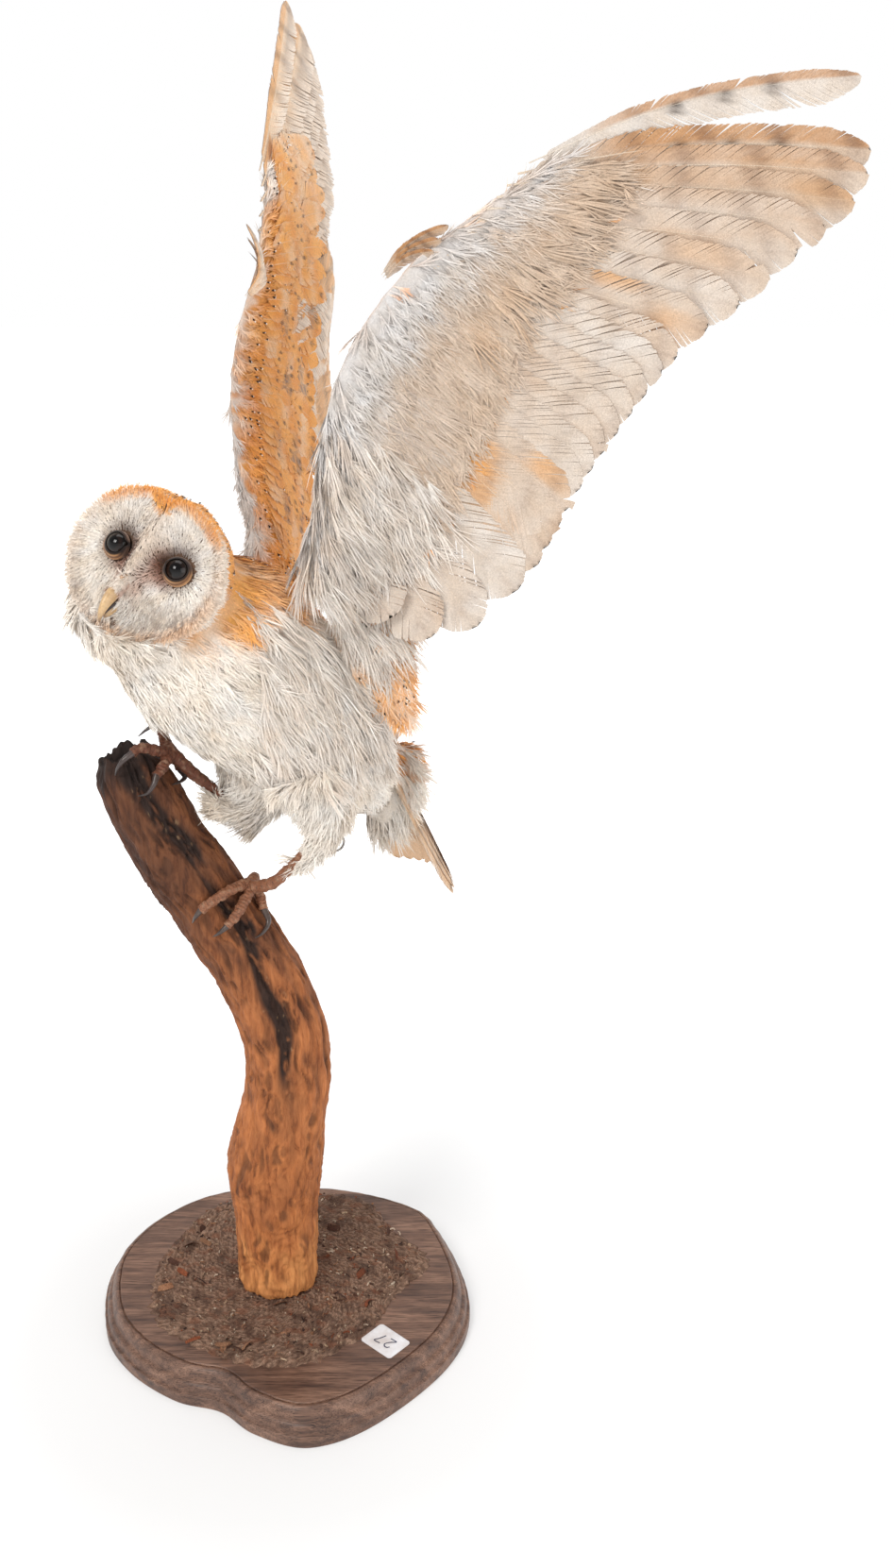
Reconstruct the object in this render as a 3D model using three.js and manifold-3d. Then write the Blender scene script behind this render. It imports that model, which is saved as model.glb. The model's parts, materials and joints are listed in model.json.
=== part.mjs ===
// Taxidermy barn owl with raised wings on a leaning log and a routed wooden plaque.
// Millimetres and degrees. +Z is up, the origin is the centre of the plaque's underside,
// +X runs to the owl's tail side and -Y is the side that the face turns to.
import * as THREE from 'three';
import Module from 'manifold-3d';

const wasm = await Module();
wasm.setup();

// ---------------------------------------------------------------- driving dimensions

const GAP = 0.3;

const PLAQUE = {
  thickness: 26,
  moulding: 13,
  centre: [0, 10],
  sides: 34,
  // angle from +X, and radius of the flat top face there
  outline: [[0, 122], [30, 124], [48, 127], [80, 119], [117, 128], [142, 133], [165, 131],
    [190, 120], [210, 110], [232, 100], [250, 93], [265, 107], [282, 121], [303, 118], [335, 119]],
  // share of the thickness, and share of the moulding's width that is cut back there
  profile: [[0, 0], [0.3, 0], [0.38, 0.16], [0.5, 0.2], [0.62, 0.44], [0.8, 0.6], [0.93, 0.82], [1, 1]],
};

const GROUNDWORK = {
  centre: [0, 22],
  thickness: 3.2,
  sides: 22,
  outline: [[8, 105], [35, 92], [62, 104], [95, 98], [130, 106], [170, 100], [205, 104],
    [228, 98], [262, 98], [288, 96], [316, 88], [345, 86]],
};

const LABEL = { width: 21.6, length: 28.8, thickness: 0.6, corner: 2.5, centre: [74.8, -50.5], turn: 48 };

const LOG = {
  sides: 14,
  rings: 18,
  // x, y, z of the heart of the log, and its diameter there
  stations: [
    [-7, 17, 30, 60], [-7, 16, 58, 60], [-7, 14, 92, 63], [-5, 12, 128, 67], [0, 10, 160, 64],
    [5, 9, 190, 62], [7, 8, 214, 60], [6, 7, 238, 60], [-1, 6, 264, 59], [-13, 5, 293, 57.5],
    [-29, 5, 321, 56], [-45, 5, 348, 54.5], [-62, 5, 375, 53], [-75, 5, 402, 52], [-84, 5, 424, 49],
    [-90, 5, 442, 44],
  ],
  raggedTop: 5,
  raggedFoot: 3,
};

const BIRD = { position: [14, 2, 480], yaw: 212 };

// stations along the trunk, rump to throat: forward, up, half width, half depth
const TRUNK = {
  sides: 16,
  stations: [[-70, -82, 8, 8], [-64, -76, 22, 19], [-50, -60, 38, 34], [-30, -36, 50, 48],
    [-6, -8, 57, 57], [26, 22, 58, 61], [54, 47, 55, 60], [74, 66, 46, 50], [84, 80, 28, 28]],
};
const NECK = { centre: [84, 2, 66], radii: [48, 46, 42], pitch: -24, columns: 14, rows: 7 };

const HEAD = {
  position: [74.5, 4, 87.5],
  yaw: 45,
  pitch: -20.6,
  roll: -19.9,
  sides: 20,
  // clock angle from the crown, and radius of the face there
  outline: [[0, 37], [25, 41], [55, 44], [90, 45.5], [120, 45], [150, 43], [180, 42]],
  rimForward: 25,
  faceRows: [0.18, 0.38, 0.58, 0.78, 0.95],
  // share of the face's radius and forward place, from the rim round the skull to the nape
  skullRows: [[1.02, 22], [1.01, 8], [0.92, -9], [0.76, -24], [0.52, -33], [0.24, -38]],
};
const EYE = { radius: 7.6, forward: 24, apart: 39, up: 4, columns: 12, rows: 7 };
const BILL_UPPER = [[37, -12, 4.8], [45.5, -20, 4.8], [50, -27, 3.9], [51, -33, 2.5], [49, -39, 0.7]];
const BILL_LOWER = [[36, -22, 4.4], [42, -28, 3.6], [46, -32.5, 2.2], [47.2, -34.5, 1]];

// The two wings share their bones and feathers. Each has its own shoulder and joint angles.
const WING = {
  humerus: 84.4,
  ulna: 92,
  hand: 67.7,
  primaryLengths: [142, 150, 160, 169, 178, 186, 196, 197, 192],
  outerPrimaryLength: 182,
  primaryFan: [0, 0.21, 0.35, 0.48, 0.62, 0.72, 0.82, 0.92, 1],
  // angle from the hand to the outermost primaries, and where the innermost one springs from
  primaryLag: 30.6,
  innerPrimaryRoot: [5, -17],
  secondaryCount: 11,
  secondaryLength: [139, 122],
  secondaryTurn: [-96.6, -118.3],
  // how far the secondaries spring behind the ulna, at the wrist and at the elbow
  secondarySetBack: [18, 7],
  wristGap: 4.4,
  tertials: [[0.82, 122, -46], [0.6, 117, -53], [0.36, 98, -57], [0.1, 66, -50]],
  spreadHumerus: 58.6,
  shaftBow: 10,
  covertShare: 0.44,
  sheet: { thickness: 1, rows: [0.14, 0.58, 1], notch: 0.055, ridge: 0.7, inset: 0.05 },
  blade: { thickness: 1.8, outerWidth: 17, alulaWidth: 11, alulaLength: 44 },
  archHeight: 8,
  // span of the bulge below the arm, as a multiple of the wrist's distance
  bulgeReach: 1.3,
};
const LEFT_WING = {
  name: 'left', side: 1, thumb: [-28, -20], shoulder: [-2, 45, 111], turn: 153.7, lean: 0, twist: 0, bend: 0,
  humerusAngle: 58.6, ulnaAngle: 72.9, handAngle: 34.2, outerSpread: 10, bow: 22, belly: 0, tipBend: 5,
};
const RIGHT_WING = {
  name: 'right', side: -1, thumb: [-2, -12], shoulder: [-5, -42, 90], turn: 216.2, lean: 6.5, twist: -7.9, bend: 25,
  humerusAngle: 64, ulnaAngle: 112, handAngle: 63, outerSpread: 4, bow: 10, belly: 20.5, tipBend: 9.5,
};

// spine of the shoulder feathers from the joint backwards: x, y, half width, thickness
const SCAPULAR = {
  spine: [[-2, 14, 10, 5], [12, -14, 17, 8], [26, -44, 20, 8], [38, -74, 19, 6.5], [46, -98, 13, 4.5], [50, -112, 5, 2]],
  section: [[1, 0.2], [0.5, 0.9], [-0.5, 0.9], [-1, 0.2], [-1, -0.2], [-0.5, -0.9], [0.5, -0.9], [1, -0.2]],
  depth: -9,
};

const TAIL = {
  root: [-68, 0, -34], tip: [-119, 0, -144], feathers: 12, rootWidth: 28, tipWidth: 80, arch: 14,
  thickness: 1.2, rows: [0.02, 0.5, 1], scallop: 0.06,
};
const TAIL_COVERTS = { centre: [-78, 0, -72], radii: [34, 26, 14], pitch: 66, columns: 10, rows: 6 };

// Each foot: leg points in the bird's own frame, then toes as [along the log, clock angle, lift].
const LEFT_LEG = {
  name: 'left',
  thigh: [[0, 24, -34, 32], [-10, 28, -58, 27], [-12, 30, -77, 20], [-5, 28, -94, 11], [4, 22, -105, 5]],
  shank: [[-3, 28, -92, 3], [8.6, 18, -109.4, 3.1], [16.3, 6.3, -121.9, 3.5]],
  joint: [318, 74, 5],
  toes: {
    outer: [[[322, 70, 4.5], [326.5, 41, 3.8], [327.5, 17, 3.6], [327, 5, 3.4]], [[327, 5, 3.6], [324.5, -6, 4], [321, -18, 0.9]]],
    middle: [[[316, 66, 4.5], [312.5, 45, 3.6], [310, 31, 3.6], [308.5, 19, 3.4]], [[308.5, 19, 3.6], [307.5, 8, 3.8], [306.5, -4, 0.9]]],
    inner: [[[313, 84, 5], [305, 79, 3.8], [300, 73, 3.4]], [[300, 73, 3.6], [292, 66, 4], [289, 52, 2.4], [289.5, 40, 0.8]]],
    hind: [[[318, 98, 5], [315, 116, 3.8], [313, 132, 3.4]], [[313, 132, 3.6], [311, 144, 4], [309, 155, 0.9]]],
  },
};
const RIGHT_LEG = {
  name: 'right',
  thigh: [[4, -26, -34, 32], [4, -31, -58, 28], [8, -33, -78, 23], [19, -33, -84, 15], [33, -35, -68, 6]],
  shank: [[20, -33, -81, 3.3], [37.5, -36, -63, 3.4], [47.4, -37.5, -53.5, 4]],
  joint: [427, 92, 6],
  toes: {
    outer: [[[433, 104, 5], [441, 98, 7], [447, 92, 12], [449, 82, 14]], [[449, 82, 14], [451, 68, 15], [450, 54, 11], [447, 47, 4]]],
    middle: [[[431, 74, 4.5], [437, 55, 4], [440, 40, 3.8], [439, 30, 3.6]], [[439, 30, 3.8], [437, 14, 4.6], [433, 2, 3], [429, -6, 0.9]]],
    inner: [[[424, 70, 4.5], [421, 58, 3.6], [419, 47, 3.4]], [[419, 47, 3.6], [415, 38, 4.2], [411.5, 26, 3], [412, 13, 0.9]]],
    hind: [[[419, 104, 5], [413, 107, 5], [410, 106, 4.2]], [[410, 106, 4.2], [405, 100, 4.6], [405, 84, 2.6], [407, 68, 0.9]]],
  },
};
const TOE_RADII = [3.4, 2.6];
const CLAW_RADII = [2.2, 0.5];
const FOOT_BALL = [4.6, 3.6];

const HOOK = { start: [-26, 8, -90], radius: 5.5, wire: 0.8, turn: 250 };

// ---------------------------------------------------------------- materials

const finish = (color, roughness, metalness = 0) => new THREE.MeshStandardMaterial({ color, roughness, metalness });
const MATERIALS = {
  whitePlumage: finish(0xf1e8dc, 0.9),
  goldPlumage: finish(0xd59a4e, 0.85),
  flightFeather: finish(0xe6d2b4, 0.75),
  eye: finish(0x120b08, 0.08),
  horn: finish(0xc9a877, 0.4),
  skin: finish(0x7a4a2a, 0.7),
  claw: finish(0x2a1b14, 0.35),
  barkWood: finish(0x7c4f2c, 0.8),
  plaqueWood: finish(0x5b4334, 0.55),
  peat: finish(0x5f4335, 0.95),
  paper: finish(0xf4f3ef, 0.7),
  wire: finish(0x77736f, 0.35, 0.9),
};

// ---------------------------------------------------------------- solids

const radians = THREE.MathUtils.degToRad;
const vector = (...xyz) => new THREE.Vector3(...xyz);
const lerp = THREE.MathUtils.lerp;

/** A closed solid from corner points and triangles, turned so that its faces point outwards. */
function solidFrom(points, triangles) {
  let volume = 0;
  for (const [a, b, c] of triangles) volume += points[a].dot(points[b].clone().cross(points[c]));
  const facing = volume > 0 ? triangles : triangles.map(([a, b, c]) => [a, c, b]);
  const vertProperties = new Float32Array(points.flatMap((p) => p.toArray()));
  const solid = new wasm.Mesh({ numProp: 3, vertProperties, triVerts: new Uint32Array(facing.flat()) });
  return new wasm.Manifold(solid);
}

/** A closed solid through rings of equal count; each end is closed with a fan about its middle. */
function loft(rings) {
  const count = rings[0].length;
  const middle = (ring) => ring.reduce((sum, p) => sum.add(p), vector()).divideScalar(count);
  const points = [...rings.flat(), middle(rings[0]), middle(rings.at(-1))];
  const [firstHub, lastHub] = [points.length - 2, points.length - 1];
  const lastRing = (rings.length - 1) * count;
  const triangles = [];
  for (let i = 0; i < count; i += 1) {
    const next = (i + 1) % count;
    for (let ring = 0; ring < lastRing; ring += count) {
      triangles.push([ring + i, ring + next, ring + i + count]);
      triangles.push([ring + next, ring + next + count, ring + i + count]);
    }
    triangles.push([firstHub, next, i], [lastHub, lastRing + i, lastRing + next]);
  }
  return solidFrom(points, triangles);
}

/** A thin closed sheet between two faces, each a list of columns with equally many points. */
function thinSheet(upper, lower) {
  const rows = upper[0].length;
  const back = upper.length * rows;
  const triangles = [];
  const quad = (a, b, c, d) => triangles.push([a, b, c], [a, c, d]);
  for (let column = 0; column < upper.length - 1; column += 1) {
    const root = column * rows;
    const tip = root + rows - 1;
    for (let a = root; a < tip; a += 1) {
      quad(a, a + rows, a + rows + 1, a + 1);
      quad(back + a, back + a + 1, back + a + rows + 1, back + a + rows);
    }
    quad(root, back + root, back + root + rows, root + rows);
    quad(tip, tip + rows, back + tip + rows, back + tip);
  }
  const last = back - rows;
  for (let r = 0; r < rows - 1; r += 1) {
    quad(r, r + 1, back + r + 1, back + r);
    quad(last + r, back + last + r, back + last + r + 1, last + r + 1);
  }
  return solidFrom([...upper, ...lower].flat(), triangles);
}

/** A closed curve through polar points, as equally spaced 2-D points. */
function polarOutline(centre, outline, count, add = 0) {
  const knots = outline.map(([angle, radius]) => vector(
    centre[0] + (radius + add) * Math.cos(radians(angle)), centre[1] + (radius + add) * Math.sin(radians(angle)), 0,
  ));
  return new THREE.CatmullRomCurve3(knots, true, 'catmullrom', 0.5).getSpacedPoints(count).slice(0, count);
}

/** A tube of changing radius along a smooth curve, in any frame. */
function tube(points, radii, { sides = 7, steps = 8, grow = 0 } = {}) {
  const curve = new THREE.CatmullRomCurve3(points);
  const frames = curve.computeFrenetFrames(steps, false);
  const rings = [];
  for (let step = 0; step <= steps; step += 1) {
    const share = step / steps;
    const at = curve.getPointAt(share);
    const place = share * (radii.length - 1);
    const low = Math.min(Math.floor(place), radii.length - 2);
    const radius = lerp(radii[low], radii[low + 1], place - low) + grow;
    const stretch = grow * (step === 0 ? -1 : step === steps ? 1 : 0);
    at.addScaledVector(frames.tangents[step], stretch);
    rings.push(Array.from({ length: sides }, (_, i) => {
      const angle = (2 * Math.PI * i) / sides;
      return at.clone()
        .addScaledVector(frames.normals[step], radius * Math.cos(angle))
        .addScaledVector(frames.binormals[step], radius * Math.sin(angle));
    }));
  }
  return loft(rings);
}

/** The largest body of a solid, so that a cut leaves no crumbs. */
function largest(solid) {
  const bodies = solid.decompose();
  return bodies.reduce((best, body) => (body.volume() > best.volume() ? body : best));
}

/** A piece cut clear of its neighbours. Every piece is a function of how far it is grown outwards. */
function carve(make, ...neighbours) {
  return largest(neighbours.reduce((solid, other) => solid.subtract(other(GAP)), make(0)));
}

// ---------------------------------------------------------------- scene graph helpers

const model = new THREE.Group();

/** A group at a place and turn inside another; Euler order is named so that turns read plainly. */
function subGroup(parent, position, turns, order) {
  const made = new THREE.Group();
  made.position.set(...position);
  made.rotation.set(...turns.map(radians), order);
  parent.add(made);
  model.updateMatrixWorld(true);
  return made;
}

/** A solid made in a group's own frame, carried into the frame of the whole model. */
const carry = (solid, group) => solid.transform(group.matrixWorld.elements);

/** Hang a solid, given in the frame of the whole model, on a group as a named mesh. */
function place(group, name, solid, material) {
  const { vertProperties, triVerts, numProp } = solid.getMesh();
  const inverse = group.matrixWorld.clone().invert();
  const positions = new Float32Array((vertProperties.length / numProp) * 3);
  for (let i = 0; i < vertProperties.length / numProp; i += 1) {
    const start = i * numProp;
    vector(vertProperties[start], vertProperties[start + 1], vertProperties[start + 2])
      .applyMatrix4(inverse).toArray(positions, i * 3);
  }
  const geometry = new THREE.BufferGeometry();
  geometry.setAttribute('position', new THREE.BufferAttribute(positions, 3));
  geometry.setIndex(new THREE.BufferAttribute(new Uint32Array(triVerts), 1));
  geometry.computeVertexNormals();
  const mesh = new THREE.Mesh(geometry, material);
  mesh.name = name;
  group.add(mesh);
}

// ---------------------------------------------------------------- plaque, groundwork and label

function makePlaque() {
  return loft(PLAQUE.profile.map(([height, cut]) => polarOutline(
    PLAQUE.centre, PLAQUE.outline, PLAQUE.sides, PLAQUE.moulding * (1 - cut),
  ).map((p) => p.setZ(height * PLAQUE.thickness))));
}

function makeGroundwork() {
  const floor = PLAQUE.thickness;
  const ring = (add, height) => polarOutline(GROUNDWORK.centre, GROUNDWORK.outline, GROUNDWORK.sides, add)
    .map((p, i) => p.setZ(floor + height * (1 + 0.2 * Math.sin(2.4 * i))));
  const base = ring(0, 0).map((p) => p.setZ(floor));
  return loft([base, ring(-1, GROUNDWORK.thickness * 0.5), ring(-8, GROUNDWORK.thickness), ring(-45, GROUNDWORK.thickness)]);
}

function makeLabel() {
  const { width, length, thickness, corner, centre, turn } = LABEL;
  const outline = new THREE.Shape();
  const [w, l] = [width / 2, length / 2];
  outline.moveTo(w - corner, -l);
  outline.quadraticCurveTo(w, -l, w, -l + corner).lineTo(w, l - corner);
  outline.quadraticCurveTo(w, l, w - corner, l).lineTo(-w + corner, l);
  outline.quadraticCurveTo(-w, l, -w, l - corner).lineTo(-w, -l + corner);
  outline.quadraticCurveTo(-w, -l, -w + corner, -l).lineTo(w - corner, -l);
  const flat = outline.getPoints(3).slice(0, -1);
  const turned = (height) => flat.map((p) => vector(p.x, p.y, 0)
    .applyAxisAngle(vector(0, 0, 1), radians(turn)).add(vector(...centre, height)));
  return loft([turned(PLAQUE.thickness), turned(PLAQUE.thickness + thickness)]);
}

// ---------------------------------------------------------------- log

const heartwood = new THREE.CatmullRomCurve3(LOG.stations.map(([x, y, z]) => vector(x, y, z)));
const logLength = heartwood.getLength();

function logRadius(along) {
  const share = THREE.MathUtils.clamp(along / logLength, 0, 1) * (LOG.stations.length - 1);
  const low = Math.min(Math.floor(share), LOG.stations.length - 2);
  return lerp(LOG.stations[low][3], LOG.stations[low + 1][3], share - low) / 2;
}

/** A point at a distance along the log, a clock angle (0 faces -Y, 90 the upper side) and a lift off the bark. */
function onLog(along, clock, lift) {
  const share = THREE.MathUtils.clamp(along / logLength, 0, 1);
  const tangent = heartwood.getTangentAt(share);
  const beyond = along - share * logLength;
  const front = vector(0, -1, 0).addScaledVector(tangent, tangent.y).normalize();
  const upper = front.clone().cross(tangent).negate();
  const reach = logRadius(along) + lift;
  return heartwood.getPointAt(share).addScaledVector(tangent, beyond)
    .addScaledVector(front, reach * Math.cos(radians(clock)))
    .addScaledVector(upper, reach * Math.sin(radians(clock)));
}

function makeLog(grow) {
  const rings = [];
  const count = LOG.rings;
  for (let ring = 0; ring <= count; ring += 1) {
    const along = (logLength * ring) / count;
    rings.push(Array.from({ length: LOG.sides }, (_, i) => {
      const clock = (360 * i) / LOG.sides;
      const ragged = ring === count ? LOG.raggedTop * Math.sin(i * 2.3) : ring === 0 ? LOG.raggedFoot * Math.sin(i * 1.9) : 0;
      const knobbly = 0.7 * Math.sin(0.05 * along + i) + 0.5 * Math.sin(3 * i + 0.11 * along);
      return onLog(along + ragged + (ring === 0 ? -grow : ring === count ? grow : 0), clock, knobbly - 0.9 + grow);
    }));
  }
  return loft(rings);
}

// ---------------------------------------------------------------- groups

const bird = subGroup(model, BIRD.position, [0, 0, BIRD.yaw], 'XYZ');
const headGroup = subGroup(bird, HEAD.position, [HEAD.roll, HEAD.pitch, HEAD.yaw], 'ZYX');
const wingGroup = (wing) => subGroup(bird, wing.shoulder, [90 + wing.lean, 0, wing.turn], 'ZXY');
const inBird = (x, y, z) => vector(x, y, z).applyMatrix4(bird.matrixWorld);

// ---------------------------------------------------------------- trunk, neck and head

function makeTrunk(grow) {
  const { stations, sides } = TRUNK;
  const rings = stations.map(([forward, up, width, depth], index) => {
    const before = stations[Math.max(index - 1, 0)];
    const after = stations[Math.min(index + 1, stations.length - 1)];
    const along = vector(after[0] - before[0], 0, after[1] - before[1]).normalize();
    const back = vector(-along.z, 0, along.x);
    const end = index === 0 ? -grow : index === stations.length - 1 ? grow : 0;
    return Array.from({ length: sides }, (_, i) => {
      const angle = (2 * Math.PI * i) / sides;
      return vector(forward, 0, up)
        .addScaledVector(along, end)
        .addScaledVector(back, (depth + grow) * Math.cos(angle))
        .add(vector(0, (width + grow) * Math.sin(angle), 0));
    });
  });
  return carry(loft(rings), bird);
}

/** A ball stretched to three radii and pitched, in the bird's frame. */
function ellipsoid({ centre, radii, pitch = 0, columns, rows }, grow) {
  const rings = [];
  for (let row = 1; row < rows; row += 1) {
    const polar = (Math.PI * row) / rows;
    rings.push(Array.from({ length: columns }, (_, i) => {
      const around = (2 * Math.PI * i) / columns;
      return vector(
        (radii[0] + grow) * Math.cos(polar),
        (radii[1] + grow) * Math.sin(polar) * Math.cos(around),
        (radii[2] + grow) * Math.sin(polar) * Math.sin(around),
      ).applyAxisAngle(vector(0, 1, 0), radians(pitch)).add(vector(...centre));
    }));
  }
  return loft(rings);
}

const makeNeck = (grow) => carry(ellipsoid(NECK, grow), bird);

function faceRadius(clock) {
  const folded = Math.abs(((clock + 180) % 360 + 360) % 360 - 180);
  const { outline } = HEAD;
  const high = Math.max(1, outline.findIndex(([angle]) => angle >= folded));
  const [from, to] = [outline[high - 1], outline[high]];
  const share = (folded - from[0]) / (to[0] - from[0]);
  return lerp(from[1], to[1], share * share * (3 - 2 * share));
}

/** How far forward the face stands at a place on it: a dish with a central ridge and two eye hollows. */
function faceForward(y, z) {
  const ridgeTop = 30;
  const ridgeFall = THREE.MathUtils.clamp((ridgeTop - z) / 52, 0, 1);
  const belowBill = THREE.MathUtils.clamp((-z - 24) / 16, 0, 1);
  const ridge = (4 + 17 * ridgeFall * (1 - belowBill)) * Math.exp(-((y / (7 + 5 * ridgeFall)) ** 2));
  const hollow = 4 * Math.exp(-(((Math.abs(y) - EYE.apart / 2) / 11) ** 2) - ((z - EYE.up) / 12) ** 2);
  return HEAD.rimForward + 2 + ridge - hollow;
}

function makeHead(grow) {
  const ring = (share, forwardAt) => Array.from({ length: HEAD.sides }, (_, i) => {
    const clock = (360 * i) / HEAD.sides;
    const radius = faceRadius(clock) * share + grow;
    const [y, z] = [-radius * Math.sin(radians(clock)), radius * Math.cos(radians(clock))];
    return vector(forwardAt(y, z), y, z);
  });
  const rings = HEAD.faceRows.map((share) => ring(share, (y, z) => faceForward(y, z) + grow));
  for (const [share, forward] of HEAD.skullRows) {
    rings.push(ring(share, () => forward - (forward < 0 ? grow : 0)));
  }
  return carry(loft(rings), headGroup);
}

/** The open space before the face, which the neck and breast feathers leave clear. */
function makeFaceClearance() {
  const reach = [[-3, 1], [14, 1.04], [70, 1.25]];
  return carry(loft(reach.map(([forward, spread]) => Array.from({ length: HEAD.sides }, (_, i) => {
    const clock = (360 * i) / HEAD.sides;
    const radius = faceRadius(clock) * 1.02 * spread;
    return vector(HEAD.rimForward + forward, -radius * Math.sin(radians(clock)), radius * Math.cos(radians(clock)));
  }))), headGroup);
}

function makeEye(side, grow) {
  const { forward, apart, up, radius } = EYE;
  return carry(ellipsoid({ ...EYE, centre: [forward, (side * apart) / 2, up], radii: [radius, radius, radius] }, grow), headGroup);
}

function makeBill(profile, grow) {
  const points = profile.map(([forward, up]) => vector(forward, 0, up).applyMatrix4(headGroup.matrixWorld));
  return tube(points, profile.map((row) => row[2]), { sides: 8, steps: 6, grow });
}

// ---------------------------------------------------------------- wings

const polar = (length, angle) => new THREE.Vector2(length * Math.cos(radians(angle)), length * Math.sin(radians(angle)));

/** The bones, feather roots and feather tips of a wing, flat in its own plane. */
function layOut(wing) {
  const shoulder = new THREE.Vector2();
  const elbow = shoulder.clone().add(polar(WING.humerus, wing.humerusAngle));
  const wrist = elbow.clone().add(polar(WING.ulna, wing.ulnaAngle));
  const fingertip = wrist.clone().add(polar(WING.hand, wing.handAngle));
  const feather = (root, length, angle, hand, bow) => ({ root, tip: root.clone().add(polar(length, angle)), hand, bow });
  const innerAngle = wing.ulnaAngle + WING.secondaryTurn[0];
  const outerAngle = wing.handAngle - WING.primaryLag;
  const primaries = WING.primaryLengths.map((length, i) => {
    const share = i / WING.primaryLengths.length;
    const root = wrist.clone().lerp(fingertip, share)
      .addScaledVector(new THREE.Vector2(...WING.innerPrimaryRoot), 1 - share);
    return feather(root, length, lerp(innerAngle + WING.wristGap, outerAngle, WING.primaryFan[i]), 1, WING.shaftBow * share);
  });
  const outer = feather(fingertip.clone(), WING.outerPrimaryLength, outerAngle + wing.outerSpread, 1, WING.shaftBow);
  const secondaries = Array.from({ length: WING.secondaryCount }, (_, i) => {
    const share = i / (WING.secondaryCount - 1);
    const root = wrist.clone().lerp(elbow, share).add(new THREE.Vector2(3, -lerp(...WING.secondarySetBack, share)));
    const length = lerp(...WING.secondaryLength, share) - 6 * Math.sin(Math.PI * share);
    return feather(root, length, wing.ulnaAngle + lerp(...WING.secondaryTurn, share), Math.max(0, 0.8 - 0.27 * i), 0);
  });
  const tertials = WING.tertials.map(([share, length, angle]) => feather(
    shoulder.clone().lerp(elbow, share).add(new THREE.Vector2(0, -8)), length, angle + wing.humerusAngle - WING.spreadHumerus, 0, 0,
  ));
  return { shoulder, elbow, wrist, fingertip, primaries, outer, secondaries, tertials };
}

/** A point of the flat layout in the wing's own frame: the arm bulges below, the hand is bent and twisted. */
function lift(wing, plan, point, height, hand) {
  const fromWrist = point.clone().sub(plan.wrist);
  const handAxis = polar(1, wing.handAngle);
  const bent = Math.max(fromWrist.dot(handAxis), 0) * Math.sin(radians(wing.bend));
  const twisted = fromWrist.cross(handAxis) * Math.sin(radians(wing.twist));
  const spanShare = THREE.MathUtils.clamp(point.y / (WING.bulgeReach * plan.wrist.y), 0, 1);
  const bulge = wing.belly * Math.sin(Math.PI * spanShare);
  return vector(point.x, point.y, wing.side * (height + bulge + hand * (bent + twisted)));
}

/** How far a feather stands below the wing's plane: arched up along its length, with the tip bent down. */
const camber = (wing, share) => wing.tipBend * share * share - WING.archHeight * Math.sin(Math.PI * share) * (1 - share * 0.3);

/** A line of the wing between two feathers. */
const between = (a, b, share = 0.5) => ({
  root: a.root.clone().lerp(b.root, share),
  tip: a.tip.clone().lerp(b.tip, share),
  bow: lerp(a.bow, b.bow, share),
  hand: lerp(a.hand, b.hand, share),
});

/** One sheet of overlapping flight feathers, ridged along the shafts, with a scalloped edge. */
function makeFeatherSheet(wing, plan, feathers, edges) {
  const { rows, notch, ridge, inset } = WING.sheet;
  const beyond = (a, b) => ({ ...between(a, b, -0.7), hand: a.hand });
  const first = edges[0] ?? beyond(feathers[0], feathers[1]);
  const last = edges[1] ?? beyond(feathers.at(-1), feathers.at(-2));
  const columns = [{ ...between(first, feathers[0], inset), notch, ridge: -ridge }];
  feathers.forEach((feather, i) => {
    const after = i < feathers.length - 1 ? between(feather, feathers[i + 1]) : between(last, feather, inset);
    columns.push({ ...feather, notch: 0, ridge }, { ...after, notch, ridge: -ridge });
  });
  const face = (thickness) => columns.map((column) => rows.map((share) => {
    const reach = share * (1 - (share === 1 ? column.notch : 0));
    const along = column.tip.clone().sub(column.root);
    const bow = new THREE.Vector2(-along.y, along.x).normalize().multiplyScalar(column.bow * Math.sin(Math.PI * reach));
    const height = thickness + camber(wing, share) + column.ridge * share;
    return lift(wing, plan, column.root.clone().addScaledVector(along, reach).add(bow), height, column.hand);
  }));
  return thinSheet(face(WING.sheet.thickness / 2), face(-WING.sheet.thickness / 2));
}

/** One separate long feather: a flat blade with a rounded tip, bowed towards its leading edge. */
function makeBlade(wing, plan, feather, width, grow) {
  const along = feather.tip.clone().sub(feather.root);
  const across = new THREE.Vector2(-along.y, along.x).normalize();
  const shape = [[0, 0.28], [0.14, 0.5], [0.35, 0.9], [0.62, 1], [0.84, 0.86], [0.96, 0.5], [1, 0.12]];
  const half = WING.blade.thickness / 2 + grow;
  const rings = shape.map(([share, wide], index) => {
    const shaft = feather.root.clone().addScaledVector(along, share).addScaledVector(across, feather.bow * Math.sin(Math.PI * share));
    if (index === 0) shaft.addScaledVector(along, -grow / along.length());
    if (index === shape.length - 1) shaft.addScaledVector(along, grow / along.length());
    const height = camber(wing, share);
    return [[1, 1], [1, -1], [-1, -1], [-1, 1]].map(([sideways, face]) => lift(
      wing, plan, shaft.clone().addScaledVector(across, sideways * (wide * width / 2 + grow)), height + face * half, feather.hand,
    ));
  });
  return loft(rings);
}

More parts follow.
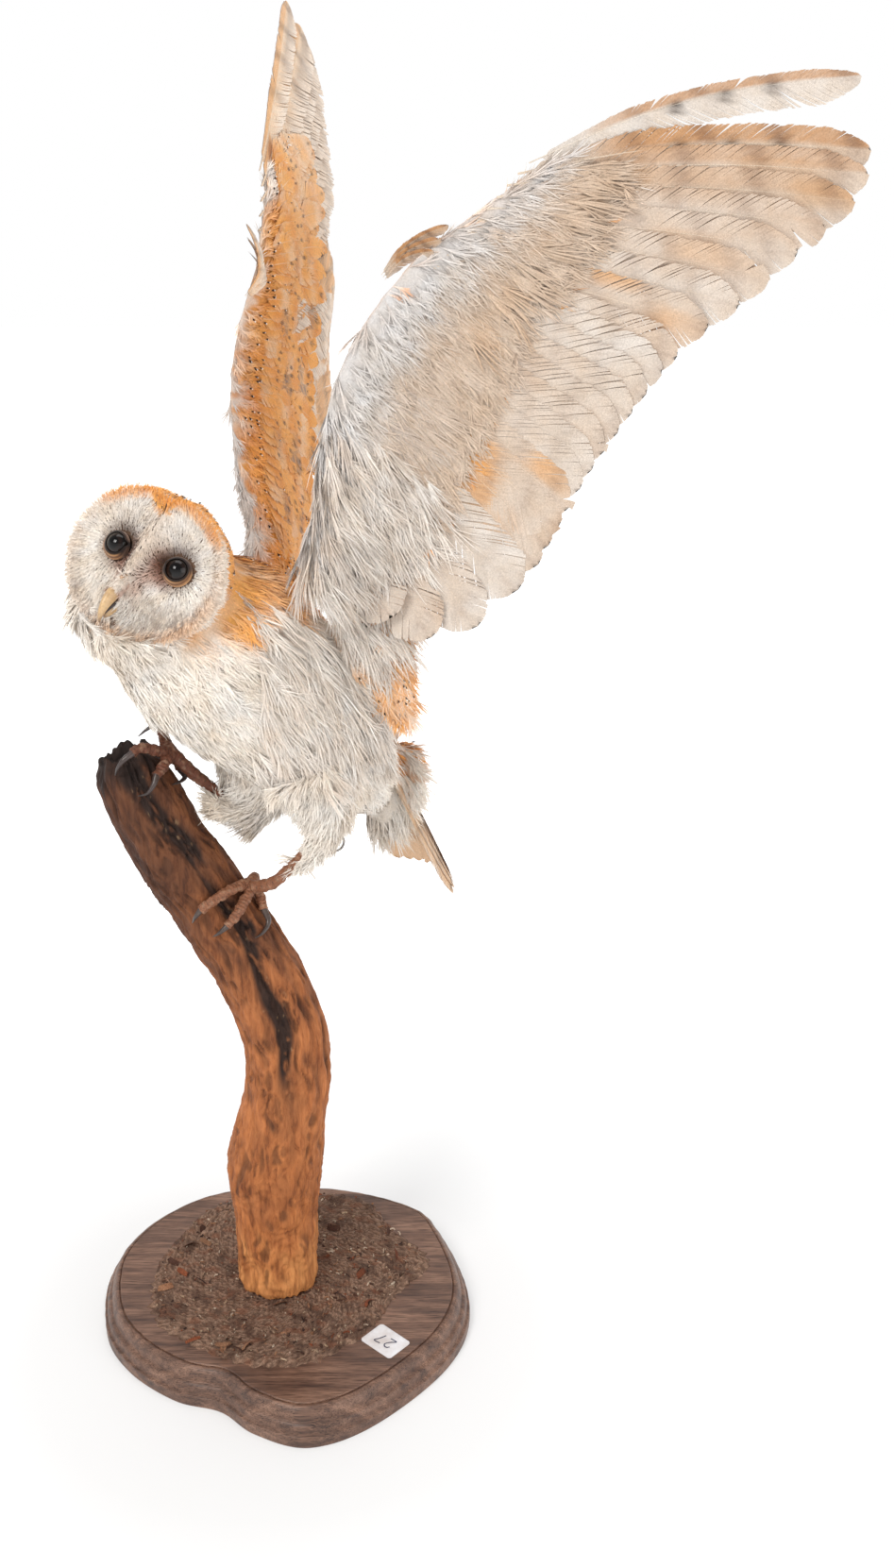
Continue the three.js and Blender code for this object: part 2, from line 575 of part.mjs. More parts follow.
/** The feathered arm and hand: a lens that tapers from the shoulder to the fingertip. */
function makeArm(wing, plan, grow) {
  const { shoulder, elbow, wrist, fingertip, primaries, secondaries, tertials, outer } = plan;
  const bow = new THREE.Vector2(-0.91, 0.41);
  const lead = (share) => shoulder.clone().lerp(wrist, share).addScaledVector(bow, wing.bow * Math.sin(Math.PI * share));
  const knuckle = (share) => wrist.clone().lerp(fingertip, share)
    .add(polar(-2, wing.handAngle + 90));
  const covert = (feather, share = WING.covertShare) => feather.root.clone().lerp(feather.tip, share);
  // leading edge, trailing edge of the coverts, thickness, and how much of it turns with the hand
  const stations = [
    [shoulder.clone().add(new THREE.Vector2(-12, -22)), shoulder.clone().add(new THREE.Vector2(20, -38)), 20, 0],
    [lead(0.06), covert(tertials[3], 0.7), 24, 0],
    [lead(0.26), covert(tertials[2], 0.56), 21, 0],
    [lead(0.46), covert(tertials[0], 0.5), 17, 0],
    [lead(0.62), covert(secondaries[8]), 14, 0],
    [lead(0.78), covert(secondaries[5]), 12.5, 0],
    [lead(0.92), covert(secondaries[2]), 11.5, 0.4],
    [knuckle(0.08), covert(primaries[0]), 10.5, 1],
    [knuckle(0.36), covert(primaries[3], 0.4), 9, 1],
    [knuckle(0.68), covert(primaries[6], 0.34), 7.5, 1],
    [knuckle(1.0), covert(primaries[8], 0.26), 6, 1],
    [outer.root.clone().lerp(outer.tip, 0.08), covert(primaries[8], 0.3), 3.4, 1],
  ];
  // share of the chord and share of the thickness, round the section
  const section = [[0, 0.18], [0.16, 0.8], [0.38, 1], [0.68, 0.62], [1, 0.14], [1, -0.14], [0.68, -0.62], [0.38, -1],
    [0.16, -0.8], [0, -0.18]];
  const rings = stations.map(([front, back, thickness, hand]) => {
    const chord = back.clone().sub(front);
    const stretch = grow / chord.length();
    return section.map(([share, high]) => {
      const at = front.clone().addScaledVector(chord, share + (share - 0.5) * 2 * stretch);
      const sag = camber(wing, share * WING.covertShare);
      return lift(wing, plan, at, sag + high * thickness / 2 + Math.sign(high) * grow, hand);
    });
  });
  return loft(rings);
}

/** A lens-shaped cluster of shoulder feathers that lies back along the trunk. */
function makeScapular(wing, plan, grow) {
  const { spine, section, depth } = SCAPULAR;
  return loft(spine.map(([x, y, width, thickness], index) => {
    const before = spine[Math.max(index - 1, 0)];
    const after = spine[Math.min(index + 1, spine.length - 1)];
    const across = new THREE.Vector2(-(after[1] - before[1]), after[0] - before[0]).normalize();
    return section.map(([sideways, face]) => {
      const at = new THREE.Vector2(x, y).addScaledVector(across, sideways * (width + grow));
      return lift(wing, plan, at, depth + face * (thickness / 2 + grow) - 3 * sideways * sideways, 0);
    });
  }));
}

// ---------------------------------------------------------------- tail

function tailPoint(across, share, height) {
  const root = vector(...TAIL.root);
  const along = vector(...TAIL.tip).sub(root);
  const width = lerp(TAIL.rootWidth, TAIL.tipWidth, share) / 2;
  const under = vector(-along.z, 0, along.x).normalize();
  const droop = TAIL.arch * across * across * (0.5 + 0.5 * share);
  return root.addScaledVector(along, share - 0.05 * across * across * share)
    .add(vector(0, across * width, 0))
    .addScaledVector(under, droop + height)
    .applyMatrix4(bird.matrixWorld);
}

/** The closed fan of tail feathers, arched so that its sides hang, with scalloped ends. */
function makeTail() {
  const columns = Array.from({ length: TAIL.feathers * 2 + 1 }, (_, c) => c);
  const face = (height) => columns.map((c) => {
    const across = c / TAIL.feathers - 1;
    const [reach, shingle] = c % 2 ? [1, 0.5] : [1 - TAIL.scallop, -0.3];
    return TAIL.rows.map((share) => tailPoint(across, share * (share === 1 ? reach : 1), height + shingle));
  });
  return thinSheet(face(TAIL.thickness / 2), face(-TAIL.thickness / 2));
}

/** Soft feathers over and under the roots of the tail. */
const makeTailCoverts = (grow) => carry(ellipsoid(TAIL_COVERTS, grow), bird);

// ---------------------------------------------------------------- legs and feet

const legTube = (stations, grow, sides, steps) => tube(
  stations.map(([x, y, z]) => inBird(x, y, z)), stations.map((row) => row[3]), { sides, steps, grow },
);

/** The bare shank with the ball of the foot that the toes spring from. */
function makeShank(leg, grow) {
  const joint = onLog(...leg.joint);
  const path = [...leg.shank.map(([x, y, z]) => inBird(x, y, z)), joint];
  return tube(path, [...leg.shank.map((row) => row[3]), ...FOOT_BALL], { sides: 7, steps: 6, grow });
}

const makeToe = (route, radii, grow, steps) => tube(route.map((row) => onLog(...row)), radii, { sides: 6, steps, grow });

function makeHook() {
  const [x, y, z] = HOOK.start;
  const path = [inBird(x, y, z), inBird(x, y, z - 8)];
  for (let step = 0; step <= 8; step += 1) {
    const angle = radians(-10 - (HOOK.turn * step) / 8);
    path.push(inBird(x - HOOK.radius + HOOK.radius * Math.cos(angle), y, z - 13 + HOOK.radius * Math.sin(angle)));
  }
  return tube(path, [HOOK.wire, HOOK.wire], { sides: 5, steps: 13 });
}

// ---------------------------------------------------------------- assembly

place(model, 'base_plaque', makePlaque(), MATERIALS.plaqueWood);
place(model, 'groundwork', carve(makeGroundwork, makeLog), MATERIALS.peat);
place(model, 'base_label', makeLabel(), MATERIALS.paper);
place(model, 'perch_log', makeLog(0), MATERIALS.barkWood);

const eyes = { left: (grow) => makeEye(1, grow), right: (grow) => makeEye(-1, grow) };
const upperBill = (grow) => makeBill(BILL_UPPER, grow);
const lowerBill = (grow) => makeBill(BILL_LOWER, grow);
place(headGroup, 'head', carve(makeHead, eyes.left, eyes.right, upperBill, lowerBill), MATERIALS.whitePlumage);
place(headGroup, 'bill_upper', upperBill(0), MATERIALS.horn);
place(headGroup, 'bill_lower', carve(lowerBill, upperBill), MATERIALS.horn);
for (const [name, eye] of Object.entries(eyes)) place(headGroup, `eye_${name}`, eye(0), MATERIALS.eye);

place(bird, 'neck', carve(makeNeck, makeHead, makeFaceClearance), MATERIALS.whitePlumage);
place(bird, 'trunk', carve(makeTrunk, makeNeck, makeHead, makeFaceClearance), MATERIALS.whitePlumage);

for (const wing of [LEFT_WING, RIGHT_WING]) {
  const group = wingGroup(wing);
  const plan = layOut(wing);
  const local = (make) => (grow) => carry(make(grow), group);
  const arm = local((grow) => makeArm(wing, plan, grow));
  const outer = local((grow) => makeBlade(wing, plan, plan.outer, WING.blade.outerWidth, grow));
  const scapular = local((grow) => makeScapular(wing, plan, grow));
  const body = [makeTrunk, makeNeck, makeHead];
  const whole = carve(arm, ...body);

  // the arm is parted at the elbow and the wrist by planes square to its bones
  const part = (solid, joint, angle) => {
    const normal = vector(Math.cos(radians(angle)), Math.sin(radians(angle)), 0).transformDirection(group.matrixWorld);
    const at = normal.dot(vector(joint.x, joint.y, 0).applyMatrix4(group.matrixWorld));
    return {
      outside: solid.trimByPlane(normal.toArray(), at + GAP / 2),
      inside: solid.trimByPlane(normal.clone().negate().toArray(), -at + GAP / 2),
    };
  };
  const elbow = part(whole, plan.elbow, (wing.humerusAngle + wing.ulnaAngle) / 2);
  const wrist = part(elbow.outside, plan.wrist, (wing.ulnaAngle + wing.handAngle) / 2);
  place(group, `upper_arm_${wing.name}`, largest(elbow.inside), MATERIALS.whitePlumage);
  place(group, `forearm_${wing.name}`, largest(wrist.inside), MATERIALS.whitePlumage);
  place(group, `hand_${wing.name}`, largest(wrist.outside), MATERIALS.flightFeather);

  const wristEdge = () => between(plan.secondaries[0], plan.primaries[0]);
  const elbowEdge = () => between(plan.secondaries.at(-1), plan.tertials[0]);
  const sheets = {
    primaries: [plan.primaries, [wristEdge(), null]],
    secondaries: [plan.secondaries, [wristEdge(), elbowEdge()]],
    tertials: [plan.tertials, [elbowEdge(), null]],
  };
  for (const [name, [feathers, edges]] of Object.entries(sheets)) {
    const sheet = local(() => makeFeatherSheet(wing, plan, feathers, edges));
    place(group, `${name}_${wing.name}`, carve(sheet, arm, outer, scapular, ...body), MATERIALS.flightFeather);
  }
  place(group, `outer_primary_${wing.name}`, carve(outer, arm), MATERIALS.flightFeather);
  place(group, `scapulars_${wing.name}`, carve(scapular, arm, ...body), MATERIALS.goldPlumage);

  const root = plan.wrist.clone().add(new THREE.Vector2(...wing.thumb));
  const thumb = { root, tip: root.clone().add(polar(WING.blade.alulaLength, wing.handAngle)), hand: 1, bow: 4 };
  const alula = local((grow) => makeBlade(wing, plan, thumb, WING.blade.alulaWidth, grow));
  place(group, `alula_${wing.name}`, carve(alula, arm), MATERIALS.goldPlumage);
}

place(bird, 'tail_coverts', carve(makeTailCoverts, makeTrunk), MATERIALS.whitePlumage);
place(bird, 'tail_feathers', carve(makeTail, makeTailCoverts, makeTrunk), MATERIALS.flightFeather);

for (const leg of [LEFT_LEG, RIGHT_LEG]) {
  const thigh = (grow) => legTube(leg.thigh, grow, 12, 6);
  const shank = (grow) => makeShank(leg, grow);
  place(bird, `thigh_${leg.name}`, carve(thigh, makeTrunk, makeTailCoverts), MATERIALS.whitePlumage);
  place(bird, `shank_${leg.name}`, carve(shank, thigh, makeTrunk), MATERIALS.skin);
  const earlier = [shank, makeLog];
  for (const [name, [toeRoute, clawRoute]] of Object.entries(leg.toes)) {
    const toe = (grow) => makeToe(toeRoute, TOE_RADII, grow, 4);
    const claw = (grow) => makeToe(clawRoute, CLAW_RADII, grow, 4);
    place(model, `toe_${name}_${leg.name}`, carve(toe, ...earlier), MATERIALS.skin);
    place(model, `claw_${name}_${leg.name}`, carve(claw, toe, ...earlier), MATERIALS.claw);
    earlier.push(toe, claw);
  }
}
place(bird, 'wire_hook', carve(makeHook, makeTrunk, makeTailCoverts, (grow) => legTube(LEFT_LEG.thigh, grow, 12, 6)), MATERIALS.wire);

export default model;
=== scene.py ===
"""Visual model of a mounted barn owl with raised wings on a leaning log and a routed plaque.

Every size is in millimetres inside the classes and becomes metres when a mesh is made.
"""

import json
import logging
import math
from dataclasses import dataclass, field
from enum import Enum
from typing import Callable, Sequence

import bpy
import numpy as np
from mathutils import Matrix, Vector
from mathutils.bvhtree import BVHTree

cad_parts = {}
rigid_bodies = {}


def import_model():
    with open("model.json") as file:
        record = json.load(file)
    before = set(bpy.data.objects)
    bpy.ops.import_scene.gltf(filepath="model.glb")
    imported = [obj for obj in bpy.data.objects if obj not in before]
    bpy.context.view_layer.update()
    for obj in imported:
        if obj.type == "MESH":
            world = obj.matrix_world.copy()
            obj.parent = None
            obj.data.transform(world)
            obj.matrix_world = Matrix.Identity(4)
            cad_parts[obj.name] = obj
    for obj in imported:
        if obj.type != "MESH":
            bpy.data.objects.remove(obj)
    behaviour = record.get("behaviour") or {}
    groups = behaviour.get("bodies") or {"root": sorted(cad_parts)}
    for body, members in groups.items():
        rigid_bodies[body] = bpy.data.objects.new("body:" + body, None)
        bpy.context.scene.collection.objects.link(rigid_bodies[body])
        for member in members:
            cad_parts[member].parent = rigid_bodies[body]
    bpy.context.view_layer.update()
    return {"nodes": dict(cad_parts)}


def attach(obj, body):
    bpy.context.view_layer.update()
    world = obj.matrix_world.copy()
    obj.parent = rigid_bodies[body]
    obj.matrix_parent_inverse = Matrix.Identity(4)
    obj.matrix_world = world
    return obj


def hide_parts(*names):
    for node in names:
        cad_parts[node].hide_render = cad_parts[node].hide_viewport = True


LOG = logging.getLogger("barn_owl")
MM = 0.001
Array = np.ndarray
Colour = tuple[float, float, float]


# ---------------------------------------------------------------- small mathematics


def unit(vectors: Array) -> Array:
    """Vectors scaled to length one along their last axis."""
    return vectors / np.maximum(np.linalg.norm(vectors, axis=-1, keepdims=True), 1e-9)


def flattened(ways: Array, normals: Array) -> Array:
    """Directions laid flat on the surface that has these normals, at length one."""
    return unit(ways - normals * (ways * normals).sum(1, keepdims=True))


def wrapped(degrees: Array) -> Array:
    """Angles in degrees brought between -180 and 180."""
    return (degrees + 180.0) % 360.0 - 180.0


def smooth(low: float | Array, high: float | Array, value: Array) -> Array:
    """A smooth step from 0 at low to 1 at high."""
    share = np.clip((value - low) / (high - low), 0.0, 1.0)
    return share * share * (3.0 - 2.0 * share)


def tint(start: Array, end: Array, share: Array) -> Array:
    """A mix of two colours.

    Args:
        start: linear colour, or one per point, where share is 0.
        end: the same where share is 1.
        share: mixing share per point.

    Returns:
        One linear colour per point.
    """
    return start + (end - start) * np.asarray(share, float)[..., None]


def linear(colour: Colour) -> Array:
    """A display colour from 0 to 255 as linear light."""
    c = np.asarray(colour, float) / 255.0
    return np.where(c <= 0.04045, c / 12.92, ((c + 0.055) / 1.055) ** 2.4)


def turned(axis: int, degrees: float) -> Array:
    """The rotation matrix about one axis (0 is X) by an angle in degrees.

    Args:
        axis: 0 for X, 1 for Y, 2 for Z.
        degrees: the angle.

    Returns:
        The 3 by 3 matrix.
    """
    c, s = math.cos(math.radians(degrees)), math.sin(math.radians(degrees))
    a, b = [(1, 2), (2, 0), (0, 1)][axis]
    made = np.eye(3)
    made[a, a] = made[b, b] = c
    made[a, b], made[b, a] = -s, s
    return made


@dataclass(frozen=True)
class Ripple:
    """Soft noise with a wavelength in millimetres, about -1 to 1, from a sum of waves."""

    size: float
    seed: int = 1
    waves: int = 12

    def __call__(self, points: Array) -> Array:
        """The noise at points of any leading shape.

        Args:
            points: places in millimetres, last axis 3.

        Returns:
            One value per place.
        """
        rng = np.random.default_rng(self.seed)
        directions = unit(rng.normal(size=(self.waves, 3)))
        strides = directions * (2 * math.pi / self.size) * rng.uniform(0.6, 1.6, (self.waves, 1))
        phases = rng.uniform(0, 2 * math.pi, self.waves)
        return np.sin(points @ strides.T + phases).sum(-1) * math.sqrt(2.0 / self.waves) * 0.7


@dataclass(frozen=True)
class Place:
    """A turned frame inside the model."""

    turn: Array
    origin: Array

    def out(self, points: Array) -> Array:
        """Points of this frame as points of the whole model."""
        return points @ self.turn.T + self.origin

    def into(self, points: Array) -> Array:
        """Points of the whole model as points of this frame."""
        return (points - self.origin) @ self.turn

    def inside(self, turn: Array, origin: Sequence[float]) -> "Place":
        """A frame placed inside this one.

        Args:
            turn: rotation of the new frame within this one.
            origin: its origin within this one.

        Returns:
            The new frame in the model's own axes.
        """
        return Place(self.turn @ turn, self.out(np.asarray(origin, float)))


BIRD = Place(turned(2, 212.0), np.array([14.0, 2.0, 480.0]))
HEAD = BIRD.inside(turned(2, 45.0) @ turned(1, -20.6) @ turned(0, -19.9), (74.5, 4.0, 87.5))


# ---------------------------------------------------------------- meshes


@dataclass
class Weave:
    """Grows one mesh out of many small pieces, with a colour and a root place for each point."""

    points: list[Array] = field(default_factory=list)
    triangles: list[Array] = field(default_factory=list)
    colours: list[Array] = field(default_factory=list)
    roots: list[Array] = field(default_factory=list)
    count: int = 0

    def add(self, points: Array, triangles: Array, colours: Array, roots: Array) -> None:
        """Add one batch of geometry.

        Args:
            points: corner points, n by 3.
            triangles: corner numbers within this batch, m by 3.
            colours: linear colours, n by 3.
            roots: places on the unwrap, n by 2.
        """
        self.points.append(points.astype(np.float32))
        self.triangles.append((triangles + self.count).astype(np.int32))
        self.colours.append(colours.astype(np.float32))
        self.roots.append(roots.astype(np.float32))
        self.count += len(points)

    def make(self, name: str) -> bpy.types.Object:
        """Turn everything added into one object in metres.

        Args:
            name: object name.

        Returns:
            The linked object.
        """
        points = np.concatenate(self.points)
        triangles = np.concatenate(self.triangles)
        made = mesh_object(name, points, triangles)
        paint(made, np.concatenate(self.colours))
        layer = made.data.uv_layers.new(name="OFBake")
        corner = np.clip(np.concatenate(self.roots), 0.001, 0.999)[triangles.ravel()]
        layer.data.foreach_set("uv", corner.astype(np.float32).ravel())
        return made


def linked(name: str, data: bpy.types.ID) -> bpy.types.Object:
    """A new object in the scene.

    Args:
        name: object name.
        data: what it shows: a mesh, a light or a camera.

    Returns:
        The object.
    """
    made = bpy.data.objects.new(name, data)
    bpy.context.scene.collection.objects.link(made)
    return made


def mesh_object(name: str, points: Array, faces: Array) -> bpy.types.Object:
    """A smooth mesh object from points in millimetres.

    Args:
        name: object name.
        points: n by 3 points.
        faces: m by 3 or m by 4 corner numbers.

    Returns:
        The linked object.
    """
    mesh = bpy.data.meshes.new(name)
    count, sides = faces.shape
    mesh.vertices.add(len(points))
    mesh.vertices.foreach_set("co", (np.asarray(points, np.float32) * MM).ravel())
    mesh.loops.add(count * sides)
    mesh.loops.foreach_set("vertex_index", faces.astype(np.int32).ravel())
    mesh.polygons.add(count)
    mesh.polygons.foreach_set("loop_start", np.arange(0, count * sides, sides, dtype=np.int32))
    mesh.polygons.foreach_set("loop_total", np.full(count, sides, np.int32))
    mesh.polygons.foreach_set("use_smooth", np.ones(count, bool))
    mesh.update(calc_edges=True)
    mesh.validate()
    return linked(name, mesh)


def paint(piece: bpy.types.Object, colours: Array) -> None:
    """Store linear colours under the name tone.

    Args:
        piece: the mesh object.
        colours: one colour for each point, or one for all.
    """
    layer = piece.data.color_attributes.new("tone", "FLOAT_COLOR", "POINT")
    colours = np.broadcast_to(colours, (len(piece.data.vertices), 3))
    rgba = np.concatenate([np.clip(colours, 0, 1), np.ones((len(colours), 1))], 1)
    layer.data.foreach_set("color", rgba.astype(np.float32).ravel())


def mount(piece: bpy.types.Object, finish: bpy.types.Material, slot: str, *nodes: str) -> bpy.types.Object:
    """Dress a piece, let it stand for frame nodes and fix it to the only body.

    Args:
        piece: the mesh object.
        finish: its material.
        slot: the record's material slot; not used.
        *nodes: frame nodes that the piece stands for.

    Returns:
        The piece.
    """
    piece.data.materials.append(finish)
    if nodes:
        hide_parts(*nodes)
    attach(piece, "root")
    LOG.info("%s: %d faces", piece.name, len(piece.data.polygons))
    return piece


def points_of(piece: bpy.types.Object) -> Array:
    """The points of a mesh object in millimetres.

    Args:
        piece: the mesh object.

    Returns:
        Points, n by 3.
    """
    flat = np.zeros(len(piece.data.vertices) * 3, np.float32)
    piece.data.vertices.foreach_get("co", flat)
    return flat.reshape(-1, 3).astype(float) / MM


def triangles_of(piece: bpy.types.Object) -> Array:
    """The triangles of a mesh object, as corner numbers.

    Args:
        piece: the mesh object.

    Returns:
        Corner numbers, m by 3.
    """
    piece.data.calc_loop_triangles()
    flat = np.zeros(len(piece.data.loop_triangles) * 3, np.int32)
    piece.data.loop_triangles.foreach_get("vertices", flat)
    return flat.reshape(-1, 3)


def normals_of(piece: bpy.types.Object) -> Array:
    """The outward unit normals at the points of a mesh object.

    Args:
        piece: the mesh object.

    Returns:
        Unit vectors, n by 3.
    """
    flat = np.zeros(len(piece.data.vertices) * 3, np.float32)
    piece.data.vertex_normals.foreach_get("vector", flat)
    return unit(flat.reshape(-1, 3).astype(float))


def grid_faces(rows: int, columns: int, around: bool = False) -> Array:
    """Triangles over a grid of points stored row by row.

    Args:
        rows: how many rows of points.
        columns: points in each row.
        around: whether the last column joins the first.

    Returns:
        Corner numbers, m by 3.
    """
    r, c = np.meshgrid(np.arange(rows - 1), np.arange(columns if around else columns - 1), indexing="ij")
    after = (c + 1) % columns
    a, b = (r * columns + c).ravel(), (r * columns + after).ravel()
    return np.concatenate([np.stack([a, b, b + columns], 1), np.stack([a, b + columns, a + columns], 1)])


def joined(parts: Sequence[tuple[Array, Array]]) -> tuple[Array, Array]:
    """Several surfaces as one.

    Args:
        parts: points and triangles of each surface.

    Returns:
        All points, and all triangles with their corner numbers moved on.
    """
    starts = np.cumsum([0] + [len(points) for points, _ in parts])
    faces = [triangles + start for (_, triangles), start in zip(parts, starts)]
    return np.concatenate([points for points, _ in parts]), np.concatenate(faces)


def search_tree(points: Array, triangles: Array) -> BVHTree:
    """A surface made ready for rays and nearest points."""
    return BVHTree.FromPolygons(points.tolist(), triangles.tolist())


def closed_loft(rings: Array) -> tuple[Array, Array]:
    """Rings of points closed at both ends with fans.

    Args:
        rings: rows by columns by 3 points, each row a closed ring.

    Returns:
        Points and triangles of the closed surface.
    """
    rows, columns, _ = rings.shape
    sides = grid_faces(rows, columns, around=True)
    points = np.concatenate([rings.reshape(-1, 3), rings[0].mean(0)[None], rings[-1].mean(0)[None]])
    ring = np.arange(columns)
    after = (ring + 1) % columns
    first = np.stack([np.full(columns, rows * columns), after, ring], 1)
    last = np.stack([np.full(columns, rows * columns + 1), ring + (rows - 1) * columns, after
                     + (rows - 1) * columns], 1)
    return points, np.concatenate([sides, first, last])


def loft_tones(tones: Array) -> Array:
    """The colours of a closed loft: those of its rings, then of the middles of its two ends."""
    return np.concatenate([tones.reshape(-1, 3), tones[0, :1], tones[-1, :1]])


def reach_along(points: Array) -> Array:
    """The distance along a line of points up to each of them."""
    return np.concatenate([[0], np.cumsum(np.linalg.norm(np.diff(points, axis=0), axis=1))])


def rounded(four: Sequence[Array], share: Array) -> Array:
    """The smooth curve between the middle two of four knots, at a share of the way.

    Args:
        four: the knots, each n by d.
        share: n shares of the way from the second to the third.

    Returns:
        n by d points.
    """
    p0, p1, p2, p3 = four
    u = share[:, None]
    return 0.5 * (2 * p1 + (p2 - p0) * u + (2 * p0 - 5 * p1 + 4 * p2 - p3) * u**2
                  + (3 * p1 - p0 - 3 * p2 + p3) * u**3)


def evenly(line: Array, reach: Array, at: Array) -> Array:
    """Every column of a line of points, read at the given distances along it."""
    return np.stack([np.interp(at, reach, line[:, k]) for k in range(line.shape[1])], -1)


def curve_through(points: Array, count: int) -> Array:
    """A smooth curve through points, sampled evenly.

    Args:
        points: n by d knots.
        count: how many samples.

    Returns:
        count by d samples, evenly spaced along the curve.
    """
    knots = np.asarray(points, float)
    padded = np.concatenate([2 * knots[:1] - knots[1:2], knots, 2 * knots[-1:] - knots[-2:-1]])
    t = np.linspace(0, len(knots) - 1, count * 6)
    low = np.minimum(t.astype(int), len(knots) - 2)
    dense = rounded([padded[low + k] for k in range(4)], t - low)
    reach = reach_along(dense[:, :3])
    return evenly(dense, reach, np.linspace(0, reach[-1], count))


def sweep(route: Array, sides: int, relief: Callable[[Array, Array], Array] | None = None,
          flat: float = 1.0) -> Array:
    """Rings round a route whose fourth column is the radius.

    Args:
        route: n by 4 rows of x, y, z and radius.
        sides: points round each ring.
        relief: extra radius from (distance along, angle), or None.
        flat: height of the section as a share of its width.

    Returns:
        n by sides by 3 ring points.
    """
    centre, radius = route[:, :3], route[:, 3]
    tangent = unit(np.gradient(centre, axis=0))
    normal = np.zeros_like(centre)
    start = np.cross(tangent[0], [0.0, 0.0, 1.0])
    normal[0] = unit(start if np.linalg.norm(start) > 0.1 else np.cross(tangent[0], [0.0, 1.0, 0.0]))
    for i in range(1, len(centre)):
        normal[i] = unit(normal[i - 1] - tangent[i] * (normal[i - 1] @ tangent[i]))
    binormal = np.cross(tangent, normal)
    angle = np.linspace(0, 2 * math.pi, sides, endpoint=False)
    along = reach_along(centre)
    reach = np.repeat(radius[:, None], sides, 1)
    if relief is not None:
        reach = reach + relief(along[:, None], angle[None, :])
    return (centre[:, None] + normal[:, None] * (reach * np.cos(angle))[..., None]
            + binormal[:, None] * (flat * reach * np.sin(angle))[..., None])


# ---------------------------------------------------------------- finishes


CLEAR: Colour = (255, 255, 255)


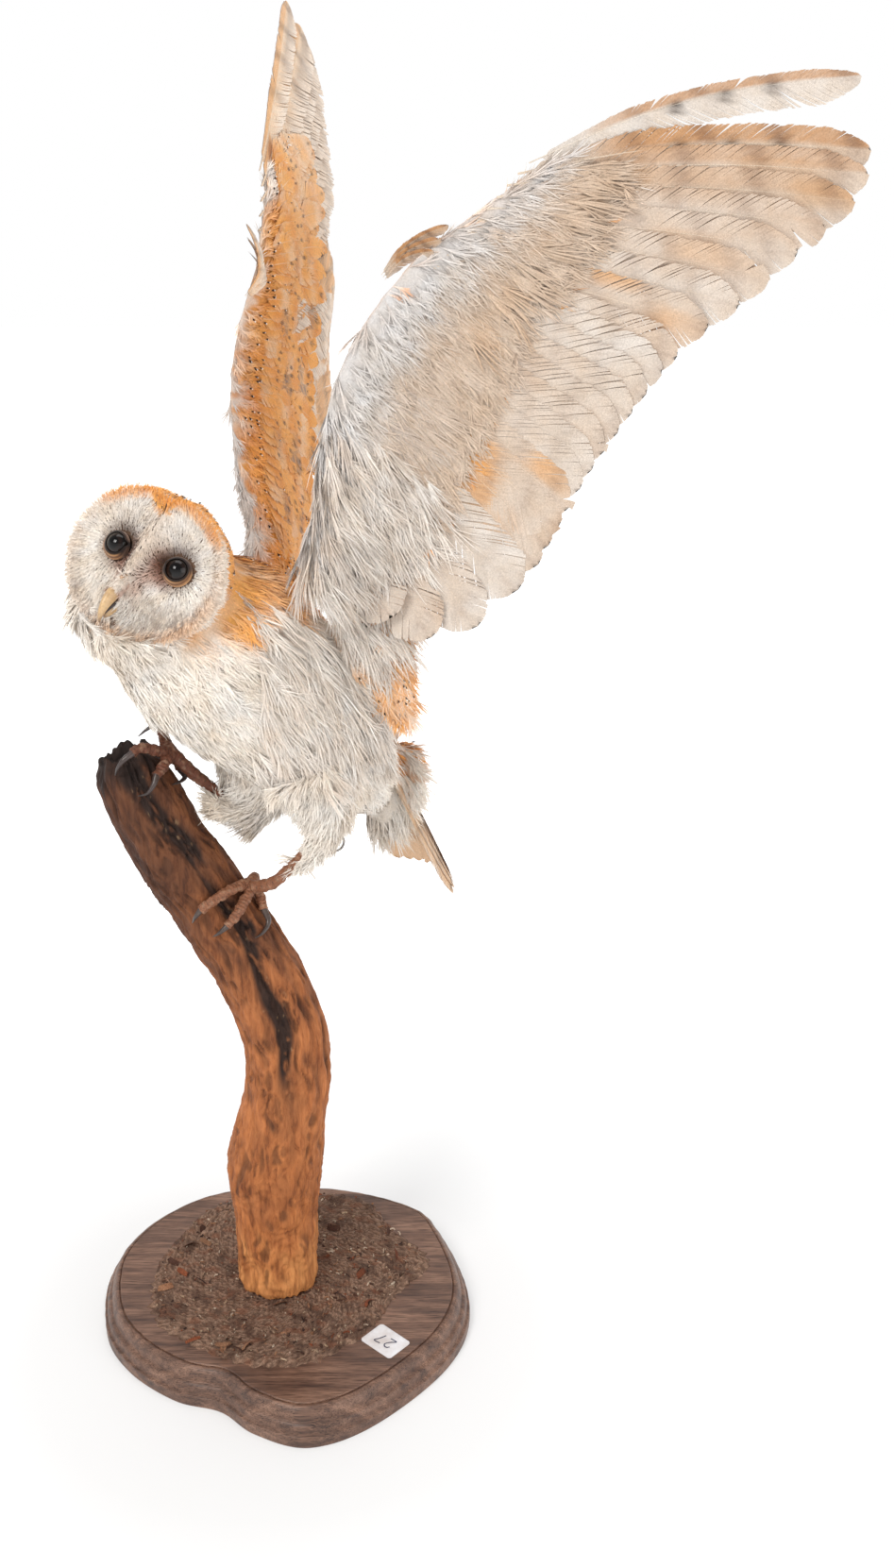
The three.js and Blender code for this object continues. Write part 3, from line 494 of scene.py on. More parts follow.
class Nodes:
    """A short hand for building one node material."""

    def __init__(self, name: str) -> None:
        """Start an empty node material with a Principled shader.

        Args:
            name: name of the material.
        """
        self.material = bpy.data.materials.new(name)
        self.material.use_nodes = True
        self.tree = self.material.node_tree
        self.shader = self.tree.nodes["Principled BSDF"]

    def add(self, kind: str, **values: object) -> bpy.types.Node:
        """Add a node and set properties (lower case) or inputs (by socket name, spaces as double underscores).

        Args:
            kind: node type without the ShaderNode prefix.
            **values: property or socket values; a socket value may be another socket.

        Returns:
            The node.
        """
        node = self.tree.nodes.new("ShaderNode" + kind)
        for key, value in values.items():
            if key.islower() and hasattr(node, key):
                setattr(node, key, value)
        for key, value in values.items():
            if not (key.islower() and hasattr(node, key)):
                self.plug(value, node.inputs[key.replace("__", " ")])
        return node

    def plug(self, value: object, socket: bpy.types.NodeSocket) -> None:
        """Link a socket to an input, or set the input's value.

        Args:
            value: a socket, or the value itself.
            socket: the input.
        """
        if isinstance(value, bpy.types.NodeSocket):
            self.tree.links.new(value, socket)
        else:
            socket.default_value = value

    def ramp(self, share: bpy.types.NodeSocket, stops: Sequence[tuple[float, Colour]]) -> bpy.types.NodeSocket:
        """A colour ramp over display colours from 0 to 255.

        Args:
            share: the value that runs along the ramp.
            stops: place and display colour of each stop.

        Returns:
            The colour socket.
        """
        node = self.add("ValToRGB", Fac=share)
        elements = node.color_ramp.elements
        while len(elements) < len(stops):
            elements.new(0.5)
        for element, (at, colour) in zip(elements, stops):
            element.position = at
            element.color = (*linear(colour), 1.0)
        return node.outputs["Color"]

    def tone(self) -> bpy.types.NodeSocket:
        """The colour that a piece's points carry."""
        return self.add("Attribute", attribute_name="tone").outputs["Color"]

    def times(self, a: object, b: object) -> bpy.types.NodeSocket:
        """Two colours multiplied."""
        return self.mix(1.0, a, b, "MULTIPLY")

    def scaled(self, a: object, factor: float, plus: object) -> bpy.types.NodeSocket:
        """A value times a factor, plus a number or another value."""
        return self.maths("ADD", self.maths("MULTIPLY", a, factor), plus)

    def maths(self, operation: str, a: object, b: object = 0.0) -> bpy.types.NodeSocket:
        """One step of arithmetic on sockets or numbers.

        Args:
            operation: name of the step.
            a: first number or socket.
            b: second number or socket.

        Returns:
            The result's socket.
        """
        node = self.add("Math", operation=operation)
        self.plug(a, node.inputs[0])
        self.plug(b, node.inputs[1])
        return node.outputs[0]

    def mix(self, share: object, a: object, b: object, mode: str = "MIX") -> bpy.types.NodeSocket:
        """Mix two colours; a colour is a socket or a linear triple.

        Args:
            share: mixing share, a number or a socket.
            a: colour at share 0.
            b: colour at share 1.
            mode: how the two blend.

        Returns:
            The colour socket.
        """
        node = self.add("Mix", data_type="RGBA", blend_type=mode)
        self.plug(share, node.inputs["Factor"])
        for value, socket in ((a, node.inputs[6]), (b, node.inputs[7])):
            self.plug(value if isinstance(value, bpy.types.NodeSocket) else (*value, 1.0), socket)
        return node.outputs[2]

    def noise(self, scale: float, detail: float = 4.0, stretch: Sequence[float] = (1, 1, 1),
              rough: float = 0.55,
              warp: float = 0.0) -> bpy.types.NodeSocket:
        """Noise over the object's own space, stretched along its axes.

        Args:
            scale: how fine it is, per metre.
            detail: how many finer layers it has.
            stretch: factors along the object's axes.
            rough: strength of the finer layers.
            warp: how far it is stirred.

        Returns:
            The value's socket.
        """
        place = self.add("TexCoord").outputs["Object"]
        scaled = self.add("Mapping", Vector=place, Scale=tuple(stretch)).outputs["Vector"]
        node = self.add("TexNoise", Vector=scaled, Scale=scale, Detail=detail, Roughness=rough, Distortion=warp)
        return node.outputs["Fac"]

    def finish(self, colour: object, roughness: object, height: object = None, depth: float = 0.0005,
               strength: float = 0.6, **sockets: object) -> bpy.types.Material:
        """Plug the colour, roughness and bump into the shader.

        Args:
            colour: base colour socket or linear triple.
            roughness: roughness socket or number.
            height: bump height socket, or None.
            depth: bump distance in metres.
            strength: bump strength.
            **sockets: further shader inputs, spaces as double underscores.

        Returns:
            The material.
        """
        self.plug(colour if isinstance(colour, bpy.types.NodeSocket) else (*colour, 1.0),
                  self.shader.inputs["Base Color"])
        self.plug(roughness, self.shader.inputs["Roughness"])
        if height is not None:
            bump = self.add("Bump", Height=height, Distance=depth, Strength=strength)
            self.plug(bump.outputs["Normal"], self.shader.inputs["Normal"])
        for key, value in sockets.items():
            self.plug(value, self.shader.inputs[key.replace("__", " ")])
        return self.material


@dataclass(frozen=True)
class Plumage:
    """Soft matt feather: the stored tone with fine streaks and a bloom at grazing light."""

    name: str
    roughness: float = 0.85
    sheen: float = 0.25
    grain: float = 900.0
    contrast: float = 0.22
    glow: float = 0.0

    def make(self) -> bpy.types.Material:
        """Build the material."""
        n = Nodes(self.name)
        tone = n.tone()
        fine = n.noise(self.grain, 3.0)
        broad = n.noise(70.0, 3.0)
        shade = n.ramp(fine, [(0.25, (255 * (1 - self.contrast),) * 3), (0.75, CLEAR)])
        warm = n.ramp(broad, [(0.3, (247, 240, 232)), (0.7, CLEAR)])
        colour = n.times(n.times(tone, shade), warm)
        made = n.finish(colour, self.roughness, fine, 0.0002, 0.35, Sheen__Weight=self.sheen,
                        Sheen__Roughness=0.5,
                        Specular__IOR__Level=0.25)
        if self.glow:
            n.plug(self.glow, n.shader.inputs["Subsurface Weight"])
            n.plug((0.002, 0.0015, 0.001), n.shader.inputs["Subsurface Radius"])
        return made


@dataclass(frozen=True)
class BarkWood:
    """Weathered, mostly barked wood: streaks along the log, darker towards the top, tan worn foot."""

    name: str

    def make(self) -> bpy.types.Material:
        """Build the material."""
        n = Nodes(self.name)
        tone = n.tone()
        streak = n.noise(260.0, 8.0, (1, 1, 0.16), 0.65, 0.6)
        flake = n.noise(75.0, 6.0, (1, 1, 0.45), 0.6, 1.2)
        fine = n.noise(1400.0, 4.0, (1, 1, 0.3), 0.7)
        shade = n.ramp(streak, [(0.32, (170, 156, 146)), (0.44, (228, 220, 212)), (0.58, CLEAR)])
        patch = n.ramp(flake, [(0.3, (206, 192, 184)), (0.45, (240, 236, 232)), (0.6, (255, 252, 248))])
        colour = n.times(n.times(tone, shade), patch)
        height = n.scaled(fine, 0.25, streak)
        rough = n.scaled(flake, -0.3, 0.9)
        return n.finish(colour, rough, height, 0.0016, 0.9, Specular__IOR__Level=0.35)


@dataclass(frozen=True)
class WaxedWood:
    """Stained hardwood with long grain along X and a thin wax."""

    name: str
    dark: Colour = (76, 53, 43)
    middle: Colour = (122, 90, 73)
    light: Colour = (156, 120, 99)

    def make(self) -> bpy.types.Material:
        """Build the material."""
        n = Nodes(self.name)
        grain = n.noise(330.0, 7.0, (0.05, 1, 1), 0.62, 0.5)
        figure = n.noise(62.0, 4.0, (0.09, 1, 1), 0.5, 1.0)
        pores = n.noise(2400.0, 2.0, (0.035, 1, 1), 0.5)
        mixed = n.scaled(grain, 0.55, n.maths("MULTIPLY", figure, 0.45))
        colour = n.ramp(mixed, [(0.36, self.dark), (0.5, self.middle), (0.64, self.light)])
        pore = n.ramp(pores, [(0.36, (150, 140, 135)), (0.5, CLEAR)])
        dust = n.ramp(n.noise(38.0, 5.0), [(0.42, CLEAR), (0.75, (232, 226, 222))])
        colour = n.times(n.times(colour, pore), dust)
        rough = n.scaled(grain, 0.3, 0.33)
        height = n.scaled(grain, 0.6, pores)
        return n.finish(colour, rough, height, 0.00025, 0.5, Coat__Weight=0.12, Coat__Roughness=0.35)


@dataclass(frozen=True)
class Toned:
    """A matt or glossy finish that follows the stored tone with speckle and fine bump."""

    name: str
    roughness: float = 0.7
    grain: float = 700.0
    contrast: float = 0.35
    depth: float = 0.0004
    coat: float = 0.0
    specular: float = 0.4

    def make(self) -> bpy.types.Material:
        """Build the material."""
        n = Nodes(self.name)
        tone = n.tone()
        fine = n.noise(self.grain, 5.0, rough=0.65)
        broad = n.noise(self.grain * 0.14, 3.0)
        low = 255 * (1 - self.contrast)
        shade = n.ramp(fine, [(0.3, (low, low, low)), (0.66, CLEAR)])
        stain = n.ramp(broad, [(0.3, (225, 215, 208)), (0.6, CLEAR)])
        colour = n.times(n.times(tone, shade), stain)
        rough = n.scaled(fine, 0.2, self.roughness - 0.1)
        return n.finish(colour, rough, fine, self.depth, 0.7, Coat__Weight=self.coat, Coat__Roughness=0.15,
                        Specular__IOR__Level=self.specular)


@dataclass(frozen=True)
class EyeGlass:
    """Deep brown-black eye with a clear wet coat."""

    name: str

    def make(self) -> bpy.types.Material:
        """Build the material."""
        n = Nodes(self.name)
        tone = n.tone()
        cloud = n.ramp(n.noise(500.0, 3.0), [(0.3, (200, 190, 185)), (0.7, CLEAR)])
        return n.finish(n.times(tone, cloud), 0.06, None, Specular__IOR__Level=0.3)


@dataclass(frozen=True)
class DullWire:
    """Dull steel wire with faint tarnish."""

    name: str

    def make(self) -> bpy.types.Material:
        """Build the material."""
        n = Nodes(self.name)
        spot = n.noise(900.0, 4.0)
        colour = n.ramp(spot, [(0.35, (92, 86, 82)), (0.65, (158, 153, 150))])
        rough = n.scaled(spot, 0.3, 0.25)
        return n.finish(colour, rough, spot, 0.0001, 0.4, Metallic=1.0)


# ---------------------------------------------------------------- colours of the bird

WHITE = linear((252, 248, 243))
CREAM = linear((247, 232, 211))
WARM = linear((232, 212, 192))
BUFF = linear((222, 180, 138))
TAWNY = linear((205, 150, 98))
GOLD = linear((249, 180, 98))
DEEP_GOLD = linear((232, 146, 66))
RUST = linear((176, 96, 48))
SMOKE = linear((138, 120, 112))
GREY = linear((158, 142, 132))
BROWN = linear((104, 70, 52))
DARK = linear((40, 28, 24))
EAR_BROWN = linear((120, 92, 74))
COOL_ARM = linear((200, 199, 202))
# painted shade: the next three underside colours of the arm and coverts are darkened (0.86, 0.88, 0.82) to stand
# for the shade on the wing's underside.
SHADED_TAN_ARM = tint(WARM, BUFF, 0.2) * 0.86
SHADED_COOL_COVERT = linear((216, 214, 214)) * 0.88
SHADED_TAN_COVERT = tint(WARM, BUFF, 0.25) * 0.82


# ---------------------------------------------------------------- wings


@dataclass(frozen=True)
class WingPose:
    """Where one wing stands and how its joints are opened, angles in degrees."""

    name: str
    side: int
    shoulder: tuple[float, float, float]
    turn: float
    lean: float
    twist: float
    bend: float
    humerus_angle: float
    ulna_angle: float
    hand_angle: float
    outer_spread: float
    bow: float
    belly: float
    tip_bend: float
    thumb: tuple[float, float]


LEFT_POSE = WingPose("left", 1, (-2, 45, 111), 153.7, 0, 0, 0, 58.6, 72.9, 34.2, 10, 22, 0, 5, (-28, -20))
RIGHT_POSE = WingPose("right", -1, (-5, -42, 90), 216.2, 6.5, -7.9, 25, 64, 112, 63, 4, 10, 20.5, 9.5,
                      (-2, -12))


@dataclass(frozen=True)
class Quill:
    """One feather's shaft in the flat layout of its wing."""

    root: Array
    tip: Array
    hand: float = 0.0
    bow: float = 0.0


def toward(length: float, angle: float) -> Array:
    """A flat vector of a length at an angle in degrees."""
    return np.array([length * math.cos(math.radians(angle)), length * math.sin(math.radians(angle))])


@dataclass
class Wing:
    """The bones and feathers of one wing, laid out flat and then lifted into place."""

    pose: WingPose
    humerus: float = 84.4
    ulna: float = 92.0
    hand: float = 67.7
    primary_lengths: tuple[float, ...] = (142, 150, 160, 169, 178, 186, 196, 197, 192)
    outer_length: float = 182.0
    primary_fan: tuple[float, ...] = (0, 0.21, 0.35, 0.48, 0.62, 0.72, 0.82, 0.92, 1)
    primary_lag: float = 30.6
    secondary_count: int = 11
    secondary_length: tuple[float, float] = (139, 122)
    secondary_turn: tuple[float, float] = (-96.6, -118.3)
    secondary_set_back: tuple[float, float] = (18, 7)
    wrist_gap: float = 4.4
    tertial_plan: tuple[tuple[float, float, float], ...] = ((0.82, 122, -46), (0.6, 117, -53),
                                                            (0.36, 98, -57), (0.1, 66, -50))
    spread_humerus: float = 58.6
    shaft_bow: float = 10.0
    station_count: int = 160
    arch_height: float = 8.0
    bulge_reach: float = 1.3

    def __post_init__(self) -> None:
        """Lay out bones, quills and the outline of the feathered arm."""
        pose = self.pose
        self.frame = BIRD.inside(turned(2, pose.turn) @ turned(0, 90 + pose.lean), pose.shoulder)
        self.shoulder = np.zeros(2)
        self.elbow = toward(self.humerus, pose.humerus_angle)
        self.wrist = self.elbow + toward(self.ulna, pose.ulna_angle)
        self.fingertip = self.wrist + toward(self.hand, pose.hand_angle)
        inner = pose.ulna_angle + self.secondary_turn[0]
        outer = pose.hand_angle - self.primary_lag
        self.primaries: list[Quill] = []
        for length, fan, i in zip(self.primary_lengths, self.primary_fan, range(9)):
            root = self.wrist + (self.fingertip - self.wrist) * i / 9 + np.array([5, -17]) * (1 - i / 9)
            angle = inner + self.wrist_gap + (outer - inner - self.wrist_gap) * fan
            self.primaries.append(Quill(root, root + toward(length, angle), 1.0, self.shaft_bow * i / 9))
        self.outer = Quill(self.fingertip, self.fingertip
                           + toward(self.outer_length, outer + pose.outer_spread), 1.0,
                           self.shaft_bow)
        self.secondaries: list[Quill] = []
        for i in range(self.secondary_count):
            share = i / (self.secondary_count - 1)
            back = np.interp(share, [0, 1], self.secondary_set_back)
            root = self.wrist + (self.elbow - self.wrist) * share + np.array([3, -back])
            length = np.interp(share, [0, 1], self.secondary_length) - 6 * math.sin(math.pi * share)
            angle = pose.ulna_angle + np.interp(share, [0, 1], self.secondary_turn)
            self.secondaries.append(Quill(root, root + toward(length, angle), max(0.0, 0.8 - 0.27 * i)))
        self.tertials: list[Quill] = []
        for share, length, angle in self.tertial_plan:
            root = self.elbow * share + np.array([0, -8])
            angle += pose.humerus_angle - self.spread_humerus
            self.tertials.append(Quill(root, root + toward(length, angle)))
        self.stations = self.arm_outline()

    def arm_outline(self) -> Array:
        """Rows of front x, front y, back x, back y and hand share, from the shoulder to the fingertip."""
        bow = np.array([-0.91, 0.41]) * self.pose.bow

        def lead(share: float) -> Array:
            """A point of the arm's leading edge."""
            return self.wrist * share + bow * math.sin(math.pi * share)

        def knuckle(share: float) -> Array:
            """A point of the hand's leading edge."""
            return self.wrist + (self.fingertip - self.wrist) * share + toward(-2, self.pose.hand_angle + 90)

        def covert(quill: Quill, share: float = 0.44) -> Array:
            """Where the coverts end on a quill."""
            return quill.root + (quill.tip - quill.root) * share

        p, s, t = self.primaries, self.secondaries, self.tertials
        rows = [
            (np.array([-12, -22]), np.array([20, -38]), 0), (lead(0.06), covert(t[3], 0.7), 0),
            (lead(0.26), covert(t[2], 0.56), 0), (lead(0.46), covert(t[0], 0.5), 0),
            (lead(0.62), covert(s[8]), 0),
            (lead(0.78), covert(s[5]), 0), (lead(0.92), covert(s[2]), 0.4), (knuckle(0.08), covert(p[0]), 1),
            (knuckle(0.36), covert(p[3], 0.4), 1), (knuckle(0.68), covert(p[6], 0.34), 1),
            (knuckle(1.0), covert(p[8], 0.26), 1), (covert(self.outer, 0.08), covert(p[8], 0.3), 1),
        ]
        knots = np.array([[*front, *back, hand] for front, back, hand in rows])
        reach = reach_along(knots[:, :4].reshape(-1, 2, 2).mean(1))
        return evenly(knots, reach, np.linspace(0, reach[-1], self.station_count))

    def place(self, flat: Array, height: Array, hand: Array) -> Array:
        """Lift points of the flat layout into the model.

        Args:
            flat: points of the layout, last axis 2.
            height: distance below the wing's plane, towards its underside.
            hand: how far each point turns with the hand, 0 to 1.

        Returns:
            Points of the whole model, last axis 3.
        """
        pose = self.pose
        away = flat - self.wrist
        axis = toward(1, pose.hand_angle)
        bent = np.maximum(away @ axis, 0) * math.sin(math.radians(pose.bend))
        twisted = (away[..., 0] * axis[1] - away[..., 1] * axis[0]) * math.sin(math.radians(pose.twist))
        span = np.clip(flat[..., 1] / (self.bulge_reach * self.wrist[1]), 0, 1)
        z = pose.side * (height + pose.belly * np.sin(np.pi * span) + hand * (bent + twisted))
        return self.frame.out(np.stack([flat[..., 0], flat[..., 1], z], -1))

    def below(self) -> Array:
        """The unit vector from the wing's plane towards its underside."""
        return self.frame.turn @ np.array([0, 0, self.pose.side])

    def camber(self, share: Array) -> Array:
        """How far a quill stands below the wing's plane along its length."""
        return self.pose.tip_bend * share**2 - self.arch_height * np.sin(np.pi * share) * (1 - share * 0.3)

    def span_and_chord(self, points: Array) -> tuple[Array, Array]:
        """Where points lie on the feathered arm.

        Args:
            points: n by 3 points of the whole model.

        Returns:
            Share of the span from the shoulder, and share of the chord from the leading edge.
        """
        flat = self.frame.into(points)[:, :2]
        front, chord = self.stations[:, :2], self.stations[:, 2:4] - self.stations[:, :2]
        size = (chord**2).sum(1)
        away = flat[:, None] - front[None]
        share = np.clip((away * chord[None]).sum(2) / size, 0, 1.3)
        gap = np.linalg.norm(away - chord[None] * share[..., None], axis=2)
        best = gap.argmin(1)
        return best / (len(front) - 1), share[np.arange(len(flat)), best]


@dataclass
class Contour:
    """The surface of a few frame nodes, asked for its height over a wing's plane."""

    wing: Wing
    nodes: Sequence[bpy.types.Object]

    def __post_init__(self) -> None:
        """Join the nodes into one search tree."""
        self.tree = search_tree(*joined([(points_of(node), triangles_of(node)) for node in self.nodes]))

    def heights(self, flat: Array, hand: Array, face: int) -> Array:
        """Heights of the surface seen from one face of the wing.

        Args:
            flat: n by 2 points of the layout.
            hand: n hand shares.
            face: 1 for the underside, -1 for the upper side.

        Returns:
            n heights, not a number where nothing is there.
        """
        base = self.wing.place(flat, np.zeros(len(flat)), hand)
        below = self.wing.below()
        found = np.full(len(flat), np.nan)
        direction = Vector(-below * face)
        for i, start in enumerate(base + below * face * 60.0):
            hit = self.tree.ray_cast(Vector(start), direction, 120.0)[0]
            if hit is not None:
                found[i] = (np.array(hit) - base[i]) @ below
        return found


# ---------------------------------------------------------------- vanes


def per_feather(values: Array, like: Array) -> Array:
    """One value or vector for each feather, shaped to go with an array whose first axis is the feathers."""
    return values.reshape(values.shape[:1] + (1,) * (like.ndim - 1) + values.shape[1:])


@dataclass
class Vanes:
    """A batch of feathers: on each side of a shaft, a vane of close barbs that part here and there."""

    root: Array
    tip: Array
    hand: Array
    bow: Array
    lead: Array
    trail: Array
    barbs: int
    seed: int
    slant: float = 1.25
    ragged: float = 0.035
    splits: int = 2
    gape: float = 0.02
    blunt: float = 0.12
    shingle: float = 0.8
    groove: float = 0.05

    def profile(self, share: Array) -> Array:
        """Width of the vane along the shaft as a share of its greatest width."""
        return (0.3 + 0.7 * smooth(0.0, 0.35, share)) * np.sqrt(np.clip((1.0 - share) / self.blunt, 0.0, 1.0))

    def grow(self, weave: Weave, place: Callable[[Array, Array, Array], Array],
             height: Callable[[Array], Array],
             tone: Callable[[Array, Array], Array], unwrap: Callable[[Array], Array], layer: float) -> None:
        """Grow every barb and shaft.

        Args:
            weave: the mesh that grows.
            place: lifts (flat points, heights, hand shares) into the model.
            height: height of each feather for shares along it.
            tone: colour for (share along, share across from -1 trailing to 1 leading).
            unwrap: place on the unwrap for flat points.
            layer: distance of this layer below the feather's middle.
        """
        rng = np.random.default_rng(self.seed)
        n, j = len(self.root), self.barbs
        along = self.tip - self.root
        length = np.linalg.norm(along, axis=1)
        across = np.stack([-along[:, 1], along[:, 0]], 1) / length[:, None]
        sides = np.array([1.0, -1.0])
        width = np.stack([self.lead, self.trail], 1)[:, None, :]
        ends = np.linspace(0.05, 1.0, j + 1)[None, :, None] * np.ones((n, 1, 2))
        reach = width * self.profile(ends)
        begin = np.clip(ends - reach * self.slant / length[:, None, None], 0.015, 0.99)
        first, last, wide = (np.stack([v[:, :-1], v[:, 1:]], -1) for v in (begin, ends, reach))
        wide = wide * (1 + rng.normal(0, self.ragged, (n, j, 2, 1)))
        pull = np.zeros((n, j, 2))
        middle = last.mean(-1)
        for _ in range(self.splits):
            gap = (middle - rng.uniform(0.2, 1.0, (n, 1, 2))) / 0.06
            pull += rng.uniform(0, self.gape, (n, 1, 2)) * np.sign(gap) * np.exp(-np.abs(gap))
        t = np.array([0.0, 0.3, 0.6, 0.9, 1.0])
        s = first[..., None, :] + (last - first)[..., None, :] * (0.75 * t + 0.25 * t**2)[:, None]
        s = s + pull[..., None, None] * (t**2)[:, None]
        centre = s.mean(-1, keepdims=True)
        s = centre + (s - centre) * np.array([1.06, 1.06, 1.08, 1.06, 0.8])[:, None]
        w = wide[..., None, :] * t[:, None] * sides[:, None, None]
        lie = height(s) + layer + self.shingle * w / max(float(np.max(width)),
                                                         1e-6) + np.array([0.0, self.groove])
        points = self.lay(s, w, across, along, place, lie)
        colours = tone(s, w / width[..., None, None]) * (1 + rng.normal(0, 0.02, (n, j, 2, 1, 1, 1)))
        home = unwrap(self.flat(first.mean(-1), wide.mean(-1) * 0.12 * sides, across, along))
        patch = np.stack(np.broadcast_arrays(t[:, None] * sides[:, None, None] * 0.0015,
                                             np.array([-0.0008, 0.0008])), -1)
        self.knit(weave, points, colours, home[..., None, None, :] + patch)
        rings = 14
        s = np.broadcast_to(np.linspace(-0.02, 0.985, rings)[None, :, None], (n, rings, 3))
        thick = np.clip(self.lead.max() * 0.06, 0.15, 0.6) * (1.05 - np.linspace(0, 1, rings))[None, :, None]
        w = thick * np.array([-1.0, 0.0, 1.0]) * np.ones((n, 1, 1))
        lie = height(s) + layer * 1.2 + math.copysign(1.0, layer) * thick * np.array([0.0, 0.9, 0.0])
        pale = tint(tone(s, w * 0), CREAM, 0.35)
        self.knit(weave, self.lay(s, w, across, along, place, lie), pale,
                  unwrap(self.flat(s, w, across, along)))

    @staticmethod
    def knit(weave: Weave, points: Array, colours: Array, homes: Array) -> None:
        """Add many equal grids; the last axes but one are the rows and columns of each grid.

        Args:
            weave: the mesh that grows.
            points: corner points; the last three axes are row, column and x, y, z.
            colours: one colour per point.
            homes: places on the unwrap, which go with the points.
        """
        rows, columns = points.shape[-3:-1]
        one = grid_faces(rows, columns)
        count = points.size // (rows * columns * 3)
        each = np.arange(count)[:, None, None] * (rows * columns)
        homes = np.broadcast_to(homes, points.shape[:-1] + (2,))
        weave.add(points.reshape(-1, 3), (one[None] + each).reshape(-1, 3), colours.reshape(-1, 3),
                  homes.reshape(-1, 2))

    def flat(self, share: Array, wide: Array, across: Array, along: Array) -> Array:
        """Flat points for shares along and distances across, n by anything.

        Args:
            share: shares along the feathers, which stand on the first axis.
            wide: distances from the shaft.
            across: unit vectors across the feathers.
            along: vectors from root to tip.

        Returns:
            Points of the flat layout, last axis 2.
        """
        bowed = per_feather(self.bow, share) * np.sin(np.pi * share) + wide
        return (per_feather(self.root, share) + per_feather(along, share) * share[..., None]
                + per_feather(across, share) * bowed[..., None])

    def lay(self, share: Array, wide: Array, across: Array, along: Array, place: Callable, lie: Array) -> Array:
        """Lifted points for shares along, distances across and heights."""
        hand = np.broadcast_to(per_feather(self.hand, share), share.shape)
        return place(self.flat(share, wide, across, along), lie, hand)


def gather(quills: Sequence[Quill]) -> dict[str, Array]:
    """Quills as the arrays that a batch of vanes takes.

    Args:
        quills: the quills.

    Returns:
        The arrays by field name.
    """
    return {
        "root": np.array([q.root for q in quills], float), "tip": np.array([q.tip for q in quills], float),
        "hand": np.array([q.hand for q in quills], float), "bow": np.array([q.bow for q in quills], float),
    }


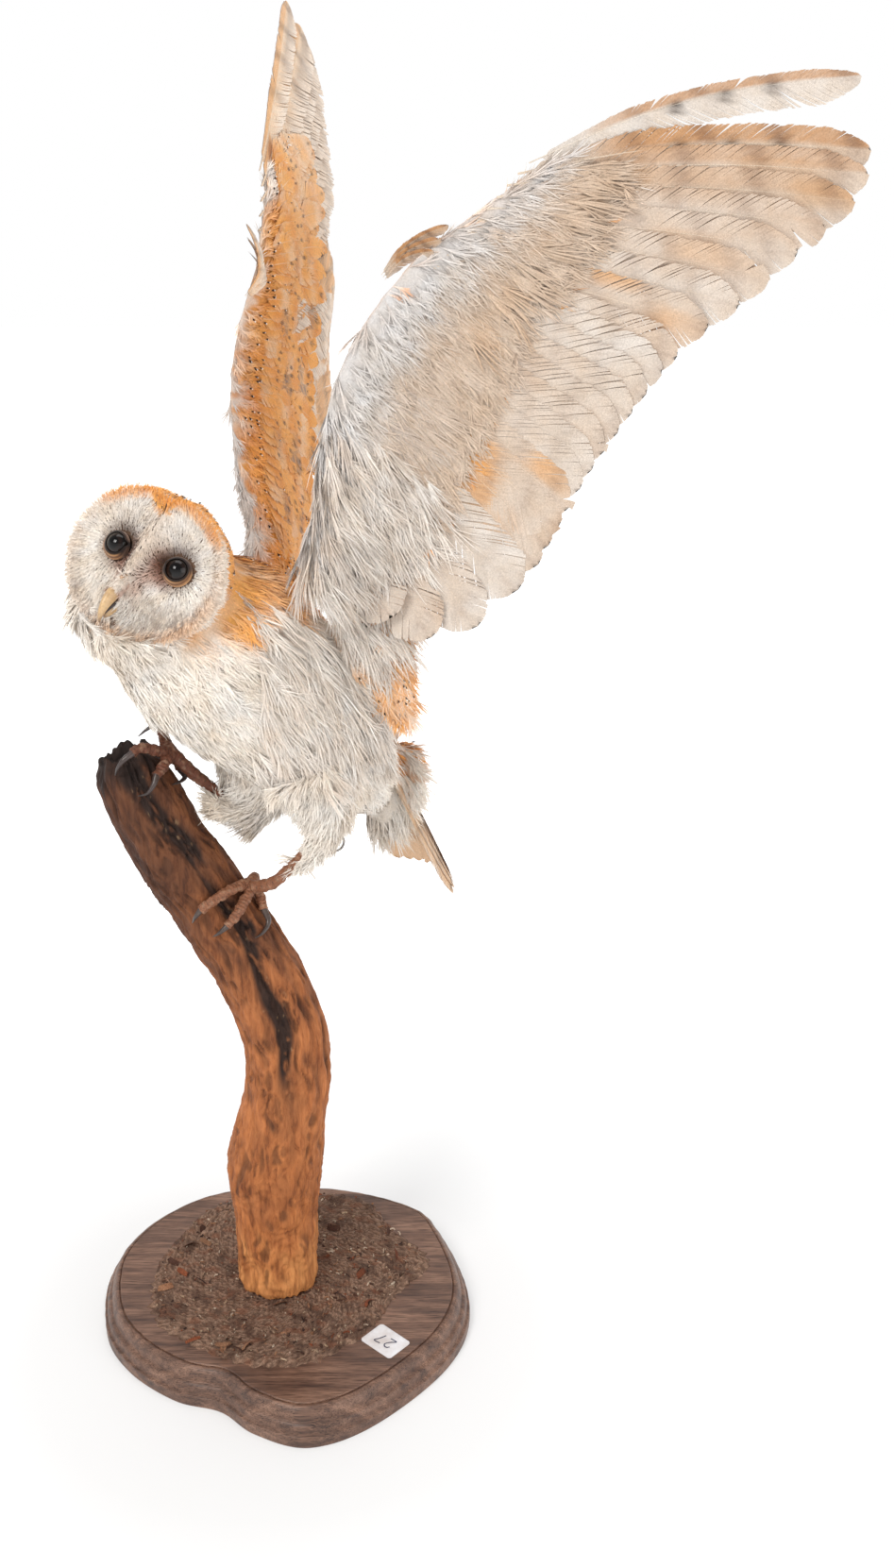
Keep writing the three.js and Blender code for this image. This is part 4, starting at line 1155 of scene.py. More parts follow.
@dataclass
class WingDress:
    """All the quills, coverts and small wing feathers that have a vane."""

    wing: Wing
    contour: Contour
    finish: bpy.types.Material

    def unwrap(self, face: int) -> Callable[[Array], Array]:
        """The planar unwrap of one face of the wing: underside on the left half, upper side on the right.

        Args:
            face: 1 for the underside, -1 for the upper side.

        Returns:
            A function of flat points.
        """
        start = 0.0 if face > 0 else 0.5

        def onto(flat: Array) -> Array:
            """Flat points as places on the unwrap."""
            u = (flat[..., 0] + 70.0) / 400.0 * 0.5 + start
            v = (flat[..., 1] + 140.0) / 500.0
            return np.stack([u, v], -1)

        return onto

    def quill_tone(self, face: int, phase: float, spots: float, warm: float) -> Callable[[Array, Array], Array]:
        """Colours of one flight feather.

        Args:
            face: 1 for the underside, -1 for the upper side.
            phase: shifts its bars.
            spots: strength of gold and brown on the leading vane of the underside.
            warm: strength of buff on the rest of the underside.

        Returns:
            A function of (share along, share across).
        """

        def tone(share: Array, wide: Array) -> Array:
            """Colour at a place of the feather.

            Args:
                share: share along the feather.
                wide: share across it, from -1 to 1.

            Returns:
                Linear colours.
            """
            bar = smooth(0.45, 0.95, np.sin((share + 0.03 * wide) * 30.0 + phase * 2.0)) * smooth(0.18, 0.4,
                                                                                                  share)
            mottle = 0.5 + 0.5 * np.sin(share * 310 + wide * 23 + phase * 9) * np.sin(share * 173 - wide * 31)
            patch = smooth(-0.2, 0.8, np.sin(share * 9 + phase * 5) * np.sin(wide * 2.2 + phase * 3))
            inner, outer = smooth(0.0, -0.9, wide), smooth(0.02, 0.2, wide)
            if face > 0:
                # painted shade: on the underside the white, buff, gold and tawny are darkened copies (0.74,
                # 0.78, 0.82, 0.8) that stand for the shade on the wing's underside.
                base = tint(WHITE, WARM, 0.35 + 0.55 * warm * (1 - 0.6 * inner)) * 0.74
                base = tint(base, BUFF * 0.78, warm * (0.3 + 0.6 * patch) * (1 - 0.6 * inner)
                            * smooth(0.05, 0.35, share))
                gold = 0.9 * smooth(0.4, 0.75, warm) * patch * smooth(0.25, 0.45, share) * smooth(1.0, 0.75,
                                                                                                  share)
                base = tint(base, GOLD * 0.82, gold * (1 - smooth(0.05, 0.3, spots)) * (1 - 0.5 * inner))
                base = tint(base, GREY * 1.3, 0.3 * smooth(0.12, 0.0, np.abs(wide + 0.08))
                            * smooth(0.2, 0.5, share))
                base = tint(base, TAWNY * 0.8, spots * outer * smooth(0.1, 0.35, share)
                            * (0.75 + 0.25 * mottle))
                base = tint(base, BROWN, (0.14 + 0.16 * warm) * bar * (1 - 0.6 * inner)
                            + 0.3 * spots * bar * outer)
                for at in (0.45, 0.6, 0.74):
                    dot = np.exp(-(((share - at) / 0.02) ** 2) - ((wide + 0.05) / 0.35) ** 4)
                    base = tint(base, DARK * 1.6, smooth(0.55, 0.8, spots) * dot * (1.4 - at))
                return base
            base = tint(CREAM, GOLD, 0.15 + 0.25 * mottle + 0.4 * outer)
            base = tint(base, WHITE, inner * 0.5)
            base = tint(base, GREY, (0.12 + 0.45 * spots) * smooth(0.0, -0.15, wide)
                        * smooth(-0.75, -0.45, wide) * smooth(0.3, 0.7, share))
            base = tint(base, BROWN, bar * (0.4 - 0.2 * inner))
            dot = np.exp(-(((share - 0.93) / 0.014) ** 2) - (wide / 0.22) ** 2)
            return tint(base, BROWN, 0.7 * dot)

        return tone

    def flights(self, name: str, quills: Sequence[Quill], lead: Array, trail: Array, barbs: int, spots: Array,
                warm: Array, seed: int, node: str) -> None:
        """Build one row of flight feathers, with an underside and an upper side.

        Args:
            name: piece name.
            quills: the shafts.
            lead: width of the leading vane of each.
            trail: width of the trailing vane of each.
            barbs: barbs on each side of a shaft.
            spots: strength of brown on the leading vanes, one per feather.
            warm: strength of buff, one per feather.
            seed: seed of the raggedness.
            node: frame node that the piece stands for.
        """
        weave = Weave()
        phase = np.random.default_rng(seed).uniform(0, 3, len(quills))
        for i, quill in enumerate(quills):
            for face in (1, -1):
                batch = Vanes(**gather([quill]), lead=lead[i:i + 1], trail=trail[i:i + 1], barbs=barbs,
                              seed=seed + i,
                              shingle=1.0, gape=0.018)
                tone = self.quill_tone(face, float(phase[i]), float(spots[i]), float(warm[i]))
                batch.grow(weave, self.wing.place, self.wing.camber, tone, self.unwrap(face), 0.22 * face)
        mount(weave.make(name), self.finish, "flight_feather", node)

    def covert_row(self, weave: Weave, face: int, chord: float, length: tuple[float, float], width: float,
                   spacing: float, barbs: int, tone: Callable, seed: int, lift: float, soft: float,
                   span: tuple[float, float] = (0.02, 1.0), turn: float = 0.0) -> None:
        """One row of coverts along the arm.

        Args:
            weave: the mesh that grows.
            face: 1 for the underside, -1 for the upper side.
            chord: where the roots lie, as a share of the arm's chord.
            length: feather length at the shoulder and at the fingertip.
            width: full feather width.
            spacing: distance between roots.
            barbs: barbs on each side.
            tone: colour from (span share, chord share, share along, share across).
            seed: seed of the raggedness.
            lift: distance of the tips off the surface below them.
            soft: raggedness.
            span: where the row starts and ends, as shares of the arm's length.
            turn: extra turn of the feathers towards the wing tip, in degrees.
        """
        wing = self.wing
        rng = np.random.default_rng(seed)
        stations = wing.stations
        at = stations[:, :2] + (stations[:, 2:4] - stations[:, :2]) * chord
        reach = reach_along(at)
        count = max(3, int(reach[-1] * (span[1] - span[0]) / spacing))
        where = np.linspace(span[0], span[1], count) * reach[-1] + rng.uniform(-0.25, 0.25, count) * spacing
        shares = np.linspace(0, 1, len(stations))
        q = np.interp(where, reach, shares)
        row = evenly(stations, shares, q)
        chords = row[:, 2:4] - row[:, :2]
        angle = np.radians(turn + rng.normal(0, 3, count))
        way = unit(chords)
        way = np.stack([way[:, 0] * np.cos(angle) - way[:, 1] * np.sin(angle),
                        way[:, 0] * np.sin(angle) + way[:, 1] * np.cos(angle)], 1)
        root = row[:, :2] + chords * (chord + rng.normal(0, 0.015, count))[:, None]
        size = np.interp(q, [0, 1], length) * rng.uniform(*((0.72, 1.2) if face > 0 else (0.9, 1.1)), count)
        tip = root + way * size[:, None]
        hand = row[:, 4]
        knots = np.linspace(0, 1, 5)
        flat = root[:, None] + (tip - root)[:, None] * knots[None, :, None]
        found = self.contour.heights(flat.reshape(-1, 2), np.repeat(hand, 5), face).reshape(count, 5)
        for k in range(5):
            missing = np.isnan(found[:, k])
            found[missing, k] = (0.6 if face > 0 else 1.1) * found[missing, k - 1] if k else 0.0
        found = np.where(np.isnan(found), 0.0, found)
        for k in range(1, 5):
            found[:, k] = np.clip(found[:, k], found[:, k - 1] - 0.35 * size / 4, found[:, k - 1]
                                  + 0.35 * size / 4)
        if face > 0:
            start, end = wing.place(root, found[:, 0] - 0.8, hand), wing.place(tip, found[:, 4] + lift, hand)
            lay = unit(end - start)
            out = unit(wing.below() - lay * (lay @ wing.below())[:, None])
            down = Tuft(barbs, float(np.mean(length)), width, spacing, 0.04, -0.05, soft, 0.45, 0.8)
            share = size / np.linalg.norm(chords, axis=1)
            inner, outer = tone(q, chord + 0 * q, 0.1, 0.0), tone(q, chord + share, 0.9, 0.0)
            down.grow(weave, start, out, lay, inner, outer, self.unwrap(face)(root), seed,
                      size / np.mean(length))
            return
        rise = face * (-0.8 + (lift + 0.8) * knots**0.8)[None, :]
        profile = found + rise

        def height(share: Array) -> Array:
            """Height of each feather along its length.

            Args:
                share: share along each feather, which stand on the first axis.

            Returns:
                Heights over the wing's plane.
            """
            x = np.clip(share, 0, 1) * 4
            low = np.minimum(x.astype(int), 3)
            index = per_feather(np.arange(count), share)
            return profile[index, low] + (profile[index, low + 1] - profile[index, low]) * (x - low)

        def colour(share: Array, wide: Array) -> Array:
            """Colour of each feather."""
            reached = per_feather(size / np.linalg.norm(chords, axis=1), share)
            return tone(per_feather(q, share), chord + share * reached, share, wide)

        half = width / 2 * rng.uniform(0.9, 1.1, count)
        batch = Vanes(root=root, tip=tip, hand=hand, bow=size * 0.04, lead=half, trail=half, barbs=barbs,
                      seed=seed,
                      ragged=soft, blunt=0.5, shingle=0.5, slant=1.0, splits=2, gape=soft)
        batch.grow(weave, wing.place, height, colour, self.unwrap(face), 0.15 * face)

    def under_tone(self, q: Array, c: Array, share: Array, wide: Array) -> Array:
        """Colour of the under wing coverts by span, chord, share along and share across.

        Args:
            q: share of the arm's span.
            c: share of the arm's chord.
            share: share along the feather.
            wide: share across it, from -1 to 1.

        Returns:
            Linear colours.
        """
        q, c, share, wide = np.broadcast_arrays(q, c, share, wide)
        wave = np.sin(q * 41 + 2) * np.sin(q * 23 + c * 7)
        # painted shade: the covert colours here and the buff at 0.85 are darkened copies that stand for the
        # shade on the wing's underside.
        base = tint(SHADED_COOL_COVERT, SHADED_TAN_COVERT, smooth(0.1, 0.42, c) * (0.55 + 0.4 * smooth(0.2, 0.7, q)))
        return tint(base, BUFF * 0.85, 0.4 * smooth(0.1, 0.7, wave) * smooth(0.4, 0.8, c))

    def upper_tone(self, q: Array, c: Array, share: Array, wide: Array) -> Array:
        """Colour of the upper wing coverts by span, chord, share along and share across.

        Args:
            q: share of the arm's span.
            c: share of the arm's chord.
            share: share along the feather.
            wide: share across it, from -1 to 1.

        Returns:
            Linear colours.
        """
        q, c, share, wide = np.broadcast_arrays(q, c, share, wide)
        patch = np.sin(q * 31 + c * 9) * np.sin(q * 15 - c * 11 + 1)
        grey = smooth(0.35, 0.75, patch) * smooth(0.25, 0.6, c) * smooth(0.85, 0.6, q)
        fine = smooth(-0.2, 0.3, np.sin(share * 70 + q * 220) * np.sin(wide * 16))
        base = tint(GOLD, DEEP_GOLD, 0.4 * smooth(-0.2, 0.8, np.sin(q * 53 + c * 17)))
        pale = smooth(0.2, 0.9, np.sin(q * 19 + c * 13 + 2) * np.sin(q * 37 - c * 8))
        base = tint(base, CREAM, 0.35 * pale + 0.25 * smooth(0.4, 0.95, np.abs(wide))
                    + 0.3 * smooth(0.7, 0.9, q) * smooth(0.4, 0.9, c))
        base = tint(base, SMOKE, grey * (0.3 + 0.55 * fine))
        chance = smooth(0.15, 0.3, np.sin(q * 611 + c * 37))
        dot = np.exp(-(((share - 0.86) / 0.045) ** 2) - (wide / 0.16) ** 2) * chance
        base = tint(base, DARK, np.clip(1.3 * dot, 0, 0.9))
        return tint(base, WHITE, 0.7 * chance * np.exp(-(((share - 0.95) / 0.02) ** 2) - (wide / 0.16) ** 2))

    def coverts(self) -> None:
        """Build the under and upper wing coverts."""
        side = self.wing.pose.name
        under = Weave()
        for k in range(7):
            chord = 0.48 - 0.055 * k
            self.covert_row(under, 1, chord, (40 - 2 * k, 40 - 3 * k), 13, 5.0, 13, self.under_tone, 11 + k,
                            0.3, 0.13, (0.02, 0.95))
        mount(under.make(f"under_coverts_{side}"), self.finish, "flight_feather")
        upper = Weave()
        self.covert_row(upper, -1, 0.60, (44, 50), 20, 8.0, 22, self.upper_tone, 21, 1.2, 0.05, (0.02, 0.93))
        for k, chord in enumerate((0.48, 0.39, 0.31, 0.24)):
            self.covert_row(upper, -1, chord, (32 - 3 * k, 34 - 4 * k), 15 - k, 6.5 - 0.4 * k, 14,
                            self.upper_tone, 22 + k, 1.6, 0.07,
                            (0.02, 0.95))
        mount(upper.make(f"upper_coverts_{side}"), self.finish, "flight_feather")

    def build(self) -> None:
        """Build every vaned feather of the wing."""
        wing = self.wing
        side = wing.pose.name
        rows = (
            ("primary_quills", wing.primaries, (13.5, 10), (18, 19), 92, np.linspace(0.1, 0.95, 9) ** 4,
             (0.45, 1.0), 100, "primaries"),
            ("outer_quill", [wing.outer], (5.5, 5.5), (12.5, 12.5), 110, (0.8,), (0.1, 0.1), 140,
             "outer_primary"),
            ("secondary_quills", wing.secondaries, (14, 14), (19, 20), 72, np.zeros(11), (0.15, 0.7), 160,
             "secondaries"),
            ("tertial_quills", wing.tertials, (18, 16), (22, 16), 66, np.zeros(4), (0.3, 0.5), 190, "tertials"),
        )
        for name, quills, lead, trail, barbs, spots, warm, seed, node in rows:
            count = len(quills)
            buff = np.linspace(*warm, count) * np.random.default_rng(seed + 5).uniform(0.35, 1.1, count)
            self.flights(f"{name}_{side}", quills, np.linspace(*lead, count), np.linspace(*trail, count), barbs,
                         np.asarray(spots), buff, seed, f"{node}_{side}")
        root = wing.wrist + np.asarray(wing.pose.thumb, float)
        thumbs = []
        for k in range(3):
            start = root + toward(1.6 * k, wing.pose.hand_angle - 90)
            thumbs.append(Quill(start, start + toward(44 - 7 * k, wing.pose.hand_angle - 3 * k), 1.0, 4.0))
        self.flights(f"alula_quills_{side}", thumbs, np.full(3, 2.2), np.full(3, 3.4), 34, np.ones(3),
                     np.ones(3), 200,
                     f"alula_{side}")
        self.coverts()


# ---------------------------------------------------------------- tufts


@dataclass(frozen=True)
class Tuft:
    """One kind of soft feather, made of thin strands that fan from its root."""

    strands: int
    length: float
    width: float
    spacing: float
    lift: float = 0.2
    curl: float = -0.06
    ragged: float = 0.1
    thread: float = 0.42
    fan: float = 1.4

    def grow(self, weave: Weave, root: Array, normal: Array, along: Array, inner: Array, outer: Array,
             home: Array,
             seed: int, scale: Array | float = 1.0) -> None:
        """Grow one tuft at each root.

        Args:
            weave: the mesh that grows.
            root: n by 3 roots on the skin.
            normal: n by 3 outward unit vectors.
            along: n by 3 unit vectors that the tufts follow.
            inner: n by 3 colours at the roots.
            outer: n by 3 colours at the tips.
            home: n by 2 places on the unwrap.
            seed: seed of the raggedness.
            scale: size factor, one or n.
        """
        rng = np.random.default_rng(seed)
        n, k = len(root), self.strands
        if n == 0:
            return
        side = unit(np.cross(normal, along))
        size = self.length * np.broadcast_to(np.asarray(scale, float),
                                             (n,))[:, None] * rng.uniform(0.82, 1.15, (n, 1))
        half = self.width / 2 * (size / self.length)
        q = np.linspace(-1, 1, k)[None] if k > 1 else np.zeros((1, 1))
        end = size * (1 - 0.26 * q**2 + rng.normal(0, self.ragged, (n, k)))
        off = half * (q + rng.normal(0, self.ragged * 1.6, (n, k)))
        begin = size * (0.28 * np.abs(q) + rng.uniform(0, 0.06, (n, k)))
        bend = rng.normal(0, 0.1, (n, 1, 1)) * size[..., None]
        t = np.array([0.0, 0.38, 0.74, 1.0])
        a = begin[..., None] + (end - begin)[..., None] * t
        w = off[..., None] * t**self.fan + bend * t**2
        rise = rng.normal(1.0, 0.22, (n, k, 1))
        h = size[..., None] * (self.lift * rise * t + self.curl * t**2) + 0.12
        spine = (root[:, None, None] + along[:, None, None] * a[..., None] + side[:, None, None] * w[..., None]
                 + normal[:, None, None] * h[..., None])
        roll = rng.uniform(-0.7, 0.7, (n, k, 1))
        breadth = side[:, None] * np.cos(roll) + normal[:, None] * np.sin(roll)
        thick = self.thread * rng.uniform(0.8, 1.25, (n, k, 1)) * np.array([0.75, 1.0, 0.7])
        offset = breadth[:, :, None] * thick[..., None]
        points = np.concatenate([np.stack([spine[:, :, :3] - offset, spine[:, :, :3] + offset],
                                          3).reshape(n, k, 6, 3),
                                 spine[:, :, 3:]], 2)
        one = np.array([[0, 1, 3], [0, 3, 2], [2, 3, 5], [2, 5, 4], [4, 5, 6]])
        triangles = one[None] + np.arange(n * k)[:, None, None] * 7
        share = np.array([0, 0, 0.38, 0.38, 0.74, 0.74, 1.0])
        tone = tint(inner[:, None, None], outer[:, None, None], np.broadcast_to(share, (n, k, 7)))
        tone = tone * rng.normal(1.0, 0.045, (n, k, 1, 1)) * rng.normal(1.0, 0.025, (n, 1, 1, 1))
        patch = np.stack(np.broadcast_arrays(q[..., None] * 0.0014, share[None, None] * 0.0026 - 0.0013), -1)
        places = home[:, None, None] + patch
        weave.add(points.reshape(-1, 3), triangles.reshape(-1, 3), tone.reshape(-1, 3),
                  np.broadcast_to(places, (n, k, 7, 2)).reshape(-1, 2))


# ---------------------------------------------------------------- head


@dataclass
class HeadForm:
    """The round skull with its heart-shaped dish, in the head's frame: X out of the face, Z to the crown."""

    outline: tuple[tuple[float, float], ...] = ((0, 37), (25, 41), (55, 44), (90, 45.5), (120, 45), (150, 43),
                                                (180, 42))
    rim: float = 27.0
    eye_apart: float = 39.0
    eye_up: float = 4.0
    eye_forward: float = 24.0
    eye_radius: float = 7.6
    skull: tuple[tuple[float, float], ...] = (
        (0.98, 26), (1.02, 21), (1.02, 8), (0.94, -9), (0.76, -24), (0.52, -33), (0.2, -37.5), (0.03, -38))
    crown_height: float = 5.0
    notch_depth: float = 0.21
    unwrap_width: float = 130.0

    def radius(self, clock: Array) -> Array:
        """Radius of the face at a clock angle from the crown, in degrees.

        Args:
            clock: angles from the crown in degrees.

        Returns:
            Radii in millimetres.
        """
        folded = np.abs(wrapped(clock))
        knots = np.array(self.outline)
        low = np.clip(np.searchsorted(knots[:, 0], folded, side="right") - 1, 0, len(knots) - 2)
        share = (folded - knots[low, 0]) / (knots[low + 1, 0] - knots[low, 0])
        return knots[low, 1] + (knots[low + 1, 1] - knots[low, 1]) * share * share * (3 - 2 * share)

    def reach(self, y: Array, z: Array) -> Array:
        """Distance from the face's middle as a share of its radius."""
        return np.hypot(y, z) / self.radius(np.degrees(np.arctan2(-y, z)))

    def forward(self, y: Array, z: Array) -> Array:
        """How far forward the dish stands: a raised rim, two hollows and a ridge down to the bill.

        Args:
            y: distance to the owl's left.
            z: distance towards the crown.

        Returns:
            Distances in front of the head's middle.
        """
        fall = np.clip((30.0 - z) / 52.0, 0, 1)
        below = np.clip((-z - 24.0) / 16.0, 0, 1)
        ridge = (3.5 + 17 * fall * (1 - below)) * np.exp(-((y / (6.2 + 4.6 * fall)) ** 2))
        hollow = 5.0 * np.exp(-(((np.abs(y) - self.eye_apart / 2) / 10.5) ** 2)
                              - ((z - self.eye_up) / 11.0) ** 2)
        share = self.reach(y, z)
        dish = 1.6 * smooth(0.5, 0.72, share) * smooth(0.98, 0.8, share)
        lip = 0.9 * smooth(0.84, 0.94, share)
        brow = 3.0 * np.exp(-(((np.abs(y) - 15) / 12.0) ** 2) - ((z - 27) / 11.0) ** 2)
        return self.rim + ridge - hollow - dish + lip + brow

    def heart(self, y: Array, z: Array) -> Array:
        """Distance from the face's middle as a share of the white heart, which is notched at the crown."""
        clock = np.degrees(np.arctan2(-y, z))
        return self.reach(y, z) / (0.965 - self.notch_depth * np.exp(-np.abs((clock - 4.0) / 11.0) ** 1.3))

    def face_points(self, y: Array, z: Array, lift: Array | float = 0.0) -> Array:
        """Points of the face in the model."""
        return HEAD.out(np.stack([self.forward(y, z) + lift, y, z], -1))

    def face_normals(self, y: Array, z: Array) -> Array:
        """Outward unit vectors of the face in the model.

        Args:
            y: distance to the owl's left.
            z: distance towards the crown.

        Returns:
            Unit vectors, last axis 3.
        """
        step = 0.4
        dy = (self.forward(y + step, z) - self.forward(y - step, z)) / (2 * step)
        dz = (self.forward(y, z + step) - self.forward(y, z - step)) / (2 * step)
        return unit(np.stack([np.ones_like(y), -dy, -dz], -1)) @ HEAD.turn.T

    def surface(self) -> tuple[Array, Array]:
        """The whole head as a closed fine surface.

        Returns:
            Points in the model and triangles.
        """
        columns = 112
        clock = np.linspace(0, 360, columns, endpoint=False)
        edge = self.radius(clock)
        rows = []
        for share in np.linspace(0.03, 0.97, 34):
            y, z = -edge * share * np.sin(np.radians(clock)), edge * share * np.cos(np.radians(clock))
            rows.append(np.stack([self.forward(y, z), y, z], 1))
        for share, forward in curve_through(np.array([(s * 45, f, 0) for s, f in self.skull]), 40)[:, :2]:
            folded = np.abs(wrapped(clock))
            dome = self.crown_height * np.exp(-((folded / 38) ** 2)) * smooth(26, 16, forward)
            y = -(edge + dome) * share / 45 * np.sin(np.radians(clock))
            z = (edge + dome) * share / 45 * np.cos(np.radians(clock))
            rows.append(np.stack([np.full(columns, forward), y, z], 1))
        points, triangles = closed_loft(np.array(rows))
        return HEAD.out(points), triangles

    def unwrap(self, y: Array, z: Array) -> Array:
        """Places on the unwrap for places of the dish."""
        return np.stack([0.5 + y / self.unwrap_width, 0.5 + z / self.unwrap_width], -1)

    def eye_centre(self, side: int) -> Array:
        """Middle of an eyeball in the head's frame; side is 1 for the owl's left."""
        return np.array([self.eye_forward, side * self.eye_apart / 2, self.eye_up])


@dataclass
class Head:
    """Eyes, lids, bill and the fine feathers of the face."""

    form: HeadForm = field(default_factory=HeadForm)
    face_tuft: Tuft = Tuft(3, 7.0, 2.2, 1.12, lift=0.09, curl=0.0, ragged=0.1, thread=0.3)
    rim_tuft: Tuft = Tuft(4, 5.2, 2.0, 1.0, lift=0.22, curl=-0.12, ragged=0.12, thread=0.3)
    ruff_rows: tuple[tuple[float, float, float], ...] = (
        (0.955, 1.0, 0.75), (0.985, 0.4, 0.45), (1.0, -1.6, 0.15), (1.005, -4.2, -0.1), (1.0, -7.0, -0.3))
    ruff_step: float = 1.15

    def eye_axis(self, side: int) -> tuple[Array, Array, Array]:
        """Outward, sideways and upward unit vectors of an eye, in the head's frame.

        Args:
            side: 1 for the owl's left.

        Returns:
            The three unit vectors.
        """
        out = unit(np.array([1.0, 0.22 * side, -0.04]))
        across = unit(np.cross(out, [0.0, 0.0, 1.0])) * -side
        return out, across, np.cross(out, across) * (-side)

    def round_eye(self, side: int, radius: Array, polar: Array, around: Array) -> Array:
        """Points round an eye, in the head's frame.

        Args:
            side: 1 for the owl's left.
            radius: distance from the eye's middle.
            polar: angle from the eye's axis in radians.
            around: angle round that axis in radians.

        Returns:
            Points, last axis 3.
        """
        out, across, up = self.eye_axis(side)
        radius, polar, around = np.broadcast_arrays(radius, polar, around)
        return (out * (radius * np.cos(polar))[..., None]
                + across * (radius * np.sin(polar) * np.cos(around))[..., None]
                + up * (radius * np.sin(polar) * np.sin(around))[..., None]) + self.form.eye_centre(side)

    def eyes(self, finish: bpy.types.Material) -> None:
        """Build the two eyeballs with dark iris and pupil.

        Args:
            finish: its material.
        """
        for side, name in ((1, "left"), (-1, "right")):
            polar = np.linspace(0.02, math.pi - 0.02, 40)[:, None]
            around = np.linspace(0, 2 * math.pi, 56, endpoint=False)[None]
            bulge = 1 + 0.035 * np.exp(-((polar / 0.5) ** 2))
            radius = (self.form.eye_radius - 0.1) * bulge
            ball = self.round_eye(side, radius, polar, around)
            made = mesh_object(f"eyeball_{name}", *closed_loft(HEAD.out(ball)))
            share = np.concatenate([np.repeat(polar[:, 0], 56), [0.0, math.pi]])
            tone = tint(linear((6, 4, 4)), linear((30, 18, 13)), smooth(0.48, 0.6, share))
            paint(made, tint(tone, linear((9, 6, 5)), smooth(0.75, 0.9, share)))
            mount(made, finish, "eye", f"eye_{name}")

    def lids(self, weave: Weave) -> None:
        """Grow the lids round both eyes: folded and tan above, thin and dark below, pointed at the inner corner.

        Args:
            weave: the mesh that grows.
        """
        rows, count = 17, 96
        for side in (1, -1):
            around = np.linspace(0, 2 * math.pi, count, endpoint=False)
            above = 0.5 + 0.5 * np.cos(around - math.radians(62))
            corner = np.exp(-((np.mod(around - math.radians(198) + math.pi, 2 * math.pi) - math.pi) / 0.2) ** 2)
            inner = 0.98 - 0.27 * above**2 + 0.28 * corner
            ring, shades = [], []
            for row in np.linspace(0, 1, rows):
                polar = inner + (1.42 + 0.3 * above - inner) * row
                fold = np.sin(row * 15 + 0.9 * np.sin(around * 2 + 1)) * smooth(0.04, 0.25, row)
                radius = self.form.eye_radius + 0.3 + 1.5 * math.sin(math.pi * min(1.0, row
                                                                                   * 1.1)) * (0.2 + 0.9 * above)
                radius = radius + 0.3 * fold * above
                ring.append(self.round_eye(side, radius, polar, around))
                # painted shade: the tan of the upper lid is darker in the troughs of its folds and lighter on
                # their crests.
                tan = tint(linear((104, 70, 48)), linear((196, 150, 104)), 0.5 + 0.5 * fold)
                low = tint(linear((44, 29, 24)), linear((150, 118, 98)), float(smooth(0.2, 0.9, row)))
                tone = tint(low, tan, smooth(0.45, 0.8, above) * float(smooth(0.08, 0.2, row)))
                shades.append(tint(tone, DARK * 0.6, np.maximum(float(smooth(0.2, 0.08, row)), corner * 0.85)))
            points = HEAD.out(np.array(ring)).reshape(-1, 3)
            home = np.stack([0.9 + 0.04 * side + 0.03 * np.cos(around), 0.5 + 0.03 * np.sin(around)], 1)
            weave.add(points, grid_faces(rows, count, around=True), np.concatenate(shades),
                      np.tile(home, (rows, 1)))

    def bill(self, finish: bpy.types.Material) -> None:
        """Build the hooked upper and the short lower bill.

        Args:
            finish: its material.
        """
        upper = [(33, -9, 4.6), (38, -13, 5.0), (43.5, -18.3, 4.9), (47.8, -23, 4.4), (50.3, -28, 3.5),
                 (51.1, -33, 2.4),
                 (50.4, -37, 1.3), (49, -39.5, 0.35)]
        lower = [(33, -22, 4.2), (38, -26, 4.0), (42.0, -30.4, 3.3), (44.8, -34, 2.1), (46.0, -36.2, 0.6)]
        for name, rows, flat in (("bill_upper", upper, 0.8), ("bill_lower", lower, 0.8)):
            route = np.array([(x, 0.0, z, r) for x, z, r in rows], float)
            dense = curve_through(route, 44)
            rings = sweep(dense, 28)
            centre = dense[:, None, :3]
            away = rings - centre
            away[..., 1] *= flat
            if name == "bill_upper":
                ridge = np.exp(-((away[..., 1] / 1.6) ** 2)) * (away[..., 0] > 0)
                away *= (1 + 0.1 * ridge)[..., None]
                cere = smooth(0.36, 0.28, np.linspace(0, 1, 44))[:, None, None]
                away *= 1 + 0.07 * cere
            share = np.linspace(0, 1, 44)
            tone = tint(linear((214, 180, 152)), linear((206, 172, 126)), smooth(0.1, 0.5, share))
            tone = tint(tone, linear((150, 122, 92)), smooth(0.8, 1.0, share))
            tone = np.repeat(tone, 28, 0).reshape(44, 28, 3)
            # painted shade: a darker line down each side of the upper bill, towards its back, is the shade of a
            # groove that the shape does not have.
            groove = smooth(1.2, 0.2, np.abs(away[..., 0] + 2.2)) * (name == "bill_upper")
            tone = tint(tone, linear((92, 66, 54)), 0.5 * groove)
            # painted shade: the dark mark stands for the shade inside the nostril, which the shape has no
            # opening for.
            nostril = np.exp(-(((share[:, None] - 0.33) / 0.035) ** 2)) * smooth(0.5, 2.2, np.abs(away[..., 1]))
            tone = tint(tone, DARK, 0.8 * nostril * (name == "bill_upper"))
            made = mesh_object(f"horn_{name}", *closed_loft(HEAD.out(centre + away)))
            paint(made, loft_tones(tone))
            mount(made, finish, "bill", name)
        self.gape(finish)

    def gape(self, finish: bpy.types.Material) -> None:
        """Build the dark tube between the two halves of the bill: painted shade in the slit between them.

        Args:
            finish: its material.
        """
        rows = [(34, -15.5, 3.9), (39, -19, 4.3), (44, -24.5, 3.9), (47.6, -29.6, 2.7), (48.4, -33.6, 1.2)]
        dense = curve_through(np.array([(x, 0.0, z, r) for x, z, r in rows], float), 24)
        rings = sweep(dense, 20)
        rings = dense[:, None, :3] + (rings - dense[:, None, :3]) * np.array([0.45, 1.12, 0.45])
        made = mesh_object("gape", *closed_loft(HEAD.out(rings)))
        # painted shade: the tube is near black, the shade in the slit between the bill halves.
        paint(made, linear((38, 22, 20)))
        mount(made, finish, "bill")

